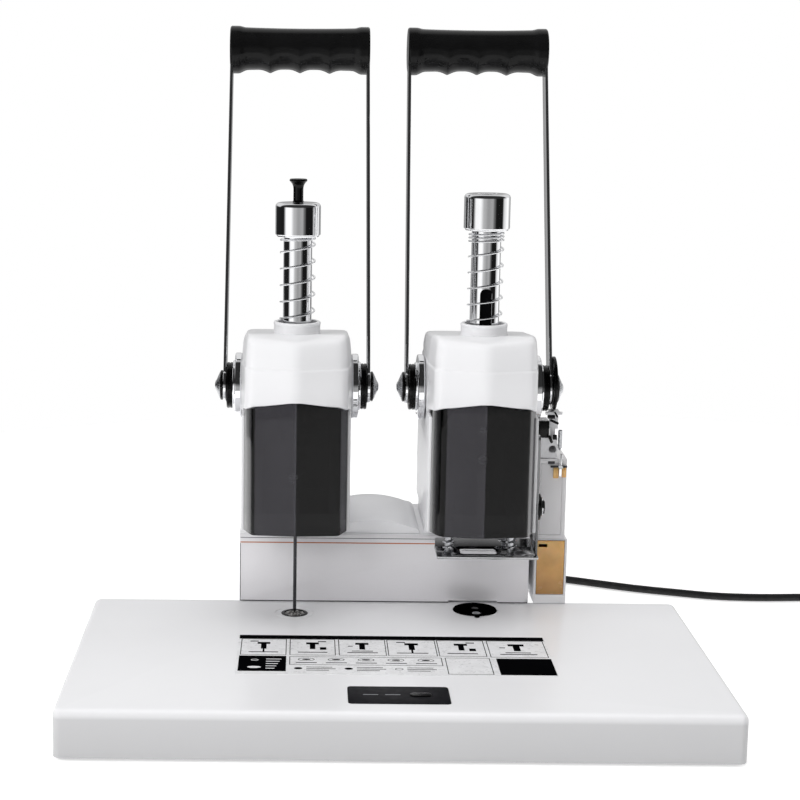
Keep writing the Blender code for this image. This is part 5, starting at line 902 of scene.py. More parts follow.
def strain_relief():
    """The ribbed taper where the cord leaves the rear wall."""
    low, high = node_box("cord_gland")
    centre = middle("cord_gland")
    wall = node_box("rear_housing")[1].y
    flange = high.x - centre.x
    start, end, ribs = wall + 2.3 * MM, high.y, 7
    profile = [(0, low.y), (flange - 0.4 * MM, low.y), (flange, low.y + 0.4 * MM), (flange, wall - 2.8 * MM),
               (5.5 * MM, wall - 2.8 * MM), (5.5 * MM, wall + 0.3 * MM), (flange - 0.3 * MM, wall + 0.3 * MM),
               (flange, wall + 0.6 * MM), (flange, wall + 1.7 * MM), (flange - 0.6 * MM, start)]
    for k in range(ribs):
        here, step = start + (end - start) * k / ribs, (end - start) / ribs
        radius = 6.7 * MM + (4.0 - 6.7) * MM * (k + 0.5) / ribs
        groove = radius - 1.1 * MM
        profile += [(groove, here), (groove, here + 0.3 * step), (radius - 0.2 * MM, here + 0.36 * step),
                    (radius, here + 0.46 * step), (radius, here + 0.84 * step),
                    (radius - 0.3 * MM, here + 0.97 * step)]
    profile.append((0, end))
    made = piece("strain_relief", turned(profile, (centre.x, 0, centre.z), "Y", 48), "cord")
    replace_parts(made, "cord_gland")
    return made


def cord_tie():
    """A flat strap round the coil."""
    inner, outer, top = 18.6 * MM, 44.0 * MM, 12.6 * MM
    outside = rounded([(inner, 0.03 * MM), (outer, 0.03 * MM), (outer, top), (inner, top)], 3.0 * MM, 6)
    inside = rounded([(inner + 0.55 * MM, 0.17 * MM), (outer - 0.55 * MM, 0.17 * MM),
                      (outer - 0.55 * MM, top - 0.5 * MM), (inner + 0.55 * MM, top - 0.5 * MM)], 2.6 * MM, 6)
    rings = [[(reach, shift * MM, z) for reach, z in points] for points, shift in
             ((outside, -TIE_HALF), (outside, TIE_HALF), (inside, TIE_HALF), (inside, -TIE_HALF))]
    shape = loft(rings, looped=True)
    shape.transform(Matrix.Translation((COIL_X, COIL_Y, 0)) @ Matrix.Rotation(TIE_TURN, 4, "Z"))
    return piece("cord_tie", shape, "rubber")


def mains_plug(entry, ahead):
    """A plain moulded plug with two round pins."""
    place = Matrix.Translation(entry) @ Vector((1, 0, 0)).rotation_difference(ahead).to_matrix().to_4x4()
    height = entry.z - 0.15 * MM
    plan = in_metres([(0.3, -5.6), (12, -12), (34, -12), (34, 12), (12, 12), (0.3, 5.6)])
    body = prism(rounded(plan, 3.0 * MM, 6, (1, 2, 3, 4)), "Z", -height, height)
    soften(body, 1.6 * MM, 4, radians(50))
    grooves = [block((k * MM, near * MM, -20 * MM), ((k + 0.8) * MM, far * MM, 20 * MM))
               for near, far in ((-13, -11.2), (11.2, 13)) for k in (16, 19, 22, 25)]
    body = carved(body, grooves)
    body.transform(place)
    case = piece("plug_body", body, "cord")
    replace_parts(case, "power_plug")
    profile = in_metres([(0, 33.5), (2.0, 33.5), (2.0, 51.6), (1.7, 52.5), (1.1, 53), (0, 53)])
    metal = combined([turned(profile, (0, side * PIN_SPREAD, 0), "X", 32) for side in (-1, 1)])
    metal.transform(place)
    return [case, piece("plug_pins", metal, "bright")]


class RIVETER_OT_cord(bpy.types.Operator):
    """Lays the power cord with its strain relief, tie and plug"""
    bl_idname = "riveter.cord"
    bl_label = "Power cord"

    def execute(self, context):
        power_cord()
        return {"FINISHED"}


# Base
BASE_WALL = 3.0 * MM
BASE_TOP_WALL = 5.5 * MM
TURRET_BACK = 14.57 * MM  # From the turret's middle to its rear edge
DIES = 6


def disc(radius, centre, low, high, edge=0.0, bore=0.0, steps=80, axis="Z"):
    """A turned disc, or a ring, with its upper edges eased."""
    top = [(radius, high - edge), (radius - 0.3 * edge, high - 0.3 * edge), (radius - edge, high)]
    top = top if edge else [(radius, high)]
    if bore:
        inner = [(bore + edge, high), (bore, high - edge)] if edge else [(bore, high)]
        return turned([(bore, low), (radius, low), *top, *inner], centre, axis, steps, ring=True)
    return turned([(0, low), (radius, low), *top, (0, high)], centre, axis, steps)


def base_cover(edge):
    """The white base with seats for the pad, the turret and the switch panel."""
    shape = prism(node_slab("base_cover", 5 * MM, 8), "Z", BASE_LOW.z, BASE_TOP)
    soften(shape, edge, 5, chosen=lying_at(BASE_TOP))
    pad_low, turret_low = node_box("drill_pad_ring")[0].z, node_box("die_turret")[0].z
    turret_middle = (AXIS["right"].x, node_box("die_turret")[1].y - TURRET_BACK, 0)
    ring = node_box("drill_pad_ring")[1].x - middle("drill_pad_ring").x + 0.15 * MM
    low = node_box("switch_panel")[0]
    cuts = [
        block((BASE_LOW.x + BASE_WALL, BASE_LOW.y + BASE_WALL, 0),
              (BASE_HIGH.x - BASE_WALL, BASE_HIGH.y - BASE_WALL, BASE_TOP - BASE_TOP_WALL)),
        disc(ring, AXIS["left"], pad_low - 0.1 * MM, BASE_TOP + 2 * MM),
        disc(13.25 * MM, AXIS["left"], BASE_TOP - 0.25 * MM, BASE_TOP + MM, bore=12.6 * MM),
        disc(15.1 * MM, turret_middle, turret_low + 2 * MM, BASE_TOP + 2 * MM),
        prism(node_slab("switch_panel", 2.6 * MM, room=0.1 * MM), "Z", low.z - 0.1 * MM, BASE_TOP + 2 * MM),
    ]
    made = piece("base_shell", carved(shape, cuts), "base")
    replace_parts(made, "base_cover")


def switch_and_button():
    """The dark switch panel with its oval button and two faint marks."""
    low, high = node_box("switch_panel")
    plate = prism(node_slab("switch_panel", 2.5 * MM), "Z", low.z, high.z)
    soften(plate, 0.35 * MM, 3, chosen=lying_at(high.z))
    hole = prism(node_slab("power_button", 3.4 * MM, 8, 0.3 * MM), "Z", low.z - MM, high.z + MM)
    panel = piece("switch_plate", carved(plate, [hole]), "dark")
    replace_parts(panel, "switch_panel")
    one, two = node_box("power_button")
    cap = prism(node_slab("power_button", 3.1 * MM, 8), "Z", one.z, two.z)
    soften(cap, 0.45 * MM, 3, chosen=lying_at(two.z))
    button = piece("power_rocker", cap, "black", "button")
    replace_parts(button, "power_button")
    centre = middle("power_button")
    rise = two.z - centre.z
    ring = disc(1.1 * MM, centre, rise - 0.05 * MM, rise, bore=0.75 * MM, steps=32)
    piece("power_mark", ring, "mark", "button")
    y = middle("switch_panel").y
    marks = [prism(slab(x * MM, (x + 9) * MM, y - 0.4 * MM, y + 0.4 * MM, 0.3 * MM, 3), "Z",
                   high.z - 0.1 * MM, high.z + 0.02 * MM) for x in (-21, -8)]
    piece("switch_marks", combined(marks), "mark")


def drill_pad_pieces():
    """The black ring and the soft insert that the drill ends in."""
    low, high = node_box("drill_pad_ring")
    radius = half_wide("drill_pad")
    shape = disc(half_wide("drill_pad_ring"), AXIS["left"], low.z, high.z, 0.3 * MM, radius + 0.15 * MM)
    ring = piece("pad_ring", shape, "black")
    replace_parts(ring, "drill_pad_ring")
    low, high = node_box("drill_pad")
    profile = [(0, low.z), (radius, low.z), (radius, high.z - 0.4 * MM),
               (radius - 0.4 * MM, high.z - 0.08 * MM), (4.5 * MM, high.z), (2.4 * MM, high.z - 0.15 * MM),
               (1.2 * MM, high.z - 0.55 * MM), (0, high.z - 0.6 * MM)]
    pad = piece("pad_insert", turned(profile, AXIS["left"]), "pad")
    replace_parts(pad, "drill_pad")


def turret_pieces():
    """The disc with its row of dies, its tab, and the die in use."""
    low, high = node_box("die_turret")
    radius = half_wide("die_turret")
    x, y = COLUMN["right"].x, high.y - radius
    die_low, die_high = node_box("lower_die")
    die = half_wide("lower_die")
    cuts = [disc(die + 0.15 * MM, AXIS["right"], die_low.z - 0.2 * MM, high.z + MM)]
    for k in range(1, DIES):
        angle = -pi / 2 + 2 * pi * k / DIES
        spot = (x + 11 * MM * cos(angle), y + 11 * MM * sin(angle), 0)
        cuts.append(disc(1.7 * MM, spot, high.z - 1.2 * MM, high.z + MM, steps=32))
    tab = [(-2.0, -13.5), (-1.7, -17.6), (-0.9, -18.6), (0.9, -18.6), (1.7, -17.6), (2.0, -13.5)]
    tab = [(x + a * MM, y + b * MM) for a, b in tab]
    tab = soften(prism(tab, "Z", BASE_TOP + 0.1 * MM, high.z - 0.1 * MM), 0.2 * MM, 2, radians(50))
    wheel = carved(disc(radius, (x, y, 0), low.z, high.z, 0.5 * MM), cuts, [tab])
    made = piece("turret_disc", wheel, "knurl", "turret")
    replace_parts(made, "die_turret")
    profile = [(0, die_low.z), (die, die_low.z), (die, die_high.z - 0.3 * MM), (die - 0.3 * MM, die_high.z),
               (1.75 * MM, die_high.z), (1.4 * MM, die_high.z - 0.5 * MM), (0, die_high.z - 1.1 * MM)]
    made = piece("die_cup", turned(profile, AXIS["right"], "Z", 48), "steel", "turret")
    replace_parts(made, "lower_die")
    screw = turned([(0, high.z - 0.3 * MM), (2.4 * MM, high.z - 0.3 * MM), (2.4 * MM, high.z + 0.3 * MM),
                    (1.9 * MM, high.z + 0.45 * MM), (0, high.z + 0.45 * MM)], (x, y, 0), "Z", 40)
    slot = block((x - 3 * MM, y - 0.3 * MM, high.z + 0.1 * MM), (x + 3 * MM, y + 0.3 * MM, high.z + MM))
    piece("turret_screw", carved(screw, [slot]), "black", "turret")


# The label, in millimetres from its left rear corner: left, right, back, front
LABEL_LEFT, LABEL_BACK, LABEL_WIDE, LABEL_DEEP = -97.8, -15.3, 197.0, 76.1
LABEL_BARS = [(0.6, 196.4, -1.7, 6.1), (1.5, 31, 41, 71), (162, 196.4, 42.5, 74.5)]
LABEL_BOXES = [(2, 31, 6.5, 39), (33, 62, 6.5, 39), (64, 94, 6.5, 39), (95, 126, 6.5, 39),
               (127, 157, 6.5, 39), (159, 195.5, 6.5, 40), (33, 128, 42, 58), (130, 158, 42, 74)]


def label_frame(left, right, back, front, line):
    """A printed outline as four thin bars."""
    edges = [(left, right, back, back + line), (left, right, front - line, front),
             (left, left + line, back, front), (right - line, right, back, front)]
    return [label_bar(*edge) for edge in edges]


def label_bar(left, right, back, front, low=0.15, high=0.19):
    """A printed bar on the label, placed in the label's own millimetres."""
    x, y, z = LABEL_LEFT, LABEL_BACK, BASE_TOP
    return block(((x + left) * MM, (y - front) * MM, z + low * MM),
                 ((x + right) * MM, (y - back) * MM, z + high * MM))


def label_sketch(left, right, back, front, number):
    """A generic sketch of a machine head, a hand bar and a sheet of paper, different in each box."""
    wide, deep = right - left, front - back
    bars = [(0.18, 0.82, 0.80, 0.84), (0.44, 0.56, 0.30, 0.62), (0.36, 0.64, 0.20, 0.32)]
    bars.append([(0.20, 0.38, 0.12, 0.17), (0.62, 0.80, 0.12, 0.17), (0.20, 0.30, 0.40, 0.44)][number % 3])
    bars.append([(0.28, 0.72, 0.70, 0.74), (0.48, 0.52, 0.62, 0.80),
                 (0.66, 0.80, 0.50, 0.66)][(number + 1) % 3])
    return [label_bar(left + wide * a, left + wide * b, back + deep * c, back + deep * d)
            for a, b, c, d in bars]


def label_oval(across, depth, wide, deep, line=None, height=0.19):
    """A printed oval on the label, solid or drawn as a line, from its place and its two radii."""
    x, y = LABEL_LEFT + across, LABEL_BACK - depth
    outer, inner = (in_metres([(x + (wide - cut) * cos(pi * k / 16), y + (deep - cut) * sin(pi * k / 16))
                               for k in range(32)]) for cut in (0, line or 0))
    round_it = [(k, (k + 1) % 32) for k in range(32)]
    outlines = [[outer[k], outer[n], inner[n], inner[k]] for k, n in round_it] if line else [outer]
    return [prism(outline, "Z", BASE_TOP + 0.14 * MM, BASE_TOP + height * MM) for outline in outlines]


def printed_label(line_width):
    """The thin instruction sheet: bare boxes, generic sketches, bars, ovals and bullets."""
    left, back = LABEL_LEFT * MM, LABEL_BACK * MM
    plan = slab(left, left + LABEL_WIDE * MM, back - LABEL_DEEP * MM, back + 2.1 * MM, 1.5 * MM, 5)
    piece("label_sheet", prism(plan, "Z", BASE_TOP - 0.05 * MM, BASE_TOP + 0.15 * MM), "sheet")
    line = line_width / MM
    marks = [label_bar(*bar) for bar in LABEL_BARS]
    for number, box in enumerate(LABEL_BOXES):
        marks += label_frame(*box, line)
        if number < 6:
            marks += label_sketch(*box, number)
    for k in range(5):
        across = 43.5 + 18.6 * k
        marks += label_oval(across, 47.5, 5.2, 2.9, line)
        marks += label_oval(across, 47.5, 2.6, 1.2)
        marks.append(label_bar(across - 6.5, across + 6.5, 53.2, 54.4))
    for k in range(3):
        across = 38.5 + 31 * k
        marks += label_oval(across, 65, 2.6, 2.0, line if k == 2 else None)
        marks += [label_bar(across + 5, across + 5 + reach, depth, depth + 0.9)
                  for depth, reach in ((62, 16), (65, 18), (68, 14))]
    light = label_oval(11.5, 63.5, 4.2, 2.0, height=0.25) + label_oval(11.5, 49.5, 2.4, 1.6, line, 0.25)
    light += [label_bar(18.5, 28 - k, 47 + 4.5 * k, 48.2 + 4.5 * k, 0.2, 0.25) for k in range(5)]
    piece("label_light_marks", combined(light), "sheet")
    piece("label_print", combined(marks), "ink")


class RIVETER_OT_base(bpy.types.Operator):
    """Makes the base with its pad, turret, switch panel and label"""
    bl_idname = "riveter.base"
    bl_label = "Base"

    def execute(self, context):
        sizes = context.scene.riveter_sizes
        base_cover(sizes.base_edge)
        switch_and_button()
        drill_pad_pieces()
        turret_pieces()
        printed_label(sizes.label_edge)
        eased("base_floor", "base_underside", "rubber")
        eased("housing_floor", "housing_underside", "rubber")
        return {"FINISHED"}


# Rear housing
# Heights of the copper stripe and the shadow line on the grey sheet, and the sides of its notch
STRIPE_LOW, STRIPE_HIGH = 72.5 * MM, 73.2 * MM
SHADOW_LOW, SHADOW_HIGH = 75.9 * MM, 76.3 * MM
NOTCH_LEFT, NOTCH_RIGHT = 43.4 * MM, 77.3 * MM
LID_APEX, LID_RADIUS, LID_SHOULDER = -8.5 * MM, 72 * MM, 6 * MM


def housing_shell():
    """The white body behind the base with its two pedestals, gland hole and cooling slots."""
    made = eased("rear_housing", "housing_shell", "housing", width=1.1 * MM, segments=3)
    made.data.set_sharp_from_angle(angle=radians(40))


def front_sheet():
    """The pearl grey sheet with its copper stripe, and shadow lines above, beside and under it."""
    eased("front_panel", "grey_sheet", "panel", width=0.35 * MM)
    low, high = node_box("front_panel")
    left, right, front, back = low.x + 0.1 * MM, high.x - 0.1 * MM, low.y - 0.1 * MM, low.y + 0.1 * MM
    stripe = block((low.x + 0.3 * MM, low.y - 0.12 * MM, STRIPE_LOW), (high.x - 0.3 * MM, back, STRIPE_HIGH))
    piece("copper_stripe", soften(stripe, 0.05 * MM, 1), "stripe")
    lines = [
        block((low.x + 0.3 * MM, low.y - 0.06 * MM, SHADOW_LOW), (high.x - 0.3 * MM, back, SHADOW_HIGH)),
        block((left, front, low.z), (low.x + 0.5 * MM, back, 72.0 * MM)),
        block((left, front, low.z), (NOTCH_LEFT, back, low.z + 0.55 * MM)),
        block((NOTCH_RIGHT, front, low.z), (right, back, low.z + 0.55 * MM)),
    ]
    piece("panel_line", combined([soften(line, 0.04 * MM, 1) for line in lines]), "line")


def crowned_lid():
    """The arched lid between the columns, rebuilt with a finer curve."""
    low, high = node_box("crowned_cover")
    centre_z = high.z - LID_RADIUS
    outline = [(low.x, low.z)]
    right = high.x - LID_SHOULDER
    shoulder = centre_z + (LID_RADIUS ** 2 - (right - LID_APEX) ** 2) ** 0.5
    for k in range(10):
        fall = pi / 2 * (1 - k / 10)
        outline.append((right + LID_SHOULDER * sin(fall), low.z + (shoulder - low.z) * cos(fall)))
    start, end = (acos((x - LID_APEX) / LID_RADIUS) for x in (right, low.x))
    for k in range(29):
        angle = start + (end - start) * k / 28
        outline.append((LID_APEX + LID_RADIUS * cos(angle), centre_z + LID_RADIUS * sin(angle)))
    shape = prism(outline, "Y", low.y, high.y)

    def on_its_ends(edge):
        """Picks the edges of the arch's two ends, but not those at its foot."""
        one, other = (corner.co for corner in edge.verts)
        return abs(one.y - other.y) < 0.001 * MM and one.z > low.z + 0.1 * MM

    soften(shape, 1.0 * MM, 3, radians(60), on_its_ends)
    made = piece("crowned_lid", shape, "housing")
    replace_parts(made, "crowned_cover")


class RIVETER_OT_housing(bpy.types.Operator):
    """Makes the rear housing, its front sheet and the crowned lid"""
    bl_idname = "riveter.housing"
    bl_label = "Rear housing"

    def execute(self, context):
        for make in (housing_shell, front_sheet, crowned_lid):
            make()
        return {"FINISHED"}


# Columns and heads
HEAD_HALF = 36.4 * MM
HEAD_BOTTOM = node_box("left_head_shell")[0].z
HEAD_WALL = 2.4 * MM
# How far a head's cheeks stand out sideways, its ridge and cheeks to the front, and its back to the rear
CHEEK_HALF, RIDGE_OUT, CHEEK_OUT, HEAD_BACK = 33.0 * MM, 37.2 * MM, 28.5 * MM, 66 * MM
# The arch over the open front, in millimetres: half its width, its top and its foot
ARCH_HALF, ARCH_TOP, ARCH_FOOT = 24, 181.4, 169.7
COLLAR_RADIUS = 15.2 * MM
HEAD_ARCS = [16 * MM, 8 * MM, 0, 8 * MM, 8 * MM, 0, 8 * MM]
HEAD_TOP = 222.5 * MM
LEDGE = 205 * MM
CREST = 26 * MM
# The shell's levels from the ledge up: height, share of the full width, and how far the front draws back
HEAD_LEVELS = [(200.6, 1.000, 0.0), (201.3, 0.9985, 0.08), (201.8, 0.995, 0.3), (202.15, 0.990, 0.56),
               (202.4, 0.986, 0.74), (202.9, 0.9825, 0.86), (203.6, 0.982, 0.88), (204.8, 0.983, 0.84),
               (207.0, 0.983, 0.84), (209.0, 0.9815, 0.92), (211.0, 0.978, 1.12), (213.0, 0.973, 1.45),
               (217.0, 0.962, 2.2), (218.6, 0.956, 2.6), (220.0, 0.946, 3.1), (221.1, 0.932, 3.8),
               (221.9, 0.914, 4.7), (222.35, 0.892, 5.8), (222.5, 0.865, 7.2)]
# The smoked cover: half its width and half the width between its corner folds, how far its ridge, its
# folds and its edges stand before the ram, and how round each fold is
COVER_HALF, COVER_FOLD = 33.7 * MM, 28.4 * MM
COVER_RIDGE_OUT, COVER_FOLD_OUT, COVER_EDGE_OUT = 34.0 * MM, 31.3 * MM, 17.8 * MM
COVER_BEND = {"left": 3.4 * MM, "right": 9.0 * MM}
COVER_THICK = 1.8 * MM
# The screws in each cover: place across, height and radius, in millimetres
COVER_SCREWS = {"left": [(-1.5, 131.2, 3.2)], "right": [(-1.6, 163.8, 2.5), (-1.6, 144.4, 3.2)]}


def arch_height(offset):
    """The roof line of the open front, by the distance from the column's axis in metres."""
    away = abs(offset) / MM
    if away <= ARCH_HALF:
        crown = ARCH_TOP - 3.8 * (away / ARCH_HALF)
        return (crown - 0.5 * max(0, 1 - away / 5) ** 2) * MM
    return (ARCH_FOOT + 7.9 * max(0, 1 - ((away - ARCH_HALF) / 12.4) ** 2) ** 0.5) * MM


def split_evenly(line, parts, closed=True):
    """The line with each stretch cut into its own number of equal parts."""
    points = []
    ends = line[1:] + ([line[0]] if closed else [])
    for (a, b), (c, d), count in zip(line, ends, parts):
        points += [(a + (c - a) * k / count, b + (d - b) * k / count) for k in range(count)]
    return points if closed else points + [line[-1]]


def head_plan(half, cheek, ridge, cheek_y, middle_y, back):
    """The creased plan of a head, with its corners rounded."""
    plan = [(0, ridge), (cheek, cheek_y), (half, middle_y), (half, back), (-half, back), (-half, middle_y),
            (-cheek, cheek_y)]
    return rounded(plan, HEAD_ARCS, 6)


def head_ring(side, inset, share, pull):
    """One level of the head's plan; share narrows it and pull, in millimetres, moves its front back."""
    x, y = COLUMN[side].x, COLUMN[side].y
    half, cheek = (HEAD_HALF - inset) * share, (CHEEK_HALF - inset) * share
    ridge, cheek_y = y - RIDGE_OUT + inset + pull * MM, y - CHEEK_OUT + inset + pull * MM
    line = head_plan(half, cheek, ridge, cheek_y, y, y + HEAD_BACK - inset - 0.4 * pull * MM)
    full = head_plan(HEAD_HALF, CHEEK_HALF, 0, RIDGE_OUT - CHEEK_OUT, RIDGE_OUT, RIDGE_OUT + HEAD_BACK)
    spans = [hypot(c - a, d - b) for (a, b), (c, d) in zip(full, full[1:] + full[:1])]
    return [(x + a, b) for a, b in split_evenly(line, [max(1, ceil(span / (3 * MM))) for span in spans])]


def head_crown(b):
    """How high the head's roof is at a place from front to back: a low crest, falling to the rear."""
    if b < CREST:
        return HEAD_TOP - 3.2 * MM * ((CREST - b) / (23 * MM)) ** 2
    return HEAD_TOP - 0.1 * (b - CREST)


def lifted(b, z):
    """A level of the head in metres, fitted under the roof."""
    return z if z < LEDGE else LEDGE + (z - LEDGE) * (head_crown(b) - LEDGE) / (17.5 * MM)


def head_bottom(side, a, b):
    """How low the head's wall comes at a place of its plan."""
    return arch_height(a - COLUMN[side].x) if b < COLUMN[side].y else HEAD_BOTTOM


def head_shell(side):
    """The creased white head with a soft ledge, eased shoulders and an arched open front."""
    rings = []
    for z, share, pull in ((219.4, 0.95, 3.0), (205, 0.99, 0.8)):
        rings.append([(a, b, lifted(b, z * MM)) for a, b in head_ring(side, HEAD_WALL, share, pull)])
    outer = head_ring(side, 0, 1, 0)
    for inset, rise in ((HEAD_WALL, 0.5), (HEAD_WALL - 0.5 * MM, 0), (0.9 * MM, 0), (0.3 * MM, 0.25),
                        (0, 0.9)):
        ring = head_ring(side, inset, 1, 0)
        rings.append([(a, b, head_bottom(side, *at) + rise * MM) for (a, b), at in zip(ring, outer)])
    for z, share, pull in HEAD_LEVELS:
        rings.append([(a, b, lifted(b, z * MM)) for a, b in head_ring(side, 0, share, pull)])
    pivot, column = PIVOT[side], COLUMN[side]
    rim = rings[-1]
    for share in (0.15, 0.4, 0.7, 1.0):
        ring = []
        for a, b, _ in rim:
            turn = atan2(b - column.y, a - column.x)
            to = (column.x + COLLAR_RADIUS * cos(turn), column.y + COLLAR_RADIUS * sin(turn))
            a, b = a + (to[0] - a) * share, b + (to[1] - b) * share
            ring.append((a, b, head_crown(b)))
        rings.append(ring)
    cuts = [disc(13.4 * MM, AXIS[side], 0.21, 0.23, steps=96)]
    for ends in ((-40 * MM, -30 * MM), (30 * MM, 40 * MM)):
        cuts.append(disc(8.5 * MM, (column.x, pivot.y, pivot.z), *ends, axis="X", steps=64))
    made = piece(f"{side}_head", carved(loft(rings), cuts), "white", smooth_angle=radians(30))
    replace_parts(made, f"{side}_head_shell")


def spring_collar(side):
    """The white seat that the return spring stands in."""
    top = node_box(f"{side}_head_shell")[1].z / MM
    profile = [(12.8, 216.0), (15.4, 216.0), (15.4, 223.2), (15.15, 223.6), (15.15, top - 2.2),
               (15.4, top - 1.8), (15.4, top - 0.9), (15.0, top - 0.25), (14.4, top), (13.4, top),
               (12.95, top - 0.3), (12.8, top - 0.9)]
    made = piece(f"{side}_collar", turned(in_metres(profile), AXIS[side], ring=True), "white")
    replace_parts(made, f"{side}_head_shell")
    floor = in_metres([(10.1, 217.0), (12.8, 217.0), (12.8, 217.28), (10.1, 217.28)])
    piece(f"{side}_spring_seat", turned(floor, AXIS[side], ring=True), "bolt")


def cover_line(side, inset):
    """The plan of the smoked cover at one of its faces."""
    x, y = COLUMN[side].x, COLUMN[side].y
    half, fold = COVER_HALF - inset, COVER_FOLD - inset
    edge_y, fold_y, ridge_y = y - COVER_EDGE_OUT, y - COVER_FOLD_OUT + inset, y - COVER_RIDGE_OUT + inset
    plan = [(-half, edge_y), (-fold, fold_y), (0, ridge_y), (fold, fold_y), (half, edge_y)]
    line = rounded(plan, [0, COVER_BEND[side] - inset, 3 * MM, 3.4 * MM - inset, 0], 5, (1, 2, 3))
    parts = [4, *[1] * 5, 14, *[1] * 5, 14, *[1] * 5, 4]
    return [(x + a, b) for a, b in split_evenly(line, parts, closed=False)]


def smoked_cover(side):
    """The bent sheet over the tool, folded at its middle and at both corners, with an arched top."""
    low = node_box(f"{side}_front_cover")[0].z
    x = COLUMN[side].x
    rings = []
    for (a, b), (c, d) in zip(cover_line(side, 0), cover_line(side, COVER_THICK)):
        top = arch_height(a - x) - 0.35 * MM
        near, far = (0.8 * a + 0.2 * c, 0.8 * b + 0.2 * d), (0.2 * a + 0.8 * c, 0.2 * b + 0.8 * d)
        rings.append([(a, b, low + 0.25 * MM), (a, b, top - 0.3 * MM), (*near, top), (*far, top),
                      (c, d, top - 0.3 * MM), (c, d, low + 0.25 * MM), (*far, low), (*near, low)])
    made = piece(f"{side}_cover", loft(rings), f"smoke_{side}", smooth_angle=radians(24))
    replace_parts(made, f"{side}_front_cover")
    for number, (off, height, radius) in enumerate(COVER_SCREWS[side]):
        leaf = -34.0 + 2.7 / 28.4 * abs(off)
        profile = [(0.01, 1.7), (radius, 1.7), (radius, 2.6), (radius * 0.8, 2.9), (0.01, 2.9)]
        profile = [(r * MM, COLUMN[side].y + (leaf + out) * MM) for r, out in profile]
        screw = turned(profile, (x + off * MM, 0, height * MM), "Y", 32)
        piece(f"{side}_sheet_screw_{number + 1}", screw, "steel")


def head_inside(side):
    """The cast frame behind the cover, with its edges as cast and its rear posts under the roof's fall."""
    made = eased(f"{side}_head_frame", f"{side}_frame", "cast", width=0.6 * MM, segments=2)
    for corner in made.data.vertices:
        corner.co.z = min(corner.co.z, head_crown(corner.co.y) - 3.2 * MM)


class RIVETER_OT_columns(bpy.types.Operator):
    """Makes both columns with their casings, smoked covers, heads and collars"""
    bl_idname = "riveter.columns"
    bl_label = "Columns and heads"

    def execute(self, context):
        edge = context.scene.riveter_sizes.case_edge
        for side in SIDES:
            eased(f"{side}_column_casing", f"{side}_casing", "casing", width=edge)
            for make in (smoked_cover, head_shell, spring_collar, head_inside):
                make(side)
        return {"FINISHED"}


# Rams, caps and return springs
RAM_BORE = 4.5 * MM
RACK_PITCH = 5.812 * MM
RACK_SPACE = [(5.44, -0.76), (12.0, -3.15), (12.0, 3.15), (5.44, 0.76)]
SLOT_LOW, SLOT_HIGH = 206, 253  # The slot in the right ram, in millimetres
# The radius of each ram and of each cap, in millimetres
RAM_RADIUS = {"left": 9.35, "right": 9.6}
CAP_RADIUS = {"left": 14.75, "right": 15.0}


def ram_tube(side):
    """The plated ram: a bored tube with its rack cut along the back."""
    low, high = node_box(f"{side}_ram")
    column, radius = COLUMN[side], RAM_RADIUS[side] * MM
    profile = [(RAM_BORE, low.z), (radius - 0.5 * MM, low.z), (radius, low.z + 0.5 * MM), (radius, high.z),
               (RAM_BORE, high.z)]
    cuts = []
    for k in range(-3, 13):
        z = PIVOT[side].z + RACK_PITCH * k
        space = [(column.y + b * MM, z + c * MM) for b, c in RACK_SPACE]
        cuts.append(prism(space, "X", column.x - 12 * MM, column.x + 12 * MM))
    if side == "right":
        slot = [(column.x + x * MM, z * MM) for x, z in slab(-4, 4, SLOT_LOW, SLOT_HIGH, 3.9, 8)]
        cuts.append(prism(slot, "Y", column.y - 14 * MM, column.y - 6.5 * MM))
    shape = carved(turned(profile, AXIS[side], ring=True), cuts)
    made = piece(f"{side}_ram_tube", shape, "chrome", f"{side}_slide", radians(25))
    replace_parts(made, f"{side}_ram")
    if side == "right":
        back = block((column.x - 3.9 * MM, column.y - 6.6 * MM, (SLOT_LOW + 0.5) * MM),
                     (column.x + 3.9 * MM, column.y - 6.2 * MM, (SLOT_HIGH - 0.5) * MM))
        piece("ram_slot_shadow", soften(back, 0.1 * MM, 1), "shadow", "right_slide")


def ram_cap(side):
    """The plated drum on the ram, with a rounded top edge and a short neck."""
    low, high = (corner.z / MM for corner in node_box(f"{side}_ram_cap"))
    radius, edge = CAP_RADIUS[side], 2.6
    profile = [(0, low), (radius - 1.5, low), (radius - 1.0, low + 0.3), (radius - 0.9, low + 0.9),
               (radius - 0.6, low + 1.2), (radius - 0.15, low + 1.35), (radius, low + 1.7)]
    for k in range(9):
        turn = pi / 2 * k / 8
        profile.append((radius - edge + edge * cos(turn), high - edge + edge * sin(turn)))
    if side == "left":
        profile += [(3.4, high), (3.1, high - 0.3), (3.0, high - 1.2), (0, high - 1.2)]
        socket = disc(1.5 * MM, AXIS[side], (low - 1) * MM, (high + 1) * MM, steps=32)
    else:
        profile += [(6.6, high), (6.2, high - 0.3), (5.4, high - 0.5), (0, high - 0.5)]
        socket = prism(hexagon(*AXIS[side].xy, 2.6 * MM), "Z", (high - 3) * MM, (high + 1) * MM)
    shape = carved(turned(in_metres(profile), AXIS[side], steps=112), [socket])
    made = piece(f"{side}_cap", shape, "chrome", f"{side}_slide", radians(28))
    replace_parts(made, f"{side}_ram_cap")


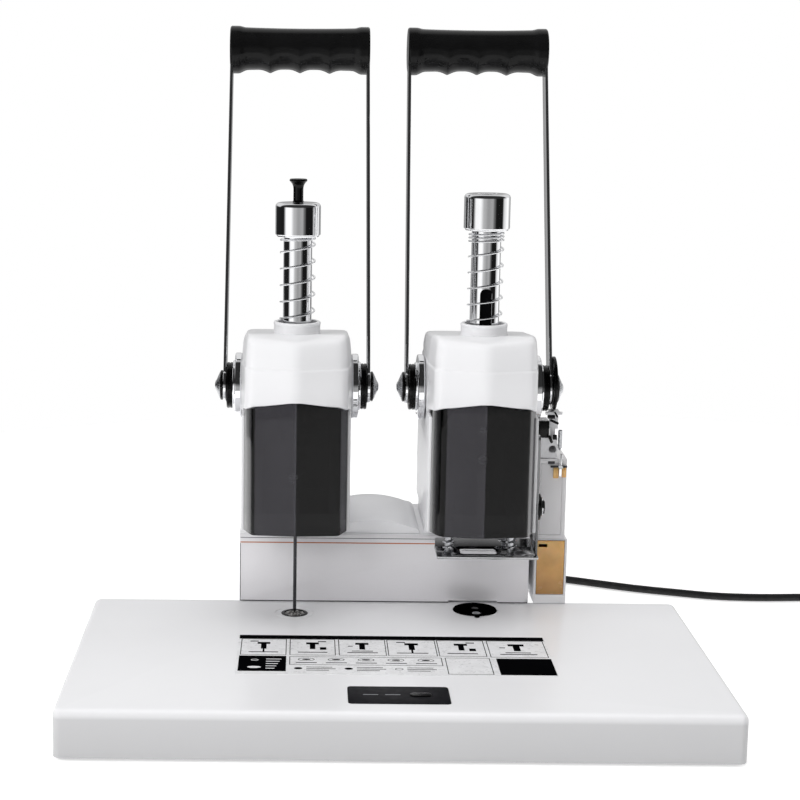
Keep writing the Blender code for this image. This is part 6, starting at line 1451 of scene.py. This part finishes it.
def return_spring(side, pitch):
    """The open coil round the ram, with closed turns at its ends."""
    low, high = (corner.z / MM for corner in node_box(f"{side}_return_spring"))
    column, wire, radius = COLUMN[side], 1.2, 11.1
    bottom, top = low + wire / 2, high - wire / 2
    closed = [(0.9, 1.6 * wire)]
    if side == "right":
        closed.append((2.0, 4.4))
    open_rise = top - bottom - 1.6 * wire - sum(rise for _, rise in closed)
    stretches = [closed[0], (max(2, round(open_rise / pitch * 4) / 4), open_rise), *closed[::-1]]
    turns = sum(count for count, _ in stretches)
    start = -pi / 2 - 2 * pi * 0.2
    steps = int(turns * 36)
    points = []
    for k in range(steps + 1):
        here = turns * k / steps
        z, gone = bottom, 0
        for count, rise in stretches:
            z += rise * min(1, max(0, (here - gone) / count))
            gone += count
        angle = start + 2 * pi * here
        points.append((column.x + radius * MM * cos(angle), column.y + radius * MM * sin(angle), z * MM))
    made = piece(f"{side}_spring", swept(points, wire / 2 * MM, 12), "bright")
    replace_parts(made, f"{side}_return_spring")
    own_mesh(made)


def clearing_needle():
    """The long needle down the drill's ram, with its moulded knob."""
    low, high = node_box("clearing_needle")
    tip = [(0, low.z), (0.35 * MM, low.z), (1.14 * MM, low.z + 2.4 * MM), (1.14 * MM, high.z), (0, high.z)]
    made = piece("needle", turned(tip, AXIS["left"], steps=32), "bolt", "needle_unit")
    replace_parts(made, "clearing_needle")
    z = node_box("needle_knob")[0].z / MM
    profile = [(0, 0), (3.9, 0), (3.45, 0.6), (3.25, 1.3), (3.25, 7.4)]
    profile += [(3.25 + 2.5 * (k / 12) ** 3, 7.4 + 6.3 * k / 12) for k in range(1, 13)]
    profile += [(5.75, 14.2), (5.6, 14.7), (5.2, 15.0), (3.4, 15.0), (2.4, 14.6), (0, 14.5)]
    knob = turned(in_metres([(r, z + h) for r, h in profile]), AXIS["left"], steps=72)
    made = piece("needle_knob_moulding", knob, "black", "needle_unit", radians(40))
    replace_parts(made, "needle_knob")


class RIVETER_OT_rams(bpy.types.Operator):
    """Makes the rams with their caps, their return springs and the clearing needle"""
    bl_idname = "riveter.rams"
    bl_label = "Rams and springs"

    def execute(self, context):
        for side in SIDES:
            ram_tube(side)
            ram_cap(side)
            return_spring(side, context.scene.riveter_sizes.spring_pitch / MM)
        clearing_needle()
        return {"FINISHED"}


# Levers
LEAN = radians(17.5)
ARM_LONG = 235.0
ARM_NEAR, ARM_FAR = 47.4 * MM, 49.5 * MM
ARM_SPLAY = 1.5 * MM
ARM_HALF, ARM_TOP_HALF, ARM_EYE = 8.25, 7.5, 11.4
HUB_TEETH = 25
SHAFT_HALF, SHAFT_RADIUS, SHAFT_NECK = 47.2 * MM, 5 * MM, 3 * MM
# The grip, in millimetres: half its length, the collar's radius and the waist's
GRIP_HALF, GRIP_COLLAR, GRIP_WAIST = 48.15, 15.55, 14.0
RIDGE_PLACES = (-20.5, 0, 20.5)
CAM_LOW, CAM_HIGH = 14.5, 21.5


def up_the_arm(side, u, v):
    """A (Y, Z) place in the lever's plane, in metres, from millimetres up the arm and towards the back."""
    pivot = PIVOT[side]
    return (pivot.y + (u * sin(LEAN) + v * cos(LEAN)) * MM, pivot.z + (u * cos(LEAN) - v * sin(LEAN)) * MM)


def on_pivot(side, sign, profile, finish, name, steps=96):
    """A ring turned round the pivot's axis, from (radius, distance from the column) in millimetres."""
    centre = (COLUMN[side].x, PIVOT[side].y, PIVOT[side].z)
    shape = turned([(r * MM, sign * out * MM) for r, out in profile], centre, "X", steps, ring=True)
    return piece(f"{side}_{outside_place(side, sign)}_{name}", shape, finish, f"{side}_lever", radians(25))


def outside_place(side, sign):
    """Left, right, outer or inner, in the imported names."""
    outer = (side == "left") == (sign < 0)
    return "outer" if outer else "inner"


def bearing_flange(side, sign):
    """The plated flange with its raised boss, and the black spacer between it and the arm."""
    profile = [(5.1, 28.0), (8.0, 28.0), (8.0, 36.75), (21.2, 36.75), (21.75, 37.0), (21.95, 37.6),
               (21.95, 40.4), (21.8, 41.0), (21.3, 41.35), (20.4, 41.5), (17.4, 41.5), (16.9, 41.65),
               (16.7, 42.1), (16.6, 42.7), (16.3, 42.95), (15.9, 43.0), (5.1, 43.0)]
    flange = on_pivot(side, sign, profile, "chrome", "flange", 112)
    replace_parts(flange, f"{side}_pinion")
    profile = [(5.1, 43.1), (14.9, 43.1), (15.35, 43.3), (15.5, 43.7), (15.5, 44.5), (15.2, 44.75),
               (15.2, 45.3), (15.5, 45.55), (15.5, 46.4), (15.35, 46.85), (14.9, 47.1), (5.1, 47.1)]
    on_pivot(side, sign, profile, "black", "spacer")


def hub_cup(side, sign):
    """The black cup and its steel cone nut on the end of the shaft."""
    node = f"{side}_{outside_place(side, sign)}_hub_nut"
    start, end = sorted(abs(corner.x - COLUMN[side].x) / MM for corner in node_box(node))
    profile = [(4.3, start), (9.7, start), (10.1, start + 0.35), (10.1, start + 1.1), (9.85, start + 1.55),
               (9.3, start + 1.8), (7.2, start + 1.8), (6.8, start + 1.5), (5.2, start + 1.5),
               (4.3, start + 1.7)]
    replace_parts(on_pivot(side, sign, profile, "black", "cup", 80), node)
    dome = [(0.01, start + 1.0), (8.6, start + 1.6), (8.9, start + 1.9), (8.7, start + 2.2), (3.6, end - 1.1)]
    dome += [(3.4 * cos(t), end - 1.1 + 1.1 * sin(t)) for t in [pi / 2 * k / 6 for k in range(1, 6)]]
    dome.append((0.01, end))
    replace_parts(on_pivot(side, sign, dome, "steel", "dome", 64), node)


def pinion_gear(side):
    """The toothed wheel on its shaft inside the head."""
    column, pivot = COLUMN[side], PIVOT[side]
    low, high = node_box(f"{side}_pinion")
    tip = (high.z - low.z) / 2
    root, flank = tip - 4.1 * MM, tip - 1.85 * MM
    outline = []
    for tooth in range(HUB_TEETH):
        for share, radius in ((-0.33, root), (-0.23, flank), (-0.11, tip), (0.11, tip), (0.23, flank),
                              (0.33, root)):
            angle = pi + 2 * pi * (tooth + share) / HUB_TEETH
            outline.append((pivot.y + radius * cos(angle), pivot.z + radius * sin(angle)))
    gear = prism(outline, "X", column.x - 4 * MM, column.x + 4 * MM)
    soften(gear, 0.25 * MM, 1, radians(80))
    holes = [disc(3 * MM, (0, pivot.y + 14 * MM * cos(t), pivot.z + 14 * MM * sin(t)), column.x - 9 * MM,
                  column.x + 9 * MM, axis="X", steps=32) for t in [2 * pi * k / 6 for k in range(6)]]
    made = piece(f"{side}_gear", carved(gear, holes), "steel", f"{side}_lever")
    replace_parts(made, f"{side}_pinion")
    start, end = low.x - column.x + 0.3 * MM, high.x - column.x - 0.3 * MM
    profile = [(0, start), (SHAFT_NECK, start), (SHAFT_NECK, -SHAFT_HALF), (SHAFT_RADIUS, -SHAFT_HALF),
               (SHAFT_RADIUS, SHAFT_HALF), (SHAFT_NECK, SHAFT_HALF), (SHAFT_NECK, end), (0, end)]
    shaft = turned(profile, (column.x, pivot.y, pivot.z), "X", 48)
    piece(f"{side}_shaft", shaft, "steel", f"{side}_lever")


def lever_arm(side, sign):
    """A flat plated strip from its round hub eye up into the grip."""
    column, pivot = COLUMN[side], PIVOT[side]
    place, end = outside_place(side, sign), ARM_LONG + 6
    start = acos(-ARM_HALF / ARM_EYE) - pi / 2
    flat = [(end, ARM_TOP_HALF - 3), (end - 0.9, ARM_TOP_HALF - 0.9), (end - 3, ARM_TOP_HALF)]
    flat += [(ARM_EYE * cos(t), ARM_EYE * sin(t))
             for t in [start + (2 * pi - 2 * start) * k / 60 for k in range(61)]]
    flat += [(end - 3, -ARM_TOP_HALF), (end - 0.9, -ARM_TOP_HALF + 0.9), (end, -ARM_TOP_HALF + 3)]
    ends = sorted((sign * ARM_NEAR, sign * ARM_FAR))
    strip = prism([up_the_arm(side, u, v) for u, v in flat], "X", *ends)
    soften(strip, 0.45 * MM, 3, radians(50))
    hole = disc(3.5 * MM, (0, pivot.y, pivot.z), ends[0] - MM, ends[1] + MM, axis="X", steps=32)
    strip = carved(strip, [hole])
    for vert in strip.verts:
        rise = (vert.co.z - pivot.z) * cos(LEAN) + (vert.co.y - pivot.y) * sin(LEAN)
        vert.co.x += column.x - sign * ARM_SPLAY * max(0, rise) / (ARM_LONG * MM)
    made = piece(f"{side}_{place}_strip", strip, "chrome", f"{side}_lever", radians(28))
    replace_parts(made, f"{side}_{place}_arm")


def eased_step(share):
    """A share held between 0 and 1, with a soft start and end."""
    share = min(1, max(0, share))
    return share * share * (3 - 2 * share)


def grip_radius(from_middle):
    """The grip's radius in millimetres: a slim waist that flares into a collar at each end."""
    from_end = GRIP_HALF - from_middle
    waist = GRIP_WAIST + 0.6 * (from_middle / 38.3) ** 2
    if from_end < 1.4:
        return GRIP_COLLAR - 1.4 + (1.4 ** 2 - (1.4 - from_end) ** 2) ** 0.5
    return GRIP_COLLAR + (waist - GRIP_COLLAR) * eased_step((from_end - 5.6) / 5.4)


def finger_ridge(from_middle, ridge):
    """How far the underside stands out: narrow ridges between the fingers, and a lobe at each end."""
    from_end = GRIP_HALF - abs(from_middle)
    tallest = 1.5 * (1 - eased_step((from_end - 5.0) / 8.0)) * min(1, from_end / 1.4)
    for place in RIDGE_PLACES:
        away = abs(from_middle - place) / 8.6
        if away < 1:
            tallest = max(tallest, ridge * (1 - (away * away + 0.006) ** 0.5) ** 2)
    return tallest


def hand_grip(side, ridge):
    """The glossy moulded grip with finger ridges on its underside and a collar at each end."""
    stations = [GRIP_HALF, 48.08, 47.85, 47.5, 47.1, 46.75] + [46.0 - 0.75 * k for k in range(14)]
    stations = [-s for s in stations] + [s / 2 for s in range(-71, 72)] + stations[::-1]
    rings = []
    for station in stations:
        radius, under = grip_radius(abs(station)), finger_ridge(station, ridge)
        ring = []
        for k in range(72):
            turn = 2 * pi * k / 72
            reach = radius + under * max(0, -cos(turn)) ** 1.4
            a, b = up_the_arm(side, ARM_LONG + reach * cos(turn), reach * sin(turn))
            ring.append((COLUMN[side].x + station * MM, a, b))
        rings.append(ring)
    made = piece(f"{side}_hand_grip", loft(rings), "grip", f"{side}_lever", radians(50))
    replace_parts(made, f"{side}_grip")


def knife_cam():
    """The spiral plate that pushes the knife's plunger down as the lever comes forward."""
    low, high = node_box("cutter_cam")
    pivot = PIVOT["right"]
    outline = []
    for k in range(120):
        turn = 2 * pi * k / 120
        radius = CAM_LOW + (CAM_HIGH - CAM_LOW) * (turn / pi if turn <= pi else (1 + cos(turn - pi)) / 2)
        outline.append((pivot.y + radius * MM * cos(-pi / 2 - turn),
                        pivot.z + radius * MM * sin(-pi / 2 - turn)))
    plate = soften(prism(outline, "X", low.x, high.x), 0.35 * MM, 2, radians(60))
    hole = disc(3.5 * MM, (0, pivot.y, pivot.z), low.x - MM, high.x + MM, axis="X", steps=32)
    made = piece("knife_cam", carved(plate, [hole]), "black", "right_lever")
    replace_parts(made, "cutter_cam")


class RIVETER_OT_levers(bpy.types.Operator):
    """Makes both levers: gear, flanges, spacers, arms, cups, grip, and the knife's cam"""
    bl_idname = "riveter.levers"
    bl_label = "Levers"

    def execute(self, context):
        for side in SIDES:
            pinion_gear(side)
            hand_grip(side, context.scene.riveter_sizes.grip_ridge / MM)
            for sign in (-1, 1):
                for make in (bearing_flange, lever_arm, hub_cup):
                    make(side, sign)
        knife_cam()
        return {"FINISHED"}


# Drill
def drill_chuck():
    """The spindle: a nosed chuck with a knurled band, the pulley and the stem, and the hollow bit."""
    x, y, _ = AXIS["left"]
    profile = [(2.7, 125), (4.3, 125), (4.6, 125.3), (5.9, 127.2), (6.35, 128.4), (6.35, 131.6),
               (6.05, 131.9), (6.05, 132.5), (6.35, 132.8), (6.35, 145.6), (5.9, 146.2), (4.2, 146.2),
               (4.2, 147.7), (8.2, 147.7), (8.5, 148.0), (7.7, 148.8), (7.7, 151.2), (8.5, 152.0),
               (8.2, 152.3), (4.2, 152.3), (4.2, 166.0), (2.7, 166.0)]
    shape = turned(in_metres(profile), AXIS["left"], steps=80, ring=True)
    knurls = []
    for k in range(24):
        turn = 2 * pi * k / 24
        place = (x + 6.75 * MM * cos(turn), y + 6.75 * MM * sin(turn), 0)
        knurls.append(disc(0.6 * MM, place, 136 * MM, 144.5 * MM, steps=12))
    made = piece("chuck", carved(shape, knurls), "steel", "left_slide")
    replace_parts(made, "drill_chuck")
    low, high = (corner.z / MM for corner in node_box("drill_bit"))
    profile = [(1.6, low), (1.75, low), (2.55, low + 2.6), (2.6, low + 3.2), (2.6, high), (1.6, high)]
    tube = turned(in_metres(profile), AXIS["left"], steps=64, ring=True)
    made = piece("hollow_drill", tube, "steel", "left_slide")
    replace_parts(made, "drill_bit")


def drill_motor():
    """The carriage plate with the motor can and the belt."""
    eased("drill_motor", "motor_carriage", "cast", "left_slide", 0.4 * MM)
    eased("drive_belt", "belt_loop", "rubber", "left_slide", 0.3 * MM)
    centre = (COLUMN["left"].x, node_box("drill_motor")[1].y - 17 * MM, 0)
    profile = in_metres([(14.2, 164.9), (14.2, 165.1), (12.8, 165.1), (12.8, 164.9)])
    piece("motor_ring", turned(profile, centre, steps=64, ring=True), "steel", "left_slide")


class RIVETER_OT_drill(bpy.types.Operator):
    """Makes the drill's spindle, hollow bit, motor carriage and belt"""
    bl_idname = "riveter.drill"
    bl_label = "Drill"

    def execute(self, context):
        drill_chuck()
        drill_motor()
        return {"FINISHED"}


# Riveting head and press plate
# The height of the guide nuts' undersides
NUT_LOW = 0.1578
# The press plate's flange, strap and the slot in the strap, by height
FLANGE_TOP, STRAP_TOP = 0.0804, 0.155
STRAP_SLOT_LOW, STRAP_SLOT_HIGH = 0.101, 0.150


def heater():
    """The finned heater block and the rivet rod under it."""
    low, high = (corner.z / MM for corner in node_box("heater_block"))
    profile = [(0, low), (7.2, low), (9.0, low + 0.8)]
    for k in range(5):
        fin = low + 1.6 + 3.6 * k
        profile += [(9.5, fin), (9.5, fin + 2.2), (9.1, fin + 2.5), (7.9, fin + 2.6), (7.9, fin + 3.4),
                    (9.1, fin + 3.5)]
    profile = [point for point in profile if point[1] < high - 0.6] + [(8.9, high), (0, high)]
    made = piece("heater", turned(in_metres(profile), AXIS["right"], steps=72), "cast", "right_slide")
    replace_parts(made, "heater_block")
    eased("rivet_rod", "rivet_set", "steel", "right_slide", 0.25 * MM, angle=radians(50))
    eased("press_crosshead", "crosshead", "cast", "right_slide", 0.5 * MM, 3, radians(50))


def press_springs(pitch):
    """The two close coils that push the press plate down."""
    for side in SIDES:
        low, high = node_box(f"{side}_press_spring")
        x, y = (low.x + high.x) / 2, (low.y + high.y) / 2
        wire, radius = 0.5 * MM, 3.5 * MM
        bottom, top = low.z + wire, high.z - wire
        turns = round((top - bottom) / pitch)
        steps, points = turns * 24, []
        for k in range(steps + 1):
            share = k / steps
            angle = 2 * pi * turns * share
            points.append((x + radius * cos(angle), y + radius * sin(angle), bottom + (top - bottom) * share))
        made = piece(f"{side}_press_coil", swept(points, wire, 10), "bright", "right_slide")
        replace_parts(made, f"{side}_press_spring")
        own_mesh(made)


def press_plate():
    """The sprung plate that holds the paper, with its flange, guide rods, nuts and side strap."""
    low, high = node_box("press_plate")
    x, y, _ = AXIS["right"]
    hole = slab(x - 12.2 * MM, x + 12.2 * MM, y - 6.85 * MM, y + 6.85 * MM, 3 * MM, 6)
    sheet = prism(node_slab("press_plate", 1.2 * MM, 4), "Z", low.z, low.z + 1.6 * MM)
    rear = block((low.x + 0.4 * MM, high.y - 1.5 * MM, low.z + 0.4 * MM),
                 (high.x - 1.6 * MM, high.y, FLANGE_TOP))
    strap = rounded(slab(y - 7 * MM, y + 7 * MM, low.z + 0.4 * MM, STRAP_TOP), 2.5 * MM, 5, (2, 3))
    strap = prism(strap, "X", high.x - 1.5 * MM, high.x)
    slot = slab(y - 2.5 * MM, y + 2.5 * MM, STRAP_SLOT_LOW, STRAP_SLOT_HIGH, 2.4 * MM, 6)
    cuts = [prism(hole, "Z", low.z - MM, low.z + 3 * MM), prism(slot, "X", high.x - 3 * MM, high.x + 2 * MM)]
    shape = soften(carved(sheet, cuts, [rear, strap]), 0.25 * MM, 2, radians(60))
    made = piece("press_sheet", shape, "plate", "press_unit")
    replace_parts(made, "press_plate")
    places = [middle(f"{side}_press_spring").x for side in SIDES]
    profile = [(0, low.z + 1.4 * MM), (2.9 * MM, low.z + 1.4 * MM), (2.9 * MM, low.z + 2.0 * MM),
               (2.4 * MM, low.z + 2.2 * MM), (2.4 * MM, high.z - 0.5 * MM), (2.0 * MM, high.z), (0, high.z)]
    rods = combined([turned(profile, (place, y, 0), steps=40) for place in places])
    made = piece("guide_rods", rods, "steel", "press_unit")
    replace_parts(made, "press_plate")
    nuts = [prism(hexagon(place, y, 3.6 * MM), "Z", NUT_LOW, high.z - 0.2 * MM) for place in places]
    nuts = combined([soften(nut, 0.3 * MM, 2, radians(60)) for nut in nuts])
    made = piece("guide_nuts", nuts, "steel", "press_unit")
    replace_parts(made, "press_plate")


def strap_bolt():
    """The hexagon bolt through the strap's slot, on its washer, with the two slot washers before it."""
    low, high = node_box("strap_bolt")
    _, y, z = middle("strap_bolt")
    head = soften(prism(hexagon(y, z, 5 * MM), "X", high.x - 3.4 * MM, high.x), 0.4 * MM, 3, radians(50))
    washer = disc(4.7 * MM, (0, y, z), high.x - 4.1 * MM, high.x - 3.3 * MM, 0.2 * MM, steps=40, axis="X")
    shank = disc(2.2 * MM, (0, y, z), low.x, high.x - 3.3 * MM, steps=32, axis="X")
    made = piece("slot_bolt", combined([head, washer, shank]), "bolt")
    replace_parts(made, "strap_bolt")
    black = [(2.6, 99.3), (8.6, 99.3), (8.9, 99.6), (8.9, 100.6), (8.6, 100.9), (7.0, 101.1), (6.7, 101.5),
             (2.6, 101.6)]
    plated = [(2.6, 101.65), (6.2, 101.65), (6.5, 101.9), (6.3, 102.4), (2.6, 102.6)]
    for name, profile, finish_name in (("slot_washer", black, "black"),
                                       ("slot_spring_washer", plated, "chrome")):
        piece(name, turned(in_metres(profile), (0, y, z), "X", 56, ring=True), finish_name)


class RIVETER_OT_press(bpy.types.Operator):
    """Makes the riveting head with its heater, rod, crosshead, springs and press plate"""
    bl_idname = "riveter.press"
    bl_label = "Riveting head"

    def execute(self, context):
        heater()
        press_springs(context.scene.riveter_sizes.press_pitch)
        press_plate()
        strap_bolt()
        return {"FINISHED"}


# Tube cutter and tray
def knife_case():
    """The white bracket and pocket, the grey knife case and the plunger that the cam pushes."""
    eased("cutter_housing", "cutter_pocket", "white", width=0.5 * MM)
    eased("cutter_box", "knife_case", "box", width=0.5 * MM)
    eased("cutter_plunger", "knife_plunger", "white", "plunger", 0.3 * MM)


def small_bar(start, end, wide, front, back):
    """A slim bar between two (X, Z) places, in millimetres, with rounded ends and eased edges."""
    run = (Vector(end) - Vector(start)).normalized() * wide / 2
    side = Vector((-run.y, run.x))
    corners = [Vector(start) - side, Vector(end) - side, Vector(end) + side, Vector(start) + side]
    outline = rounded([tuple(c * MM) for c in corners], wide * 0.48 * MM, 5)
    return soften(prism(outline, "Y", front * MM, back * MM), 0.2 * MM, 2, radians(50))


def small_block(low, high, edge=0.35):
    """A small moulded block between two corners, in millimetres."""
    shape = block([value * MM for value in low], [value * MM for value in high])
    return soften(shape, edge * MM, 2, radians(50))


def knife_linkage():
    """The guide sleeve, the plunger's shelf, levers and rod, and the fittings on the knife case's face."""
    piece("guide_sleeve", small_block((101.2, 64.1, 147.6), (109.0, 74.0, 159.1)), "black")
    piece("plunger_shelf", small_block((106.0, 61.9, 163.9), (117.4, 63.5, 166.0)), "white", "plunger")
    levers = [
        small_block((107.4, 61.7, 161.2), (112.5, 63.7, 163.7)),
        small_bar((109.2, 160.3), (115.2, 157.7), 1.6, 62.2, 63.6),
        small_bar((108.9, 149.6), (111.0, 144.4), 2.0, 62.2, 63.6),
        small_block((111.5, 62.0, 146.8), (114.2, 64.0, 150.1)),
        small_bar((112.0, 166.0), (114.2, 162.2), 1.2, 61.2, 62.4),
    ]
    piece("plunger_levers", combined(levers), "black", "plunger")
    rod = in_metres([(0, 139.0), (0.7, 139.0), (1.1, 140.2), (1.5, 140.6), (1.5, 152.4), (1.1, 152.9),
                     (0, 152.9)])
    piece("plunger_rod", turned(rod, (116.9 * MM, 66.0 * MM, 0), steps=28), "steel", "plunger")
    guard = [small_block((109.0, 64.2, 129.5), (113.6, 65.2, 131.4), 0.2),
             small_block((110.7, 62.6, 127.3), (122.1, 65.0, 128.5), 0.25)]
    piece("knife_guard", combined(guard), "bolt")
    guides = [small_block((112.8, 63.4, 119.8), (116.4, 65.0, 127.2)),
              small_block((118.7, 63.4, 120.4), (121.5, 65.0, 127.2))]
    piece("tube_guides", combined(guides), "amber")
    piece("feed_lever", small_bar((117.5, 137.2), (117.3, 121.0), 1.7, 62.0, 63.3), "chrome")
    pin = in_metres([(0, 61.5), (1.3, 61.5), (1.6, 61.8), (1.6, 64.8), (0, 64.8)])
    piece("feed_pin", turned(pin, (117.4 * MM, 0, 128.0 * MM), "Y", 32), "steel")


class RIVETER_OT_cutter(bpy.types.Operator):
    """Makes the tube cutter beside the right column, and its tray"""
    bl_idname = "riveter.cutter"
    bl_label = "Tube cutter"

    def execute(self, context):
        knife_case()
        knife_linkage()
        eased("tube_tray", "amber_tray", "amber", "tray", 0.5 * MM, 3)
        return {"FINISHED"}


# Panel and running; the finishes come first, because every piece takes one
STEPS = ("finishes", "studio", "cord", "base", "housing", "columns", "rams", "levers", "drill", "press",
         "cutter")


class RIVETER_PT_build(bpy.types.Panel):
    """Sizes, colours and one button for each group of pieces"""
    bl_idname = "RIVETER_PT_build"
    bl_label = "Document riveting machine"
    bl_space_type = "VIEW_3D"
    bl_region_type = "UI"
    bl_category = "Riveter"

    def draw(self, context):
        for group in ("riveter_sizes", "riveter_colours", "riveter_studio"):
            settings = getattr(context.scene, group)
            column = self.layout.column(align=True)
            for name in settings.bl_rna.properties.keys():
                if name not in {"rna_type", "name"}:
                    column.prop(settings, name)
        column = self.layout.column(align=True)
        for step in STEPS:
            column.operator(f"riveter.{step}")


# The settings by their name in the scene, and everything to register
GROUPS = {"riveter_sizes": RiveterSizes, "riveter_colours": RiveterColours, "riveter_studio": RiveterStudio}
CLASSES = (*GROUPS.values(), RIVETER_OT_finishes, RIVETER_OT_studio, RIVETER_OT_cord, RIVETER_OT_base,
           RIVETER_OT_housing, RIVETER_OT_columns, RIVETER_OT_rams, RIVETER_OT_levers, RIVETER_OT_drill,
           RIVETER_OT_press, RIVETER_OT_cutter, RIVETER_PT_build)


def register():
    for each in CLASSES:
        bpy.utils.register_class(each)
    for name, group in GROUPS.items():
        setattr(bpy.types.Scene, name, PointerProperty(type=group))


def unregister():
    for name in GROUPS:
        delattr(bpy.types.Scene, name)
    for each in reversed(CLASSES):
        bpy.utils.unregister_class(each)


def main():
    """Makes every piece in order."""
    register()
    for step in STEPS:
        if getattr(bpy.ops.riveter, step)() != {"FINISHED"}:
            raise RuntimeError(f"riveter.{step} did not finish")


if __name__ == "__main__":
    main()
